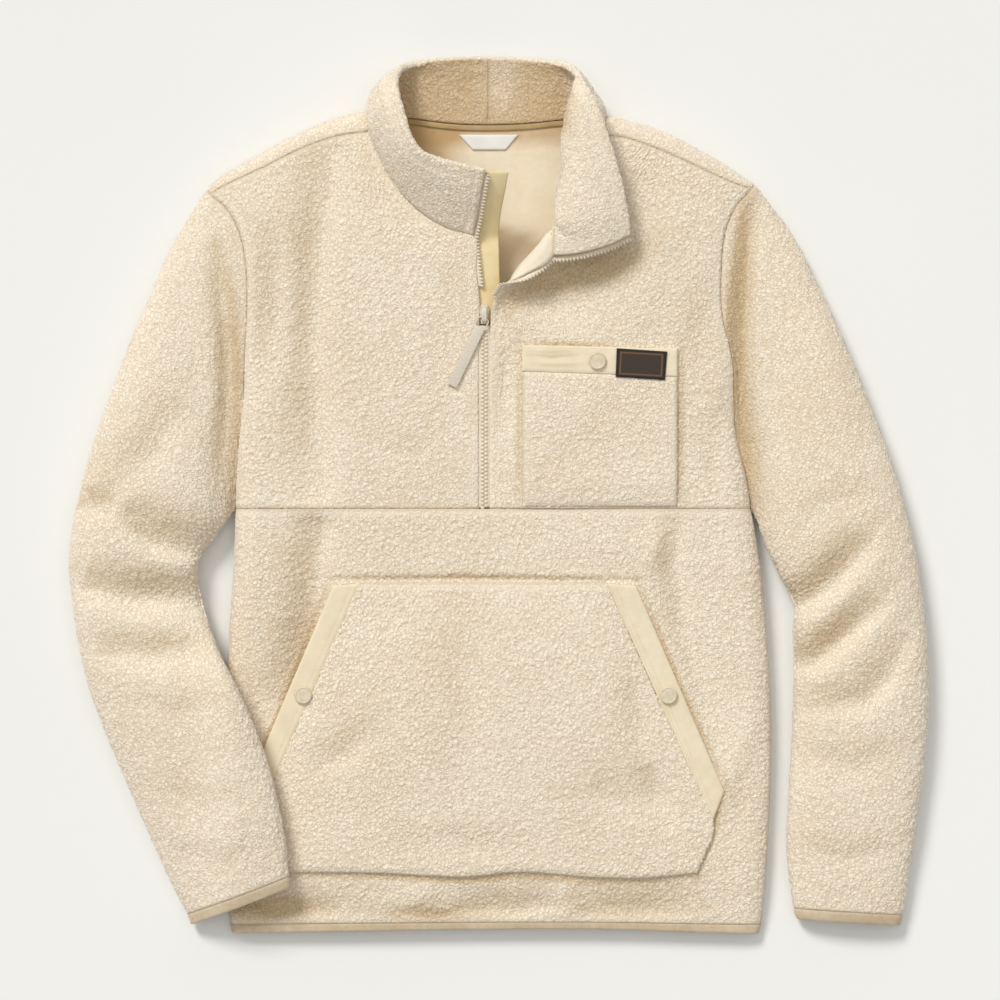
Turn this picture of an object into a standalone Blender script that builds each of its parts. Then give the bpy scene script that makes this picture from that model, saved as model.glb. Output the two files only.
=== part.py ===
"""Sherpa fleece half-zip pullover, laid flat on its back with the neck open.

Axes: +X runs to the wearer's left, +Y to the collar, +Z up from the surface that the
garment lies on. X = 0 is the line of the zip, Y = 0 is near the armpits and Z = 0 is
the surface. Tables are in millimetres, and the meshes are written in metres.

Every cloth piece is a wall round a middle surface: a grid of points, moved out and in by
half the wall along the surface's own normal. Pieces that meet at a seam share the seam's
points and directions there, and each stops short of it by SEAM_INSET.
"""

import math
from collections import namedtuple

import bmesh
import bpy
from mathutils import Matrix, Vector

MM = 0.001

# Walls, in millimetres
FLEECE = 3.6
HALF = FLEECE / 2
COLLAR_WALL = 7.0
BOUND_EDGE = 3.4
HEM_WALL = 3.0
TAPE_WALL = 1.2
LABEL_WALL = 1.2
SEAM_INSET = 0.26
LAY_GAP = 0.35

# Where the main seams lie along Y
CHEST_SEAM = -8.0
HEM_SEAM = -390.0
HEM_END = -398.0
SLIDER_FOOT = 160.0
SLIDER_HEAD = 178.0

# How far across each shoulder, from the armhole to the neck, each column of points lies.
# On the left, the columns from LAPEL_FOOT on belong to the lapel.
ACROSS = {
    "right": (0.0, 0.02, 0.055, 0.11, 0.2, 0.35, 0.55, 0.78, 1.0),
    "left": (0.0, 0.02, 0.055, 0.11, 0.2, 0.35, 0.55, 0.8, 0.84, 0.88, 0.92, 0.96, 1.0),
}
LAPEL_FOOT = 7
SHOULDER_RUN = 150.0
ARMHOLE_STEPS = 14
ZIP_STEPS = 8
NECK_FRONT_STEPS = 6
NECK_BACK_STEPS = 4
ROLL_STEPS = 4
BACK_ARMHOLE_STEPS = 9
EDGE_EASE = 45.0
SHOULDER_EASE = 60.0


class Table:
    """Rows of named columns, read as smooth curves over the first column."""

    def __init__(self, columns, rows):
        self.Row = namedtuple("Row", columns)
        self.rows = [self.Row(*row) for row in rows]

    def at(self, key):
        keys = [row[0] for row in self.rows]
        last = len(keys) - 2
        i = next((k for k in range(last) if key < keys[k + 1]), last)
        before, start, end, after = (
            self.rows[max(i - 1, 0)], self.rows[i], self.rows[i + 1], self.rows[min(i + 2, last + 1)]
        )
        span = end[0] - start[0]
        t = min(max((key - start[0]) / span, 0.0), 1.0)
        lean_in = span / (end[0] - before[0])
        lean_out = span / (after[0] - start[0])
        return self.Row(
            *(
                hermite(t, p, q, (q - o) * lean_in, (r - p) * lean_out)
                for o, p, q, r in zip(before, start, end, after)
            )
        )


def hermite(t, start, end, slope_in, slope_out):
    return (
        (2 * t**3 - 3 * t**2 + 1) * start
        + (t**3 - 2 * t**2 + t) * slope_in
        + (3 * t**2 - 2 * t**3) * end
        + (t**3 - t**2) * slope_out
    )


class Line(Table):
    """A table whose key is the share of its length, found from its first three columns."""

    def __init__(self, columns, rows):
        keys = [0.0]
        for one, two in zip(rows, rows[1:]):
            keys.append(keys[-1] + math.dist(one[:3], two[:3]))
        super().__init__("share " + columns, [(key / keys[-1], *row) for key, row in zip(keys, rows)])

    def samples(self, steps):
        return [self.at(k / steps) for k in range(steps + 1)]


def point(row):
    return Vector((row.x, row.y, row.z))


def leaning(heading, lean):
    """Unit vector that leans from straight up by lean degrees, towards heading in plan."""
    heading, lean = math.radians(heading), math.radians(lean)
    return Vector((math.sin(lean) * math.cos(heading), math.sin(lean) * math.sin(heading), math.cos(lean)))


def facing(row):
    return leaning(row.heading, row.lean)


# ------------------------------------------------------------------ the body's own form

# The sides below the armpits: outer edge at right and left, the height of the side seam,
# and how far in from it the panel rounds over before it is level.
SIDES = Table(
    "y right left edge roll",
    (
        (-398, -235, 250.5, 9, 16),
        (-380, -237, 253.5, 9.5, 17),
        (-318, -238.5, 258, 11, 19),
        (-238, -239, 261, 12, 21),
        (-183, -239.5, 260.5, 13, 22),
        (-110, -236, 256, 13.5, 22),
        (-62, -233, 251.5, 14, 22),
        (-8, -231, 242.5, 14, 22),
    ),
)

# Height of the front's outer face over the surface, at five stations across it
STATIONS = (-200.0, -100.0, 0.0, 105.0, 215.0)
CROWN = Table(
    "y far_right right middle left far_left",
    (
        (-398, 19, 20, 20, 20, 19),
        (-330, 22, 24, 24.5, 24, 22.5),
        (-250, 24, 27, 28, 27.5, 25),
        (-150, 27, 31, 32.5, 31.5, 28),
        (-60, 32, 34.5, 36, 35, 32),
        (-8, 34, 36.5, 37.5, 37, 34),
        (80, 36.5, 39, 38.5, 39.5, 36.5),
        (160, 37.5, 40, 39, 41, 37.5),
        (230, 36.5, 40, 40, 41, 36.5),
        (300, 33, 37.5, 40, 38, 33),
        (345, 30, 34.5, 38, 35, 30),
    ),
)


def front_height(x, y):
    """Height of the front's middle surface, away from its rounded sides."""
    heights = CROWN.at(y)[1:]
    x = min(max(x, STATIONS[0]), STATIONS[-1])
    return Table("x height", tuple(zip(STATIONS, heights))).at(x).height - HALF


def rounding(distance, roll):
    """How much of a rounded side's height is gained this far in from its seam."""
    short = 1 - min(max(distance / roll, 0.0), 1.0)
    return math.sqrt(1 - short * short)


def side_point(y, wearer_right):
    side = SIDES.at(y)
    x = side.right + HALF if wearer_right else side.left - HALF
    return Vector((x, y, side.edge))


def body_point(x, y, front):
    """Point of the body tube's middle surface, on its front or its back."""
    side = SIDES.at(y)
    inward = min(x - (side.right + HALF), side.left - HALF - x)
    level = front_height(x, y) if front else HALF
    return Vector((x, y, side.edge + (level - side.edge) * rounding(inward, side.roll)))


def columns_across(y, steps_between, left_shares=ACROSS["right"]):
    """X of each column of the body tube at y: close together on the rounded sides."""
    right, left = side_point(y, True).x, side_point(y, False).x
    near_right = [right + share * SHOULDER_RUN for share in ACROSS["right"]]
    near_left = [left - share * SHOULDER_RUN for share in reversed(left_shares)]
    step = (near_left[0] - near_right[-1]) / steps_between
    return near_right + [near_right[-1] + step * k for k in range(1, steps_between)] + near_left


# ------------------------------------------------------------------ seams

SEAM = "x y z heading lean"

ARMHOLE_FRONT = {
    "right": Line(
        SEAM,
        (
            (-229.2, -8, 14, 180, 90),
            (-228.5, 20, 18.5, 180, 50),
            (-225.5, 61, 23, 180, 28),
            (-221.5, 100, 26, 180, 20),
            (-221, 128, 28.5, 180, 15),
            (-219, 164, 30, 180, 12),
            (-218.5, 189, 30.5, 180, 10),
            (-219.5, 214, 30.3, 180, 10),
            (-223, 235, 29.5, 160, 14),
            (-230, 255, 28.5, 140, 22),
            (-242, 271, 26, 125, 35),
            (-253, 279.5, 22.5, 113, 50),
        ),
    ),
    "left": Line(
        SEAM,
        (
            (240.7, -8, 14, 0, 90),
            (236.5, 20, 18.5, 0, 50),
            (226.5, 61, 23, 0, 28),
            (225, 100, 26, 0, 20),
            (223.5, 131, 28.5, 0, 15),
            (217.5, 152, 29.5, 0, 12),
            (213.5, 175, 30.5, 0, 10),
            (213.5, 204, 30.5, 0, 10),
            (215.5, 235, 29.5, 15, 12),
            (221, 256, 28.5, 30, 18),
            (231, 273, 26, 50, 32),
            (242.5, 285, 22.5, 66, 50),
        ),
    ),
}

ARMHOLE_BACK = {
    "right": Line(
        SEAM,
        (
            (-247, 268, 1.8, 180, 180),
            (-236, 245, 1.8, 180, 180),
            (-229, 200, 1.8, 180, 180),
            (-226, 128, 1.8, 180, 180),
            (-226, 60, 1.8, 180, 180),
            (-228, 20, 2.2, 180, 174),
            (-229.2, 2, 6, 180, 130),
            (-229.2, -8, 14, 180, 90),
        ),
    ),
    "left": Line(
        SEAM,
        (
            (236, 272, 1.8, 0, 180),
            (227, 248, 1.8, 0, 180),
            (220, 200, 1.8, 0, 180),
            (221, 128, 1.8, 0, 180),
            (228, 60, 1.8, 0, 180),
            (236, 18, 2.2, 0, 174),
            (240, 2, 6, 0, 130),
            (240.7, -8, 14, 0, 90),
        ),
    ),
}

# Each shoulder from the armhole to the neck: its seam on top, its outline where the back
# panel rounds over, and its foot where that panel leaves the surface.
SHOULDER = {
    "right": Line(
        "x y z outline_x outline_y outline_z foot_x foot_y foot_z",
        (
            (-253, 279.5, 22.5, -255.5, 283, 13.5, -247, 268, 1.8),
            (-238, 287.5, 27, -241, 296, 14, -230, 280, 1.8),
            (-199, 305.5, 30, -204, 316.5, 14.5, -194, 301, 1.8),
            (-163, 323, 31, -168, 336, 15, -158, 318, 1.8),
            (-123, 335, 31.5, -125, 352.5, 16, -118, 338, 2.2),
            (-104, 336.5, 31.5, -106, 355.5, 17, -93, 352, 3.8),
        ),
    ),
    "left": Line(
        "x y z outline_x outline_y outline_z foot_x foot_y foot_z",
        (
            (242.5, 285, 22.5, 244, 288, 13.5, 236, 272, 1.8),
            (231, 287, 26.5, 230.5, 296.5, 14, 221, 281, 1.8),
            (203.5, 298.5, 30, 203, 314, 14.5, 194, 299, 1.8),
            (165, 316, 31, 164, 334.5, 15, 156, 318, 1.8),
            (128, 329.5, 31.5, 127, 346.5, 16, 120, 334, 2.2),
            (107, 332.5, 31.5, 107.5, 350.5, 17, 93, 350, 3.8),
        ),
    ),
}

# The neck seam of each front, from the zip to the shoulder seam
NECK_FRONT = {
    "right": Line(
        "x y z",
        (
            (-12, 241, 38),
            (-29, 245, 37.5),
            (-52, 257, 36.5),
            (-69, 271, 35.5),
            (-83, 290, 34.5),
            (-96, 314, 33),
            (-104, 336.5, 31.5),
        ),
    ),
    "left": Line(
        "x y z",
        (
            (60, 221, 61),
            (60, 234, 62),
            (62, 247, 60.5),
            (69.5, 269, 52.5),
            (82, 291, 44),
            (96, 314, 36),
            (107, 332.5, 31.5),
        ),
    ),
}

# The neck seam across the back, from the right shoulder to the left
NECK_BACK = Line(
    "x y z",
    (
        (-93, 352, 3.8),
        (-68, 350, 3.8),
        (-45, 347, 3.8),
        (-22, 345, 3.8),
        (1, 344.5, 3.8),
        (24, 345, 3.8),
        (46, 346.5, 3.8),
        (69, 349, 3.8),
        (93, 350, 3.8),
    ),
)

ZIP_RIGHT = Line(
    "x y z",
    (
        (-7.3, CHEST_SEAM, 33.5),
        (-7.3, 36, 35.5),
        (-7.3, 80, 35.8),
        (-7.3, 124, 36),
        (-7.3, 160, 36.2),
        (-6.6, 185, 36.8),
        (-10, 215, 37.6),
        (-12, 241, 38),
    ),
)

# The left front beside its zip edge, row by row upwards: where it leaves the chest, the
# roll where it turns over, and its edge. Above the slider it is folded open like a lapel.
LAPEL = Table(
    "row foot_x foot_y foot_z roll_x roll_y roll_z x y z",
    (
        (0, 14, CHEST_SEAM, 35.6, 8, CHEST_SEAM, 35.2, 2.5, CHEST_SEAM, 34.5),
        (1, 14, 30, 36.3, 8, 30, 36, 2.5, 30, 35.4),
        (2, 14, 70, 36.8, 8, 70, 36.5, 2.5, 70, 35.9),
        (3, 15, 110, 37.1, 8, 110, 36.9, 2.5, 110, 36.1),
        (4, 16, 147, 37.5, 8.5, 147.5, 37.4, 2.8, 148, 36.6),
        (5, 20, 171, 37.4, 9.5, 173.4, 37.8, 5.5, 175, 40.5),
        (6, 31, 185, 37.5, 19, 190, 41.5, 15, 193.5, 47.5),
        (7, 48, 197, 38.2, 27.5, 207, 49, 33.5, 203.5, 55.5),
        (8, 66, 214, 41, 47, 231, 61.5, 60, 221, 61),
        (9, 71, 230, 43, 54, 238.5, 62, 60, 234, 62),
        (10, 77, 243, 42.5, 64, 246, 53, 62, 247, 60.5),
        (11, 89, 265, 41, 75.5, 268, 46.5, 69.5, 269, 52.5),
        (12, 101, 287, 38.5, 89, 289.5, 40.7, 82, 291, 44),
        (13, 117, 309, 35.4, 104, 312.5, 35.2, 96, 314, 36),
        (14, 131, 327, 31.4, 118, 331.3, 31.5, 107, 332.5, 31.5),
    ),
)

# ------------------------------------------------------------------ the collar

# A row for each station along the neck seam, from the zip round to the centre back: the
# way the seam faces, then three points up the collar's middle surface and its top edge.
COLLAR_COLUMNS = "station heading lean ax ay az bx by bz cx cy cz tx ty tz"
COLLAR = {
    "right": Table(
        COLLAR_COLUMNS,
        (
            (0, 270, 14, -8.5, 257, 45, -6, 271, 52.5, -3.5, 285, 59.5, -1, 297.5, 64.5),
            (1, 270, 15, -27, 260, 46.5, -25.5, 274, 55, -24, 288, 62, -23, 302, 67),
            (2, 250, 18, -50.5, 270, 47, -49, 283, 57, -47, 295, 65, -45, 308, 70),
            (3, 225, 22, -68.5, 283, 47, -66.5, 294, 58, -63.5, 305, 67, -60, 314.5, 73),
            (4, 210, 26, -83.5, 300, 46, -80.5, 311, 58, -75.5, 320, 68, -69, 327, 74),
            (5, 195, 30, -96.5, 323, 44, -92, 333, 56.5, -85, 340, 66, -75, 345, 72),
            (6, 180, 34, -105, 343.5, 42, -99.5, 352, 53, -90.5, 359, 61, -80, 363, 66),
            (7, 150, 60, -106.5, 356, 35, -101, 364.5, 44, -92.5, 372.5, 51, -82.5, 377, 55),
            (8, 140, 90, -105.5, 365, 24, -100, 375, 32, -91.5, 382.5, 38, -82, 387, 42),
            (9, 130, 130, -101, 367, 13, -95.5, 379, 19, -87, 388.5, 24, -77.5, 394, 28),
            (10, 110, 165, -91, 365, 6.5, -86, 379, 9.5, -78, 391, 12, -69, 398.5, 16),
            (11, 90, 180, -66.5, 363.5, 4, -63.5, 378, 5, -59, 391.5, 7, -54, 402, 11),
            (12, 90, 180, -44, 361, 3.8, -42.5, 375.5, 4, -40, 390, 5, -38, 403.5, 8.5),
            (13, 90, 180, -21.5, 359.5, 3.8, -21, 374.5, 3.8, -20, 389.5, 4.5, -19, 404.5, 7.5),
            (14, 90, 180, 1, 359, 3.8, 1, 374.5, 3.8, 1, 389.5, 4.5, 1, 404.5, 7.5),
        ),
    ),
    "left": Table(
        COLLAR_COLUMNS,
        (
            (0, 320, 174, 77, 222.5, 62.5, 94, 226, 63.5, 112, 232, 62, 128, 240, 58.5),
            (1, 320, 165, 76, 237, 65.5, 95, 240, 67, 112, 244.5, 65.5, 127, 251, 61),
            (2, 335, 100, 67, 250, 67.5, 86, 254, 70.5, 107, 259, 69, 125, 264, 63),
            (3, 350, 56, 65, 271, 61, 78, 274, 69.5, 101, 278, 70.5, 121, 284, 65),
            (4, 350, 38, 70, 292, 54.5, 75, 295.5, 67, 95, 300, 71, 115, 306, 66.5),
            (5, 355, 30, 79, 314.5, 46.5, 70.5, 317, 60, 86, 322, 69.5, 108, 329, 66.5),
            (6, 0, 34, 89, 335.5, 42.5, 73, 341, 55.5, 82, 347, 66, 101, 351, 63),
            (7, 30, 60, 96, 350.5, 37, 78.5, 357, 49.5, 80.5, 363, 59.5, 95.5, 364.5, 59),
            (8, 40, 90, 102, 361.5, 27, 88, 370, 39.5, 81, 376.5, 48.5, 88, 378, 52),
            (9, 50, 130, 100, 366, 15.5, 92, 377, 26, 85, 385.5, 34, 82, 388.5, 38),
            (10, 70, 165, 91, 365, 7, 87, 379, 11.5, 80.5, 390, 16, 72.5, 397, 21),
            (11, 90, 180, 67, 363, 4.2, 64.5, 377.5, 6, 60.5, 391, 8.5, 55, 401.5, 12.5),
            (12, 90, 180, 45, 361, 3.8, 44, 375.5, 4.3, 42, 390, 5.5, 40, 402.5, 9),
            (13, 90, 180, 23, 359.5, 3.8, 22.5, 374.5, 3.8, 22, 389.5, 4.5, 21, 404, 7.5),
            (14, 90, 180, 1, 359, 3.8, 1, 374.5, 3.8, 1, 389.5, 4.5, 1, 404.5, 7.5),
        ),
    ),
}
COLLAR_STATIONS = 14
COLLAR_STEPS = 16
COLLAR_INSET = 0.7

# ------------------------------------------------------------------ the sleeves

# A row for each section from below the armhole to the cuff: the outer edge, the inner
# edge and the height of the tube. The last row is the end of the cuff's binding.
SLEEVE_COLUMNS = "at outer_x outer_y inner_x inner_y height"
SLEEVE = {
    "right": Table(
        SLEEVE_COLUMNS,
        (
            (1, -286, 235, -239, -19, 36),
            (2, -321, 156, -248, -32, 42),
            (3, -354, 69, -256, -43, 45),
            (4, -373, 4, -262, -52, 46),
            (5, -382, -50, -265, -61, 46),
            (6, -380, -85, -264, -76, 45),
            (7, -374, -128, -258, -102, 44),
            (8, -363, -175, -243, -140, 42),
            (9, -347, -218, -222, -180, 40),
            (10, -328, -263, -204, -224, 37),
            (11, -308, -309, -192, -266, 34),
            (12, -291, -347, -184, -306, 29),
            (13, -275, -380, -180, -342.5, 24),
            (14, -272.5, -388.5, -179, -351.5, 22),
        ),
    ),
    "left": Table(
        SLEEVE_COLUMNS,
        (
            (1, 279, 243, 248.5, -19, 36),
            (2, 319, 162, 256, -42, 42),
            (3, 350, 88, 264, -60, 45),
            (4, 372, 28, 271, -75, 46),
            (5, 389, -33, 278, -88, 46),
            (6, 397, -78, 282, -100, 45),
            (7, 402, -118, 280, -118, 44),
            (8, 404, -160, 281, -142, 43),
            (9, 404, -200, 280.5, -180, 41),
            (10, 400, -245, 279, -225, 38),
            (11, 394, -292, 276, -275, 35),
            (12, 388, -335, 275, -320, 30),
            (13, 381.5, -380, 281, -374, 24),
            (14, 380, -389, 284, -383, 22),
        ),
    ),
}
SLEEVE_SECTIONS = (1, 1.5, 2, 2.5, 3, 3.5, 4, 4.4, 4.8, 5.2, 5.6, 6, 6.4, 6.8, 7.3, 8, 8.7, 9.4, 10.2, 11, 12, 13)
CUFF_SECTIONS = (13, 13.5, 14)
TUBE_FULLNESS = 2.5
FLOOR_FULLNESS = 3.4
MIDDLE_SHARE = 0.42
CAP_SECTIONS = (0.38, 0.72)
CAP_TURN = 0.86
ARMPIT_EASE = Vector((6.5, 4.0, 0.0))
ARMPIT_REACH = 150.0
SHARED_FROM = 98.0

# Main folds of the sleeves: a soft ridge (height above 0) or trough along a line in plan
FOLDS = {
    "right": (
        (-258, -50, -345, -22, 4.5, 11),
        (-266, -72, -352, -66, -4.0, 11),
        (-258, -97, -350, -97, 4.0, 11),
        (-276, -124, -330, -126, -3.0, 11),
        (-262, -36, -350, 8, -3.0, 13),
    ),
    "left": (
        (280, -98, 345, -50, 5.0, 11),
        (286, -88, 342, -34, -3.5, 12),
        (281, -118, 352, -76, -3.0, 9),
        (279, -143, 352, -100, -4.0, 10),
        (284, -158, 356, -122, 3.0, 11),
        (310, -182, 362, -172, -2.5, 11),
    ),
}
Fold = namedtuple("Fold", "x0 y0 x1 y1 height width")

# The right cuff lies on the body's corner: how far outside the body the sleeve starts to
# lift, how far inside it is fully up, and its clearance over the pocket.
LIFT_START = -36.0
LIFT_END = 12.0
LIFT_ROOM = 6.2
LIFT_TOP, LIFT_FULL = -95.0, -135.0

# ------------------------------------------------------------------ pockets and trims

POCKET = Table(
    "y left right",
    (
        (-345, -195, 190.5),
        (-325, -203.5, 199),
        (-305, -210.5, 206),
        (-294, -210, 205.5),
        (-240, -186.5, 182),
        (-160, -151.5, 145),
        (-75, -114.5, 108),
    ),
)
POCKET_PUFF = 3.0
# Corners of each pocket-mouth binding: outer top, outer foot, inner top and inner foot
BINDING_CORNERS = {
    "left": ((136, -78), (217, -266), (109, -76), (206.4, -293)),
    "right": ((-140, -78), (-221, -266), (-115.4, -76), (-210.8, -293)),
}
POCKET_SNAPS = {"left": (165.5, -178), "right": (-167.5, -178)}
SNAP_RADIUS = 8.0
SNAP_HEIGHT = 2.4

CHEST_POCKET = {"left": 32.0, "right": 173.5, "foot": -6.0}
CHEST_BAND_FOOT = (117.0, 112.0)
CHEST_BAND_HEAD = (141.0, 138.0)
CHEST_SNAP = (100.5, 126.5)
CHEST_LABEL_CORNERS = ((117, 112), (162, 109), (164, 135), (118, 138))
NECK_LABEL_CORNERS = ((-13, 321.5), (17, 321.5), (29, 335.5), (-26, 335.5))
NECK_TAPE_WIDTH = 5.0
NECK_RISE_RUN = 42.0

ZIP_CHAIN_HALF = 4.5
CHAIN_WALL = 2.4
OPEN_CHAIN_WIDTH = 4.0
CHAIN_GAP = {"right": 0.3, "left": 0.9}
SLIDER_X = -2.4
SLIDER_WIDTH = 8.4
# Side view of the slider's bridge, from the hinge: outer and inner line, along Y and up
BRIDGE_OUTER = (
    (-3.5, -0.6), (-3.5, 2.2), (-2.6, 3.6), (0, 4.2), (6, 4.2), (9.5, 3.2), (11, 1.0), (11, -0.6),
)
BRIDGE_INNER = (
    (-2.0, -0.6), (-2.0, 2.0), (-1.5, 2.6), (0, 2.9), (5.5, 2.9), (8.3, 2.2), (9.3, 0.6), (9.3, -0.6),
)
BRIDGE_HALF = 2.2
HINGE_Y = 165.5
HINGE_RISE = 1.3
PULL_HEADING = 244.3
PULL_LENGTH = 68.0
LOOP_HALF = 5.2
LOOP_LENGTH = 11.0
LOOP_WIRE = 0.75
TAB_HALF = 4.7
TAB_WALL = 1.6

WIND_FLAP_FOOT = 148.0
WIND_FLAP_EDGE = Table(
    "y x",
    ((150, 12), (194, 12), (218, 11.3), (253, 11.5), (283, 17), (299, 20)),
)


# ------------------------------------------------------------------ building solids


def finish(name, colour, roughness, metallic=0.0):
    """Material with one Principled BSDF."""
    material = bpy.data.materials.get(name) or bpy.data.materials.new(name)
    material.use_nodes = True
    shader = material.node_tree.nodes["Principled BSDF"]
    shader.inputs["Base Color"].default_value = (*colour, 1.0)
    shader.inputs["Roughness"].default_value = roughness
    shader.inputs["Metallic"].default_value = metallic
    material.diffuse_color = (*colour, 1.0)
    return material


def add_object(name, mesh_builder, material):
    """Object from a bmesh in millimetres, with its faces turned outwards."""
    mesh_builder.normal_update()
    if mesh_builder.calc_volume(signed=True) < 0:
        bmesh.ops.reverse_faces(mesh_builder, faces=mesh_builder.faces)
    bmesh.ops.scale(mesh_builder, vec=(MM, MM, MM), verts=mesh_builder.verts)
    mesh = bpy.data.meshes.new(name)
    mesh_builder.to_mesh(mesh)
    mesh_builder.free()
    mesh.materials.append(material)
    mesh.shade_smooth()
    mesh.set_sharp_from_angle(angle=math.radians(50))
    obj = bpy.data.objects.new(name, mesh)
    bpy.context.scene.collection.objects.link(obj)
    return obj


def rim_shift(vert, inset, free):
    """How far a rim's point moves in from the seam, and the way out over a free edge."""
    inward, over = [], Vector()
    for edge in vert.link_edges:
        if not edge.is_boundary:
            continue
        face = edge.link_faces[0]
        along = (edge.verts[1].co - edge.verts[0].co).normalized()
        across = along.cross(face.normal)
        middle = (edge.verts[0].co + edge.verts[1].co) / 2
        if across.dot(face.calc_center_median() - middle) < 0:
            across.negate()
        inward.append(across)
        if edge.verts[0] in free and edge.verts[1] in free:
            over -= across
    if len(inward) < 2:
        return Vector(), Vector()
    both = inward[0] + inward[1]
    share = max(1 + inward[0].dot(inward[1]), 0.3)
    return both * (inset / share), over.normalized()


def wall(name, grid, thickness, material, facings=None, wrap=False, inset=SEAM_INSET, rounded=()):
    """Closed wall round a grid of middle points.

    facings gives the outward way at a seam's points by (row, column), and rounded lists
    the points of a free edge whose rim bulges out to a round.
    """
    facings = facings or {}
    middle = bmesh.new()
    verts = {
        (i, j): middle.verts.new(p)
        for i, row in enumerate(grid)
        for j, p in enumerate(row)
        if p is not None
    }
    width = len(grid[0])
    for i in range(len(grid) - 1):
        for j in range(width if wrap else width - 1):
            k = (j + 1) % width
            corners = [verts.get(key) for key in ((i, j), (i, k), (i + 1, k), (i + 1, j))]
            if None not in corners:
                middle.faces.new(corners)
    middle.normal_update()
    agree = sum(verts[key].normal.dot(way) for key, way in facings.items())
    if agree < 0 or (not facings and sum(face.normal.z for face in middle.faces) < 0):
        bmesh.ops.reverse_faces(middle, faces=middle.faces)
        middle.normal_update()

    solid = bmesh.new()
    outer, inner, rim = {}, {}, {}
    free = {verts[key] for key in rounded}
    for key, vert in verts.items():
        way = facings.get(key, vert.normal)
        shift, over = rim_shift(vert, inset, free)
        place = vert.co + shift
        outer[vert] = solid.verts.new(above_ground(place + way * (thickness / 2)))
        inner[vert] = solid.verts.new(above_ground(place - way * (thickness / 2)))
        if key in rounded:
            rim[vert] = solid.verts.new(place + over * (thickness * 0.4))
    for face in middle.faces:
        corners = list(face.verts)
        solid.faces.new([outer[v] for v in corners])
        solid.faces.new([inner[v] for v in reversed(corners)])
        for loop in face.loops:
            if not loop.edge.is_boundary:
                continue
            a, b = loop.vert, loop.link_loop_next.vert
            close_rim(solid, outer, inner, rim, a, b)
    middle.free()
    return add_object(name, solid, material)


def above_ground(place):
    return Vector((place.x, place.y, max(place.z, 0.0)))


def close_rim(solid, outer, inner, rim, a, b):
    """Faces from the outer edge a-b, over a rounded rim where there is one, to the inner edge."""
    round_a, round_b = rim.get(a), rim.get(b)
    if round_a and round_b:
        solid.faces.new((outer[b], outer[a], round_a, round_b))
        solid.faces.new((round_b, round_a, inner[a], inner[b]))
    elif round_a:
        solid.faces.new((outer[b], outer[a], round_a, inner[a], inner[b]))
    elif round_b:
        solid.faces.new((outer[b], outer[a], inner[a], inner[b], round_b))
    else:
        solid.faces.new((outer[b], outer[a], inner[a], inner[b]))


def shares(points):
    """Share of its length at which each point of a list lies."""
    lengths = [0.0]
    for one, two in zip(points, points[1:]):
        lengths.append(lengths[-1] + (two - one).length)
    return [length / lengths[-1] for length in lengths]


def patch(bottom, top, left, right):
    """Grid between four lists of points: straight across but for the lists' own bends."""
    u_of, v_of = shares(bottom), shares(left)
    grid = []
    for i, v in enumerate(v_of):
        row = []
        for j, u in enumerate(u_of):
            row.append(
                bottom[j] * (1 - v) + top[j] * v + left[i] * (1 - u) + right[i] * u
                - bottom[0] * ((1 - u) * (1 - v)) - bottom[-1] * (u * (1 - v))
                - top[0] * ((1 - u) * v) - top[-1] * (u * v)
            )
        grid.append(row)
    return grid


# ------------------------------------------------------------------ shared seam points


def shoulder_rows(side):
    return [SHOULDER[side].at(share) for share in ACROSS[side]]


def shoulder_roll(row):
    """The back panel's round over a shoulder, from its foot by its outline to the seam."""
    foot = Vector((row.foot_x, row.foot_y, row.foot_z))
    outline = Vector((row.outline_x, row.outline_y, row.outline_z))
    seam = point(row)
    points = []
    for k in range(ROLL_STEPS + 1):
        turn = math.pi * k / ROLL_STEPS
        low = turn <= math.pi / 2
        angle = turn if low else turn - math.pi / 2
        start, end = (foot, outline) if low else (outline, seam)
        run, rise = (math.sin(angle), 1 - math.cos(angle))
        if not low:
            run, rise = rise, run
        step = end - start
        points.append(start + Vector((step.x * run, step.y * run, step.z * rise)))
    return points


def shoulder_facing(row):
    out = Vector((row.outline_x - row.x, row.outline_y - row.y, 0)).normalized()
    return leaning(math.degrees(math.atan2(out.y, out.x)), 16)


def neck_ring(side):
    """The neck seam of one half, from the zip to the centre back: points and facings."""
    front = [point(row) for row in NECK_FRONT[side].samples(NECK_FRONT_STEPS)]
    over = list(reversed(shoulder_roll(SHOULDER[side].at(1.0))))
    across = [point(row) for row in NECK_BACK.samples(2 * NECK_BACK_STEPS)]
    if side == "left":
        across.reverse()
    points = front + over[1:] + across[1 : NECK_BACK_STEPS + 1]
    return [(p, facing(COLLAR[side].at(k))) for k, p in enumerate(points)]


def armhole_ring(side):
    """The armhole from the armpit up the front, over the shoulder and down the back."""
    front = ARMHOLE_FRONT[side].samples(ARMHOLE_STEPS)
    back = ARMHOLE_BACK[side].samples(BACK_ARMHOLE_STEPS)
    over = list(reversed(shoulder_roll(SHOULDER[side].at(0.0))))
    ring = [(point(row), facing(row)) for row in front]
    tip = front[-1]
    for k, place in enumerate(over[1:-1], start=1):
        ring.append((place, leaning(tip.heading, tip.lean + (180 - tip.lean) * k / ROLL_STEPS)))
    ring += [(point(row), facing(row)) for row in back[:-1]]
    return ring


# ------------------------------------------------------------------ the body's panels


def make_front_lower(material):
    ys = (HEM_SEAM, -372, -345, -305, -265, -225, -185, -145, -105, -65, -35, CHEST_SEAM)
    grid = [[body_point(x, y, True) for x in columns_across(y, 6)] for y in ys]
    last = len(grid[0]) - 1
    facings = {}
    for i in range(len(ys)):
        facings[i, 0] = Vector((-1, 0, 0))
        facings[i, last] = Vector((1, 0, 0))
    return wall("front_lower", grid, FLEECE, material, facings)


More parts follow.
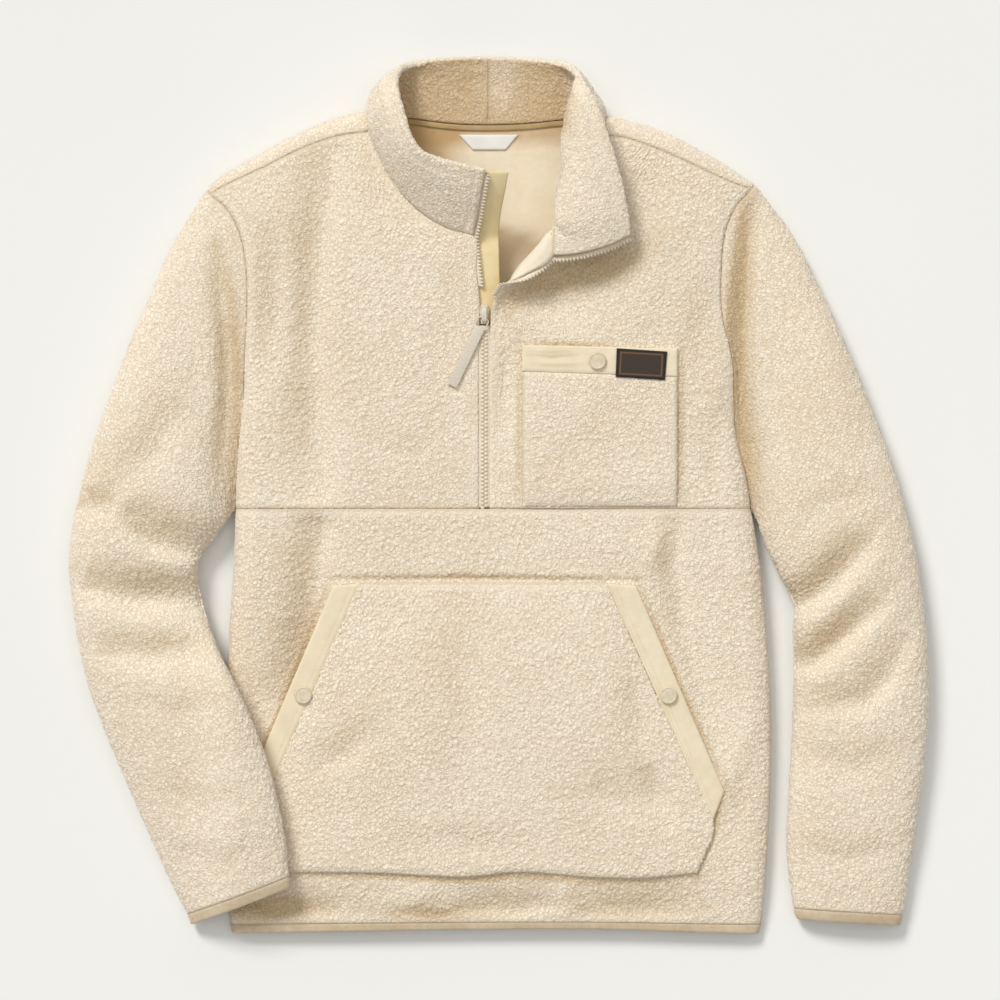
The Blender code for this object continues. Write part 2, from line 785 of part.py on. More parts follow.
def make_chest(name, side, edge_points, material, extra=None):
    """Front chest panel of one side, from the armhole to the line edge_points.

    extra holds, for each row, more points past that line, as for a lapel that turns over.
    """
    right_side = side == "right"
    rows = ARMHOLE_STEPS
    columns = len(ACROSS[side]) if right_side else LAPEL_FOOT + 1
    armhole = [point(row) for row in ARMHOLE_FRONT[side].samples(rows)]
    foot = side_point(CHEST_SEAM, right_side)
    way = 1 if right_side else -1
    run = abs(edge_points[0].x - foot.x)
    bottom = [
        body_point(foot.x + way * share * min(SHOULDER_RUN, run), CHEST_SEAM, True)
        for share in ACROSS[side][: columns - 1]
    ]
    bottom.append(edge_points[0])
    shoulder = [point(row) for row in shoulder_rows(side)[:columns]]
    edge_points[-1] = shoulder[-1]
    grid = patch(bottom, shoulder, armhole, edge_points)
    side_rise, top_rise, edge_rise = (
        [p.z - front_height(p.x, p.y) for p in line] for line in (armhole, shoulder, edge_points)
    )
    for i in range(1, rows):
        for j in range(1, columns - 1):
            place = grid[i][j]
            side_share = 1 - rounding(abs(place.x - grid[i][0].x), SIDES.at(CHEST_SEAM).roll)
            edge_share = (1 - min((place - grid[i][-1]).xy.length / EDGE_EASE, 1.0)) ** 2
            top_share = (1 - min((grid[-1][j] - place).xy.length / SHOULDER_EASE, 1.0)) ** 2
            place.z = (
                front_height(place.x, place.y)
                + side_rise[i] * side_share
                + (edge_rise[i] * edge_share + top_rise[j] * top_share * (1 - edge_share)) * (1 - side_share)
            )
    facings = {(i, 0): facing(row) for i, row in enumerate(ARMHOLE_FRONT[side].samples(rows))}
    for j, row in enumerate(shoulder_rows(side)):
        facings[rows, j] = shoulder_facing(row)
    for j, place in enumerate(bottom):
        ahead = body_point(place.x + 1, CHEST_SEAM, True) - body_point(place.x - 1, CHEST_SEAM, True)
        facings[0, j] = Vector((-ahead.z, 0, ahead.x)).normalized()
    facings[0, 0] = Vector((-way, 0, 0))
    if extra:
        grid = [row + more for row, more in zip(grid, extra)]
        for j in range(columns - 1, len(grid[0])):
            facings[0, j] = Vector((0, 0, 1))
    last = len(grid[0]) - 1
    ring = neck_ring(side)
    for k in range(NECK_FRONT_STEPS + 1):
        facings[ZIP_STEPS + k, last] = ring[k][1]
    return wall(name, grid, FLEECE, material, facings)


def make_chest_right(material):
    zip_edge = [point(row) for row in ZIP_RIGHT.samples(ZIP_STEPS)]
    neck = [point(row) for row in NECK_FRONT["right"].samples(NECK_FRONT_STEPS)]
    return make_chest("front_chest_right", "right", zip_edge + neck[1:], material)


def lapel_points(row):
    """Points from the chest over the lapel's roll to the edge of the left front."""
    foot = Vector((row.foot_x, row.foot_y, row.foot_z))
    roll = Vector((row.roll_x, row.roll_y, row.roll_z))
    edge = point(row)
    lead = foot - (roll - foot) * 0.5
    lead.z = foot.z
    path = [lead, foot, roll, edge, edge + (edge - roll)]
    points = []
    steps = len(ACROSS["left"]) - 1 - LAPEL_FOOT
    for k in range(1, steps + 1):
        t = 2 * k / steps
        i = min(int(t), 1)
        before, start, end, after = path[i : i + 4]
        points.append(hermite(t - i, start, end, (end - before) / 2, (after - start) / 2))
    return points


def make_chest_left(material):
    rows = [LAPEL.at(k) for k in range(ARMHOLE_STEPS + 1)]
    feet = [Vector((row.foot_x, row.foot_y, row.foot_z)) for row in rows]
    more = [lapel_points(row) for row in rows]
    more[-1] = [point(row) for row in shoulder_rows("left")[LAPEL_FOOT + 1 :]]
    ring = neck_ring("left")
    for k in range(NECK_FRONT_STEPS + 1):
        more[ZIP_STEPS + k][-1] = ring[k][0].copy()
    return make_chest("front_chest_left", "left", feet, material, more)


def back_row(y):
    return [body_point(x, y, False) for x in columns_across(y, 2 * NECK_BACK_STEPS, ACROSS["left"])]


def make_back(material):
    ys = (HEM_SEAM, -350, -300, -245, -190, -130, -65, -30)
    grid = [back_row(y) for y in ys]
    bottom = back_row(CHEST_SEAM)
    armholes = {
        side: [point(row) for row in reversed(ARMHOLE_BACK[side].samples(BACK_ARMHOLE_STEPS))]
        for side in ("right", "left")
    }
    rolls = {side: [shoulder_roll(row) for row in shoulder_rows(side)] for side in ("right", "left")}
    feet = {side: [roll[0] for roll in rolls[side]] for side in rolls}
    neck = [point(row) for row in NECK_BACK.samples(2 * NECK_BACK_STEPS)]
    top = feet["right"] + neck[1:-1] + list(reversed(feet["left"]))
    upper = patch(bottom, top, armholes["right"], armholes["left"])
    for i, row in enumerate(upper):
        for j in range(1, len(row) - 1):
            inward = min(row[j].x - row[0].x, row[-1].x - row[j].x)
            lift = row[0].z - HALF
            near_top = max(0.0, 1 - (top[j] - row[j]).length / NECK_RISE_RUN)
            side_share = 1 - rounding(inward, SIDES.at(CHEST_SEAM).roll)
            row[j].z = HALF + lift * side_share + (top[j].z - HALF) * near_top
        upper[i] = row
    grid += upper
    foot_row = len(grid) - 1
    columns = len(top)
    for k in range(1, ROLL_STEPS + 1):
        row = [None] * columns
        for j, roll in enumerate(rolls["right"]):
            row[j] = roll[k]
        for j, roll in enumerate(rolls["left"]):
            row[columns - 1 - j] = roll[k]
        grid.append(row)

    facings = {}
    armpit_row = len(ys)
    for i in range(armpit_row + 1):
        facings[i, 0] = Vector((-1, 0, 0))
        facings[i, columns - 1] = Vector((1, 0, 0))
    for side, column in (("right", 0), ("left", columns - 1)):
        seam = list(reversed(ARMHOLE_BACK[side].samples(BACK_ARMHOLE_STEPS)))
        for k, row in enumerate(seam[1:], start=1):
            facings[armpit_row + k, column] = facing(row)
        ring = armhole_ring(side)
        for k in range(1, ROLL_STEPS + 1):
            facings[foot_row + k, column] = ring[ARMHOLE_STEPS + ROLL_STEPS - k][1]
        neck_facings = [way for _, way in neck_ring(side)]
        shoulder_columns = len(ACROSS[side])
        neck_column = shoulder_columns - 1 if side == "right" else columns - shoulder_columns
        step = 1 if side == "right" else -1
        for k in range(ROLL_STEPS + 1):
            facings[foot_row + k, neck_column] = neck_facings[NECK_FRONT_STEPS + ROLL_STEPS - k]
        for k in range(1, NECK_BACK_STEPS + 1):
            facings[foot_row, neck_column + step * k] = neck_facings[NECK_FRONT_STEPS + ROLL_STEPS + k]
        for j, row in enumerate(shoulder_rows(side)[:-1]):
            column_of = j if side == "right" else columns - 1 - j
            facings[foot_row + ROLL_STEPS, column_of] = shoulder_facing(row)
    return wall("back", grid, FLEECE, material, facings)


def make_hem_binding(material):
    grid = []
    for y in (HEM_SEAM, (HEM_SEAM + HEM_END) / 2, HEM_END):
        xs = columns_across(y, 6)
        front = [body_point(x, y, True) for x in xs]
        back = [body_point(x, y, False) for x in reversed(xs)]
        grid.append(front + back[1:-1])
    facings = {}
    for i in range(len(grid)):
        facings[i, 0] = Vector((-1, 0, 0))
        facings[i, len(columns_across(HEM_END, 6)) - 1] = Vector((1, 0, 0))
    end = {(len(grid) - 1, j) for j in range(len(grid[0]))}
    return wall("hem_binding", grid, HEM_WALL, material, facings, wrap=True, rounded=end)


# ------------------------------------------------------------------ collar and sleeves


def collar_grid(side):
    grid = []
    for k, (seam, _) in enumerate(neck_ring(side)):
        row = COLLAR[side].at(k)
        path = [
            seam,
            Vector((row.ax, row.ay, row.az)),
            Vector((row.bx, row.by, row.bz)),
            Vector((row.cx, row.cy, row.cz)),
            Vector((row.tx, row.ty, row.tz)),
        ]
        grid.append(smooth_path(path, COLLAR_STEPS))
    reach = Vector((COLLAR_INSET - SEAM_INSET, 0, 0)) * (1 if side == "right" else -1)
    grid[-1] = [p + reach for p in grid[-1]]
    return grid


def smooth_path(path, steps):
    """Points spaced evenly along a smooth curve through the path's own points."""
    ends = [path[0] * 2 - path[1], *path, path[-1] * 2 - path[-2]]
    points = []
    for k in range(steps + 1):
        t = (len(path) - 1) * k / steps
        i = min(int(t), len(path) - 2)
        before, start, end, after = ends[i : i + 4]
        points.append(hermite(t - i, start, end, (end - before) / 2, (after - start) / 2))
    return points


def make_collar(side, material):
    grid = collar_grid(side)
    facings = {(k, 0): way for k, (_, way) in enumerate(neck_ring(side))}
    top = len(grid[0]) - 1
    free = {(k, top) for k in range(COLLAR_STATIONS + 1)}
    return wall("collar_" + side, grid, COLLAR_WALL, material, facings, inset=COLLAR_INSET, rounded=free)


def fold_height(side, x, y):
    """Sum of the sleeve's folds at a place in plan, each fading at its ends."""
    total = 0.0
    for fold in (Fold(*row) for row in FOLDS[side]):
        run = Vector((fold.x1 - fold.x0, fold.y1 - fold.y0))
        offset = Vector((x - fold.x0, y - fold.y0))
        along = offset.dot(run) / run.length_squared
        beside = abs(offset.x * run.y - offset.y * run.x) / run.length
        if -0.2 < along < 1.2:
            fade = math.cos(math.pi * (along - 0.5) / 1.4) ** 2
            total += fold.height * fade * math.exp(-((beside / fold.width) ** 2))
    return total


def ground(side, x, y):
    """Height of what the sleeve lies on: the surface or, under the right cuff, the body."""
    if side == "left":
        return 0.0
    inside = x - SIDES.at(y).right
    share = min(max((inside - LIFT_START) / (LIFT_END - LIFT_START), 0.0), 1.0)
    down = min(max((LIFT_TOP - y) / (LIFT_TOP - LIFT_FULL), 0.0), 1.0)
    body = front_height(max(x, SIDES.at(y).right + SIDES.at(y).roll), y) + HALF
    return (body + LIFT_ROOM) * share * share * (3 - 2 * share) * down


def sleeve_turns():
    """Angle of each point round a sleeve: up the front, over the outer edge, back below."""
    front = [CAP_TURN * k / ARMHOLE_STEPS for k in range(ARMHOLE_STEPS)]
    edge = [CAP_TURN + 2 * (1 - CAP_TURN) * k / ROLL_STEPS for k in range(ROLL_STEPS)]
    start = 2 - CAP_TURN
    below = [start + (2 - start) * k / BACK_ARMHOLE_STEPS for k in range(BACK_ARMHOLE_STEPS)]
    return [math.pi * turn for turn in front + edge + below]


def sleeve_section(side, at):
    """Ring of middle points: from the inner edge over the top, then back along the floor."""
    row = SLEEVE[side].at(at)
    outer = Vector((row.outer_x, row.outer_y))
    inner = Vector((row.inner_x, row.inner_y))
    inset = (outer - inner).normalized() * HALF
    outer, inner = outer - inset, inner + inset
    height = row.height - FLEECE
    base_inner = ground(side, inner.x, inner.y)
    ring = []
    for turn in sleeve_turns():
        top = turn <= math.pi
        fullness = TUBE_FULLNESS if top else FLOOR_FULLNESS
        reach = math.copysign(abs(math.cos(turn)) ** (2 / TUBE_FULLNESS), math.cos(turn))
        rise = abs(math.sin(turn)) ** (2 / fullness)
        share = (1 - reach) / 2
        place = inner.lerp(outer, share)
        under = ground(side, place.x, place.y)
        floor = under + HALF
        middle = HALF + (base_inner * (1 - share) + under) / 2 + height * MIDDLE_SHARE
        if top:
            z = middle + height * (1 - MIDDLE_SHARE) * rise + fold_height(side, place.x, place.y) * rise
        else:
            z = middle + (floor - middle) * rise
        ring.append(Vector((place.x, place.y, z)))
    return ring


def sleeve_grid(side):
    outward = -1 if side == "right" else 1
    first = []
    for place, _ in armhole_ring(side):
        near = max(0.0, 1 - (place.y - CHEST_SEAM) / ARMPIT_REACH) ** 2
        first.append(place + Vector((ARMPIT_EASE.x * outward, ARMPIT_EASE.y, 0)) * near)
    rest = [sleeve_section(side, at) for at in SLEEVE_SECTIONS]
    cap = []
    for t in CAP_SECTIONS:
        cap.append(
            [
                hermite(t, a, b, b - a, (c - a) / 2)
                for a, b, c in zip(first, rest[0], rest[1])
            ]
        )
    return [first] + cap + rest


def make_sleeve(side, material):
    facings = {
        (0, k): way
        for k, (place, way) in enumerate(armhole_ring(side))
        if place.y > CHEST_SEAM + SHARED_FROM
    }
    return wall("sleeve_" + side, sleeve_grid(side), FLEECE, material, facings, wrap=True)


def make_cuff_binding(side, material):
    grid = [sleeve_section(side, at) for at in CUFF_SECTIONS]
    end = {(len(grid) - 1, k) for k in range(len(grid[0]))}
    centre = sum((p for p in grid[0]), Vector()) / len(grid[0])
    facings = {(1, k): (grid[1][k] - centre).normalized() for k in (0, ARMHOLE_STEPS)}
    for key, way in facings.items():
        way.y = 0
        facings[key] = way.normalized()
    return wall("cuff_binding_" + side, grid, HEM_WALL, material, facings, wrap=True, rounded=end)


# ------------------------------------------------------------------ pieces on the panels


def laid_on_front(x, y, offset):
    return Vector((x, y, front_height(x, y) + HALF + LAY_GAP + offset))


def between(corners, steps_along, steps_across, offset):
    """Grid over a four-cornered piece laid on the front: corners go round from the foot."""
    a, b, c, d = (Vector(corner) for corner in corners)
    grid = []
    for i in range(steps_along + 1):
        start, end = a.lerp(d, i / steps_along), b.lerp(c, i / steps_along)
        row = [start.lerp(end, j / steps_across) for j in range(steps_across + 1)]
        grid.append([laid_on_front(p.x, p.y, offset) for p in row])
    return grid


def make_kangaroo_pocket(material):
    ys = (-345, -325, -305, -294, -265, -225, -185, -145, -110, -75)
    grid = []
    for y in ys:
        span = POCKET.at(y)
        row = []
        for k in range(13):
            share = k / 12
            x = span.left + (span.right - span.left) * share
            up = (y - ys[0]) / (ys[-1] - ys[0])
            puff = POCKET_PUFF * math.sin(math.pi * share) * math.sin(math.pi * min(up * 1.1, 1.0))
            row.append(laid_on_front(x, y, FLEECE / 2 + max(puff, 0.0)))
        grid.append(row)
    return wall("kangaroo_pocket", grid, FLEECE, material)


def make_pocket_binding(side, material):
    outer_top, outer_foot, inner_top, inner_foot = BINDING_CORNERS[side]
    corners = (inner_foot, outer_foot, outer_top, inner_top)
    return wall("pocket_binding_" + side, between(corners, 8, 2, BOUND_EDGE / 2), BOUND_EDGE, material)


def make_chest_pocket(material):
    left, right, foot = CHEST_POCKET["left"], CHEST_POCKET["right"], CHEST_POCKET["foot"]
    corners = ((left, foot), (right, foot), (right, CHEST_BAND_FOOT[1]), (left, CHEST_BAND_FOOT[0]))
    return wall("chest_pocket", between(corners, 6, 6, FLEECE / 2), FLEECE, material)


def make_chest_band(material):
    left, right = CHEST_POCKET["left"], CHEST_POCKET["right"]
    corners = (
        (left, CHEST_BAND_FOOT[0]), (right, CHEST_BAND_FOOT[1]),
        (right, CHEST_BAND_HEAD[1]), (left, CHEST_BAND_HEAD[0]),
    )
    grid = between(corners, 2, 6, BOUND_EDGE / 2)
    return wall("chest_pocket_binding", grid, BOUND_EDGE, material)


def make_chest_label(material):
    offset = FLEECE + LAY_GAP + LABEL_WALL / 2
    return wall("chest_label", between(CHEST_LABEL_CORNERS, 2, 2, offset), LABEL_WALL, material)


def make_snap(name, x, y, material):
    """Round cap with a raised rim and a shallow dished middle."""
    base = front_height(x, y) + HALF + BOUND_EDGE + 3 * LAY_GAP
    profile = ((0.86, 0.0), (1.0, 0.25), (1.0, 0.7), (0.86, 1.0), (0.7, 0.86), (0.35, 0.76))
    steps = 20
    solid = bmesh.new()
    rings = []
    for radius, rise in profile:
        ring = []
        for k in range(steps):
            turn = 2 * math.pi * k / steps
            reach = SNAP_RADIUS * radius
            ring.append(
                solid.verts.new((x + reach * math.cos(turn), y + reach * math.sin(turn), base + SNAP_HEIGHT * rise))
            )
        rings.append(ring)
    for low, high in zip(rings, rings[1:]):
        for k in range(steps):
            n = (k + 1) % steps
            solid.faces.new((low[k], low[n], high[n], high[k]))
    solid.faces.new(list(reversed(rings[0])))
    solid.faces.new(rings[-1])
    return add_object(name, solid, material)


def inside_back(x, y, offset):
    """Point above the back panel's inner face, near the neck."""
    top = NECK_BACK.at(min(max((x + 93) / 186, 0.0), 1.0))
    rise = (top.z - HALF) * max(0.0, 1 - (top.y - y) / NECK_RISE_RUN)
    return Vector((x, y, HALF * 2 + rise + LAY_GAP + offset))


def make_neck_label(material):
    a, b, c, d = (Vector(corner) for corner in NECK_LABEL_CORNERS)
    grid = []
    for i in range(3):
        start, end = a.lerp(d, i / 2), b.lerp(c, i / 2)
        grid.append([inside_back(*start.lerp(end, j / 4), LABEL_WALL / 2) for j in range(5)])
    return wall("neck_label", grid, LABEL_WALL, material)


def make_neck_tape(material):
    grid = []
    for k in range(2 * NECK_BACK_STEPS + 1):
        share = 0.04 + 0.92 * k / (2 * NECK_BACK_STEPS)
        seam = NECK_BACK.at(share)
        foot = inside_back(seam.x, seam.y - 0.6 - NECK_TAPE_WIDTH, TAPE_WALL / 2)
        head = inside_back(seam.x, seam.y - 0.6, TAPE_WALL / 2)
        grid.append([foot, foot.lerp(head, 0.5), head])
    return wall("neck_tape", grid, TAPE_WALL, material)


# ------------------------------------------------------------------ the zip


def zip_right_edge():
    """The right front's zip edge and the collar's above it, from the chest seam up."""
    front = [point(row) for row in ZIP_RIGHT.samples(16)]
    collar = collar_grid("right")[0]
    return front + collar[1:]


def make_wind_flap(material):
    grid = []
    for p in zip_right_edge():
        if p.y < WIND_FLAP_FOOT:
            continue
        wall_below = HALF if p.y <= NECK_FRONT["right"].rows[0].y - 14 else COLLAR_WALL / 2
        z = p.z - wall_below - LAY_GAP * 2 - TAPE_WALL / 2
        near = p.x - 2
        far = WIND_FLAP_EDGE.at(p.y).x
        grid.append([Vector((near + (far - near) * k / 4, p.y, z - 3.5 * (k / 4) ** 2)) for k in range(5)])
    return wall("wind_flap", grid, TAPE_WALL, material)


def make_zip_chain(material):
    """The closed chain between the two fronts, below the slider."""
    grid = []
    for k in range(13):
        y = CHEST_SEAM + 1 + (SLIDER_FOOT - CHEST_SEAM - 2) * k / 12
        right = ZIP_RIGHT.at(min((y - CHEST_SEAM) / (241 - CHEST_SEAM), 1.0)).z
        row = [Vector((SLIDER_X + ZIP_CHAIN_HALF * t, y, right - 0.3)) for t in (-1, 0, 1)]
        grid.append(row)
    return wall("zip_chain", grid, CHAIN_WALL, material)


def chain_strip(side, edge, behind, material):
    """Half of the open chain: a strip beside an edge, carrying on from the points behind it."""
    grid = []
    for k, (p, q) in enumerate(zip(edge, behind)):
        along = (edge[min(k + 1, len(edge) - 1)] - edge[max(k - 1, 0)]).normalized()
        out = p - q
        out -= along * out.dot(along)
        out.normalize()
        start = p + out * CHAIN_GAP[side]
        grid.append([start, start + out * (OPEN_CHAIN_WIDTH / 2), start + out * OPEN_CHAIN_WIDTH])
    return wall("zip_open_" + side, grid, CHAIN_WALL, material)


def make_zip_open_right(material):
    front = [p for p in map(point, ZIP_RIGHT.samples(16)) if p.y > SLIDER_HEAD + 2]
    first, second = collar_grid("right")[:2]
    edge = front + first[1:-1]
    behind = [p - Vector((10, 0, 0)) for p in front] + second[1:-1]
    return chain_strip("right", edge, behind, material)


def make_zip_open_left(material):
    rows = [LAPEL.at(5 + 0.5 * k) for k in range(1, 7)]
    first, second = collar_grid("left")[:2]
    edge = [point(row) for row in rows] + first[1:]
    behind = [lapel_points(row)[-2] for row in rows] + second[1:]
    return chain_strip("left", edge, behind, material)


def box(solid, low, high):
    """Adds a box between two corners to a bmesh."""
    made = bmesh.ops.create_cube(solid, size=1.0)["verts"]
    size = Vector(high) - Vector(low)
    bmesh.ops.scale(solid, vec=size, verts=made)
    bmesh.ops.translate(solid, vec=(Vector(high) + Vector(low)) / 2, verts=made)
    return made


def slider_top():
    return front_height(SLIDER_X, SLIDER_HEAD) + 1.2


def hinge_point():
    """Middle of the bar that the pull turns on, under the slider's bridge."""
    return Vector((SLIDER_X, HINGE_Y, slider_top() + HINGE_RISE))


def union(obj, other):
    """Joins another object into obj, and keeps it as a hidden guide."""
    modifier = obj.modifiers.new("joined", "BOOLEAN")
    modifier.operation = "UNION"
    modifier.object = other
    other.hide_render = True
    other.display_type = "WIRE"


def prism(outline, place, reach):
    """Bmesh of a flat outline, each of its points placed by place(u, v, side), side -1 or 1."""
    solid = bmesh.new()
    low, high = ([solid.verts.new(place(u, v, side * reach)) for u, v in outline] for side in (-1, 1))
    solid.faces.new(list(reversed(low)))
    solid.faces.new(high)
    for k in range(len(outline)):
        n = (k + 1) % len(outline)
        solid.faces.new((low[k], low[n], high[n], high[k]))
    return solid


def make_slider(material):
    top = slider_top()
    width = SLIDER_WIDTH / 2
    outline = (
        (-width * 0.72, SLIDER_FOOT + 0.4), (width * 0.72, SLIDER_FOOT + 0.4),
        (width, SLIDER_HEAD - 4.5), (width * 0.75, SLIDER_HEAD),
        (-width * 0.75, SLIDER_HEAD), (-width, SLIDER_HEAD - 4.5),
    )
    plates = prism(outline, lambda x, y, z: (SLIDER_X + x, y, top - 2.3 + z), 2.3)
    body = add_object("zip_slider", plates, material)
    side_view = BRIDGE_OUTER + tuple(reversed(BRIDGE_INNER))
    arch = prism(side_view, lambda y, z, x: (SLIDER_X + x, HINGE_Y + y, top + z), BRIDGE_HALF)
    union(body, add_object("slider_bridge_guide", arch, material))
    return body


def ring_tube(path, radius, sides):
    """Bmesh of a round wire along a closed flat path."""
    solid = bmesh.new()
    rings = []
    count = len(path)
    for k, p in enumerate(path):
        along = (path[(k + 1) % count] - path[k - 1]).normalized()
        across = Vector((0, 0, 1)).cross(along)
        turns = [2 * math.pi * (s + 0.5) / sides for s in range(sides)]
        rings.append(
            [
                solid.verts.new(p + across * (radius * math.cos(turn)) + Vector((0, 0, radius * math.sin(turn))))
                for turn in turns
            ]
        )
    for k in range(count):
        one, two = rings[k], rings[(k + 1) % count]
        for s in range(sides):
            n = (s + 1) % sides
            solid.faces.new((one[s], one[n], two[n], two[s]))
    return solid


def make_pull(material):
    """Link round the bridge with a folded ribbon tab, lying down to the wearer's right."""
    path = []
    for k in range(24):
        turn = 2 * math.pi * k / 24
        across = LOOP_HALF * math.copysign(abs(math.cos(turn)) ** 0.5, math.cos(turn))
        along = LOOP_LENGTH / 2 * math.copysign(abs(math.sin(turn)) ** 0.5, math.sin(turn))
        path.append(Vector((LOOP_LENGTH / 2 - along, across, 0)))
    link = add_object("zip_pull", ring_tube(path, LOOP_WIRE, 8), material)
    tab = bmesh.new()
    half = TAB_WALL / 2
    box(tab, (LOOP_LENGTH - 2.4, -TAB_HALF, -half), (PULL_LENGTH, TAB_HALF, half))
    tab_guide = add_object("pull_tab_guide", tab, material)
    union(link, tab_guide)
    hinge = hinge_point()
    end = hinge + Matrix.Rotation(math.radians(PULL_HEADING), 3, "Z") @ Vector((PULL_LENGTH, 0, 0))
    dip = math.asin((hinge.z - front_height(end.x, end.y) - HALF - 1.2) / PULL_LENGTH)
    placing = Matrix.Translation(hinge * MM) @ Matrix.Rotation(math.radians(PULL_HEADING), 4, "Z")
    placing = placing @ Matrix.Rotation(dip, 4, "Y")
    for obj in (link, tab_guide):
        obj.matrix_world = placing
    return link


# ------------------------------------------------------------------ the whole garment


def main():
    for obj in list(bpy.data.objects):
        bpy.data.objects.remove(obj)
    fleece = finish("sherpa_fleece", (0.80, 0.70, 0.54), 0.95)
    smooth = finish("fleece_reverse", (0.82, 0.71, 0.52), 0.9)
    woven = finish("woven_binding", (0.76, 0.65, 0.44), 0.8)
    edging = finish("edge_binding", (0.58, 0.46, 0.32), 0.85)
    resin = finish("zip_resin", (0.78, 0.74, 0.66), 0.4)
    ribbon = finish("pull_ribbon", (0.66, 0.65, 0.60), 0.6)
    snap = finish("snap_resin", (0.72, 0.66, 0.52), 0.35)
    label = finish("chest_label_weave", (0.03, 0.025, 0.022), 0.85)
    tag = finish("neck_label_weave", (0.80, 0.80, 0.77), 0.8)

    make_back(fleece)
    make_front_lower(fleece)
    make_chest_right(fleece)
    make_chest_left(fleece)
    for side in ("right", "left"):
        make_sleeve(side, fleece)
        make_collar(side, fleece)
        make_cuff_binding(side, edging)
        make_pocket_binding(side, woven)
        make_snap("snap_pocket_" + side, *POCKET_SNAPS[side], snap)
    make_hem_binding(edging)
    make_kangaroo_pocket(fleece)
    make_chest_pocket(fleece)
    make_chest_band(woven)
    make_chest_label(label)
    make_snap("snap_chest", *CHEST_SNAP, snap)
    make_neck_label(tag)
    make_neck_tape(woven)
    make_wind_flap(woven)
    make_zip_chain(resin)
    make_zip_open_right(resin)
    make_zip_open_left(resin)
    make_slider(resin)
    make_pull(ribbon)


if __name__ == "__main__":
    main()
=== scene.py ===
"""Looks of a cream sherpa fleece half-zip pullover, laid flat on its back with the neck open.

Axes: +X runs to the wearer's left, +Y to the collar and +Z up from the surface that the
garment lies on. Tables and sizes are in millimetres, and finished meshes are in metres.

Every cloth piece is a thin wall round a grid of middle points. The grid is smoothed to a
fine mesh, its seams and creases are pressed in, and its pile is raised by geometry nodes
from the same pattern that its material is coloured with.
"""

import logging
import math
from collections import namedtuple
from collections.abc import Callable, Iterable, Sequence
from dataclasses import dataclass, field
from enum import Enum

import bmesh
import bpy
import numpy as np
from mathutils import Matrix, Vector


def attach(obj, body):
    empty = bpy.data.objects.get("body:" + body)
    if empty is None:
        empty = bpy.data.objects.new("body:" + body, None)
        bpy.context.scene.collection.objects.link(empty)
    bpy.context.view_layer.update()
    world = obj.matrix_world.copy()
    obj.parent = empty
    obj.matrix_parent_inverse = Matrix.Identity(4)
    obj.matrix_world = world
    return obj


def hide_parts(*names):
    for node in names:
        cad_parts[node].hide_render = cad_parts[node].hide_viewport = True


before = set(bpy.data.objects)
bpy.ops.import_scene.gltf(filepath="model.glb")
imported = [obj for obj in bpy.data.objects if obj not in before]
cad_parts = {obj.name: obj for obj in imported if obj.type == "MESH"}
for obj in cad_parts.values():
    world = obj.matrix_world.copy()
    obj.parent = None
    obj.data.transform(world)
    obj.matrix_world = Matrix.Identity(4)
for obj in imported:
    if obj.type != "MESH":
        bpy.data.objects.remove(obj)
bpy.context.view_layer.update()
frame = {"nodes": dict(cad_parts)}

logging.basicConfig(level=logging.INFO, format="%(message)s")
log = logging.getLogger("pullover")

MM = 0.001
Key = tuple[int, int]
Rgb = tuple[int, int, int]
Piece = bpy.types.Object
Mesh = bpy.types.Mesh
Material = bpy.types.Material
Tree = bpy.types.NodeTree
Node = bpy.types.Node
Socket = bpy.types.NodeSocket
Colour = Socket | Sequence[float]

# The part of their range that noise textures mostly fill
NOISE_RANGE = (0.3, 0.7)


class Side(Enum):
    """A side of the garment, as its wearer would name it."""

    RIGHT = "right"
    LEFT = "left"


class Edge(Enum):
    """An edge of a panel's grid of points."""

    FIRST_ROW = "first row"
    LAST_ROW = "last row"
    FIRST_COLUMN = "first column"
    LAST_COLUMN = "last column"


class Pile(Enum):
    """Which faces of a cloth carry deep pile."""

    NONE = "none"
    OUTER = "outer"
    BOTH = "both"


# ------ tables of named columns


class Table:
    """Rows of named columns, read as smooth curves over the first column."""

    def __init__(self, columns: str, *rows: Sequence[float]) -> None:
        """Keeps the rows under the names of their columns, the key first."""
        self.Row = namedtuple("Row", columns)
        self.rows = [self.Row(*row) for row in rows]

    def at(self, key: float) -> tuple:
        """Reads every column at a key.

        Args:
            key: place along the first column.

        Returns:
            A named row.
        """
        keys = [row[0] for row in self.rows]
        last = len(keys) - 2
        i = next((k for k in range(last) if key < keys[k + 1]), last)
        before, start, end, after = (
            self.rows[max(i - 1, 0)], self.rows[i], self.rows[i + 1], self.rows[min(i + 2, last + 1)]
        )
        span = end[0] - start[0]
        t = clamp((key - start[0]) / span)
        lean_in = span / (end[0] - before[0])
        lean_out = span / (after[0] - start[0])
        return self.Row(
            *(
                hermite(t, p, q, (q - o) * lean_in, (r - p) * lean_out)
                for o, p, q, r in zip(before, start, end, after)
            )
        )


def hermite(t: float, start: float, end: float, slope_in: float, slope_out: float) -> float:
    """Cubic curve between two values.

    Args:
        t: place between them, from 0 to 1.
        start: first value, a number or a vector.
        end: last value.
        slope_in: slope at the first value.
        slope_out: slope at the last value.

    Returns:
        The value at t.
    """
    return (
        (2 * t**3 - 3 * t**2 + 1) * start + (t**3 - 2 * t**2 + t) * slope_in + (3 * t**2 - 2 * t**3) * end
        + (t**3 - t**2) * slope_out
    )


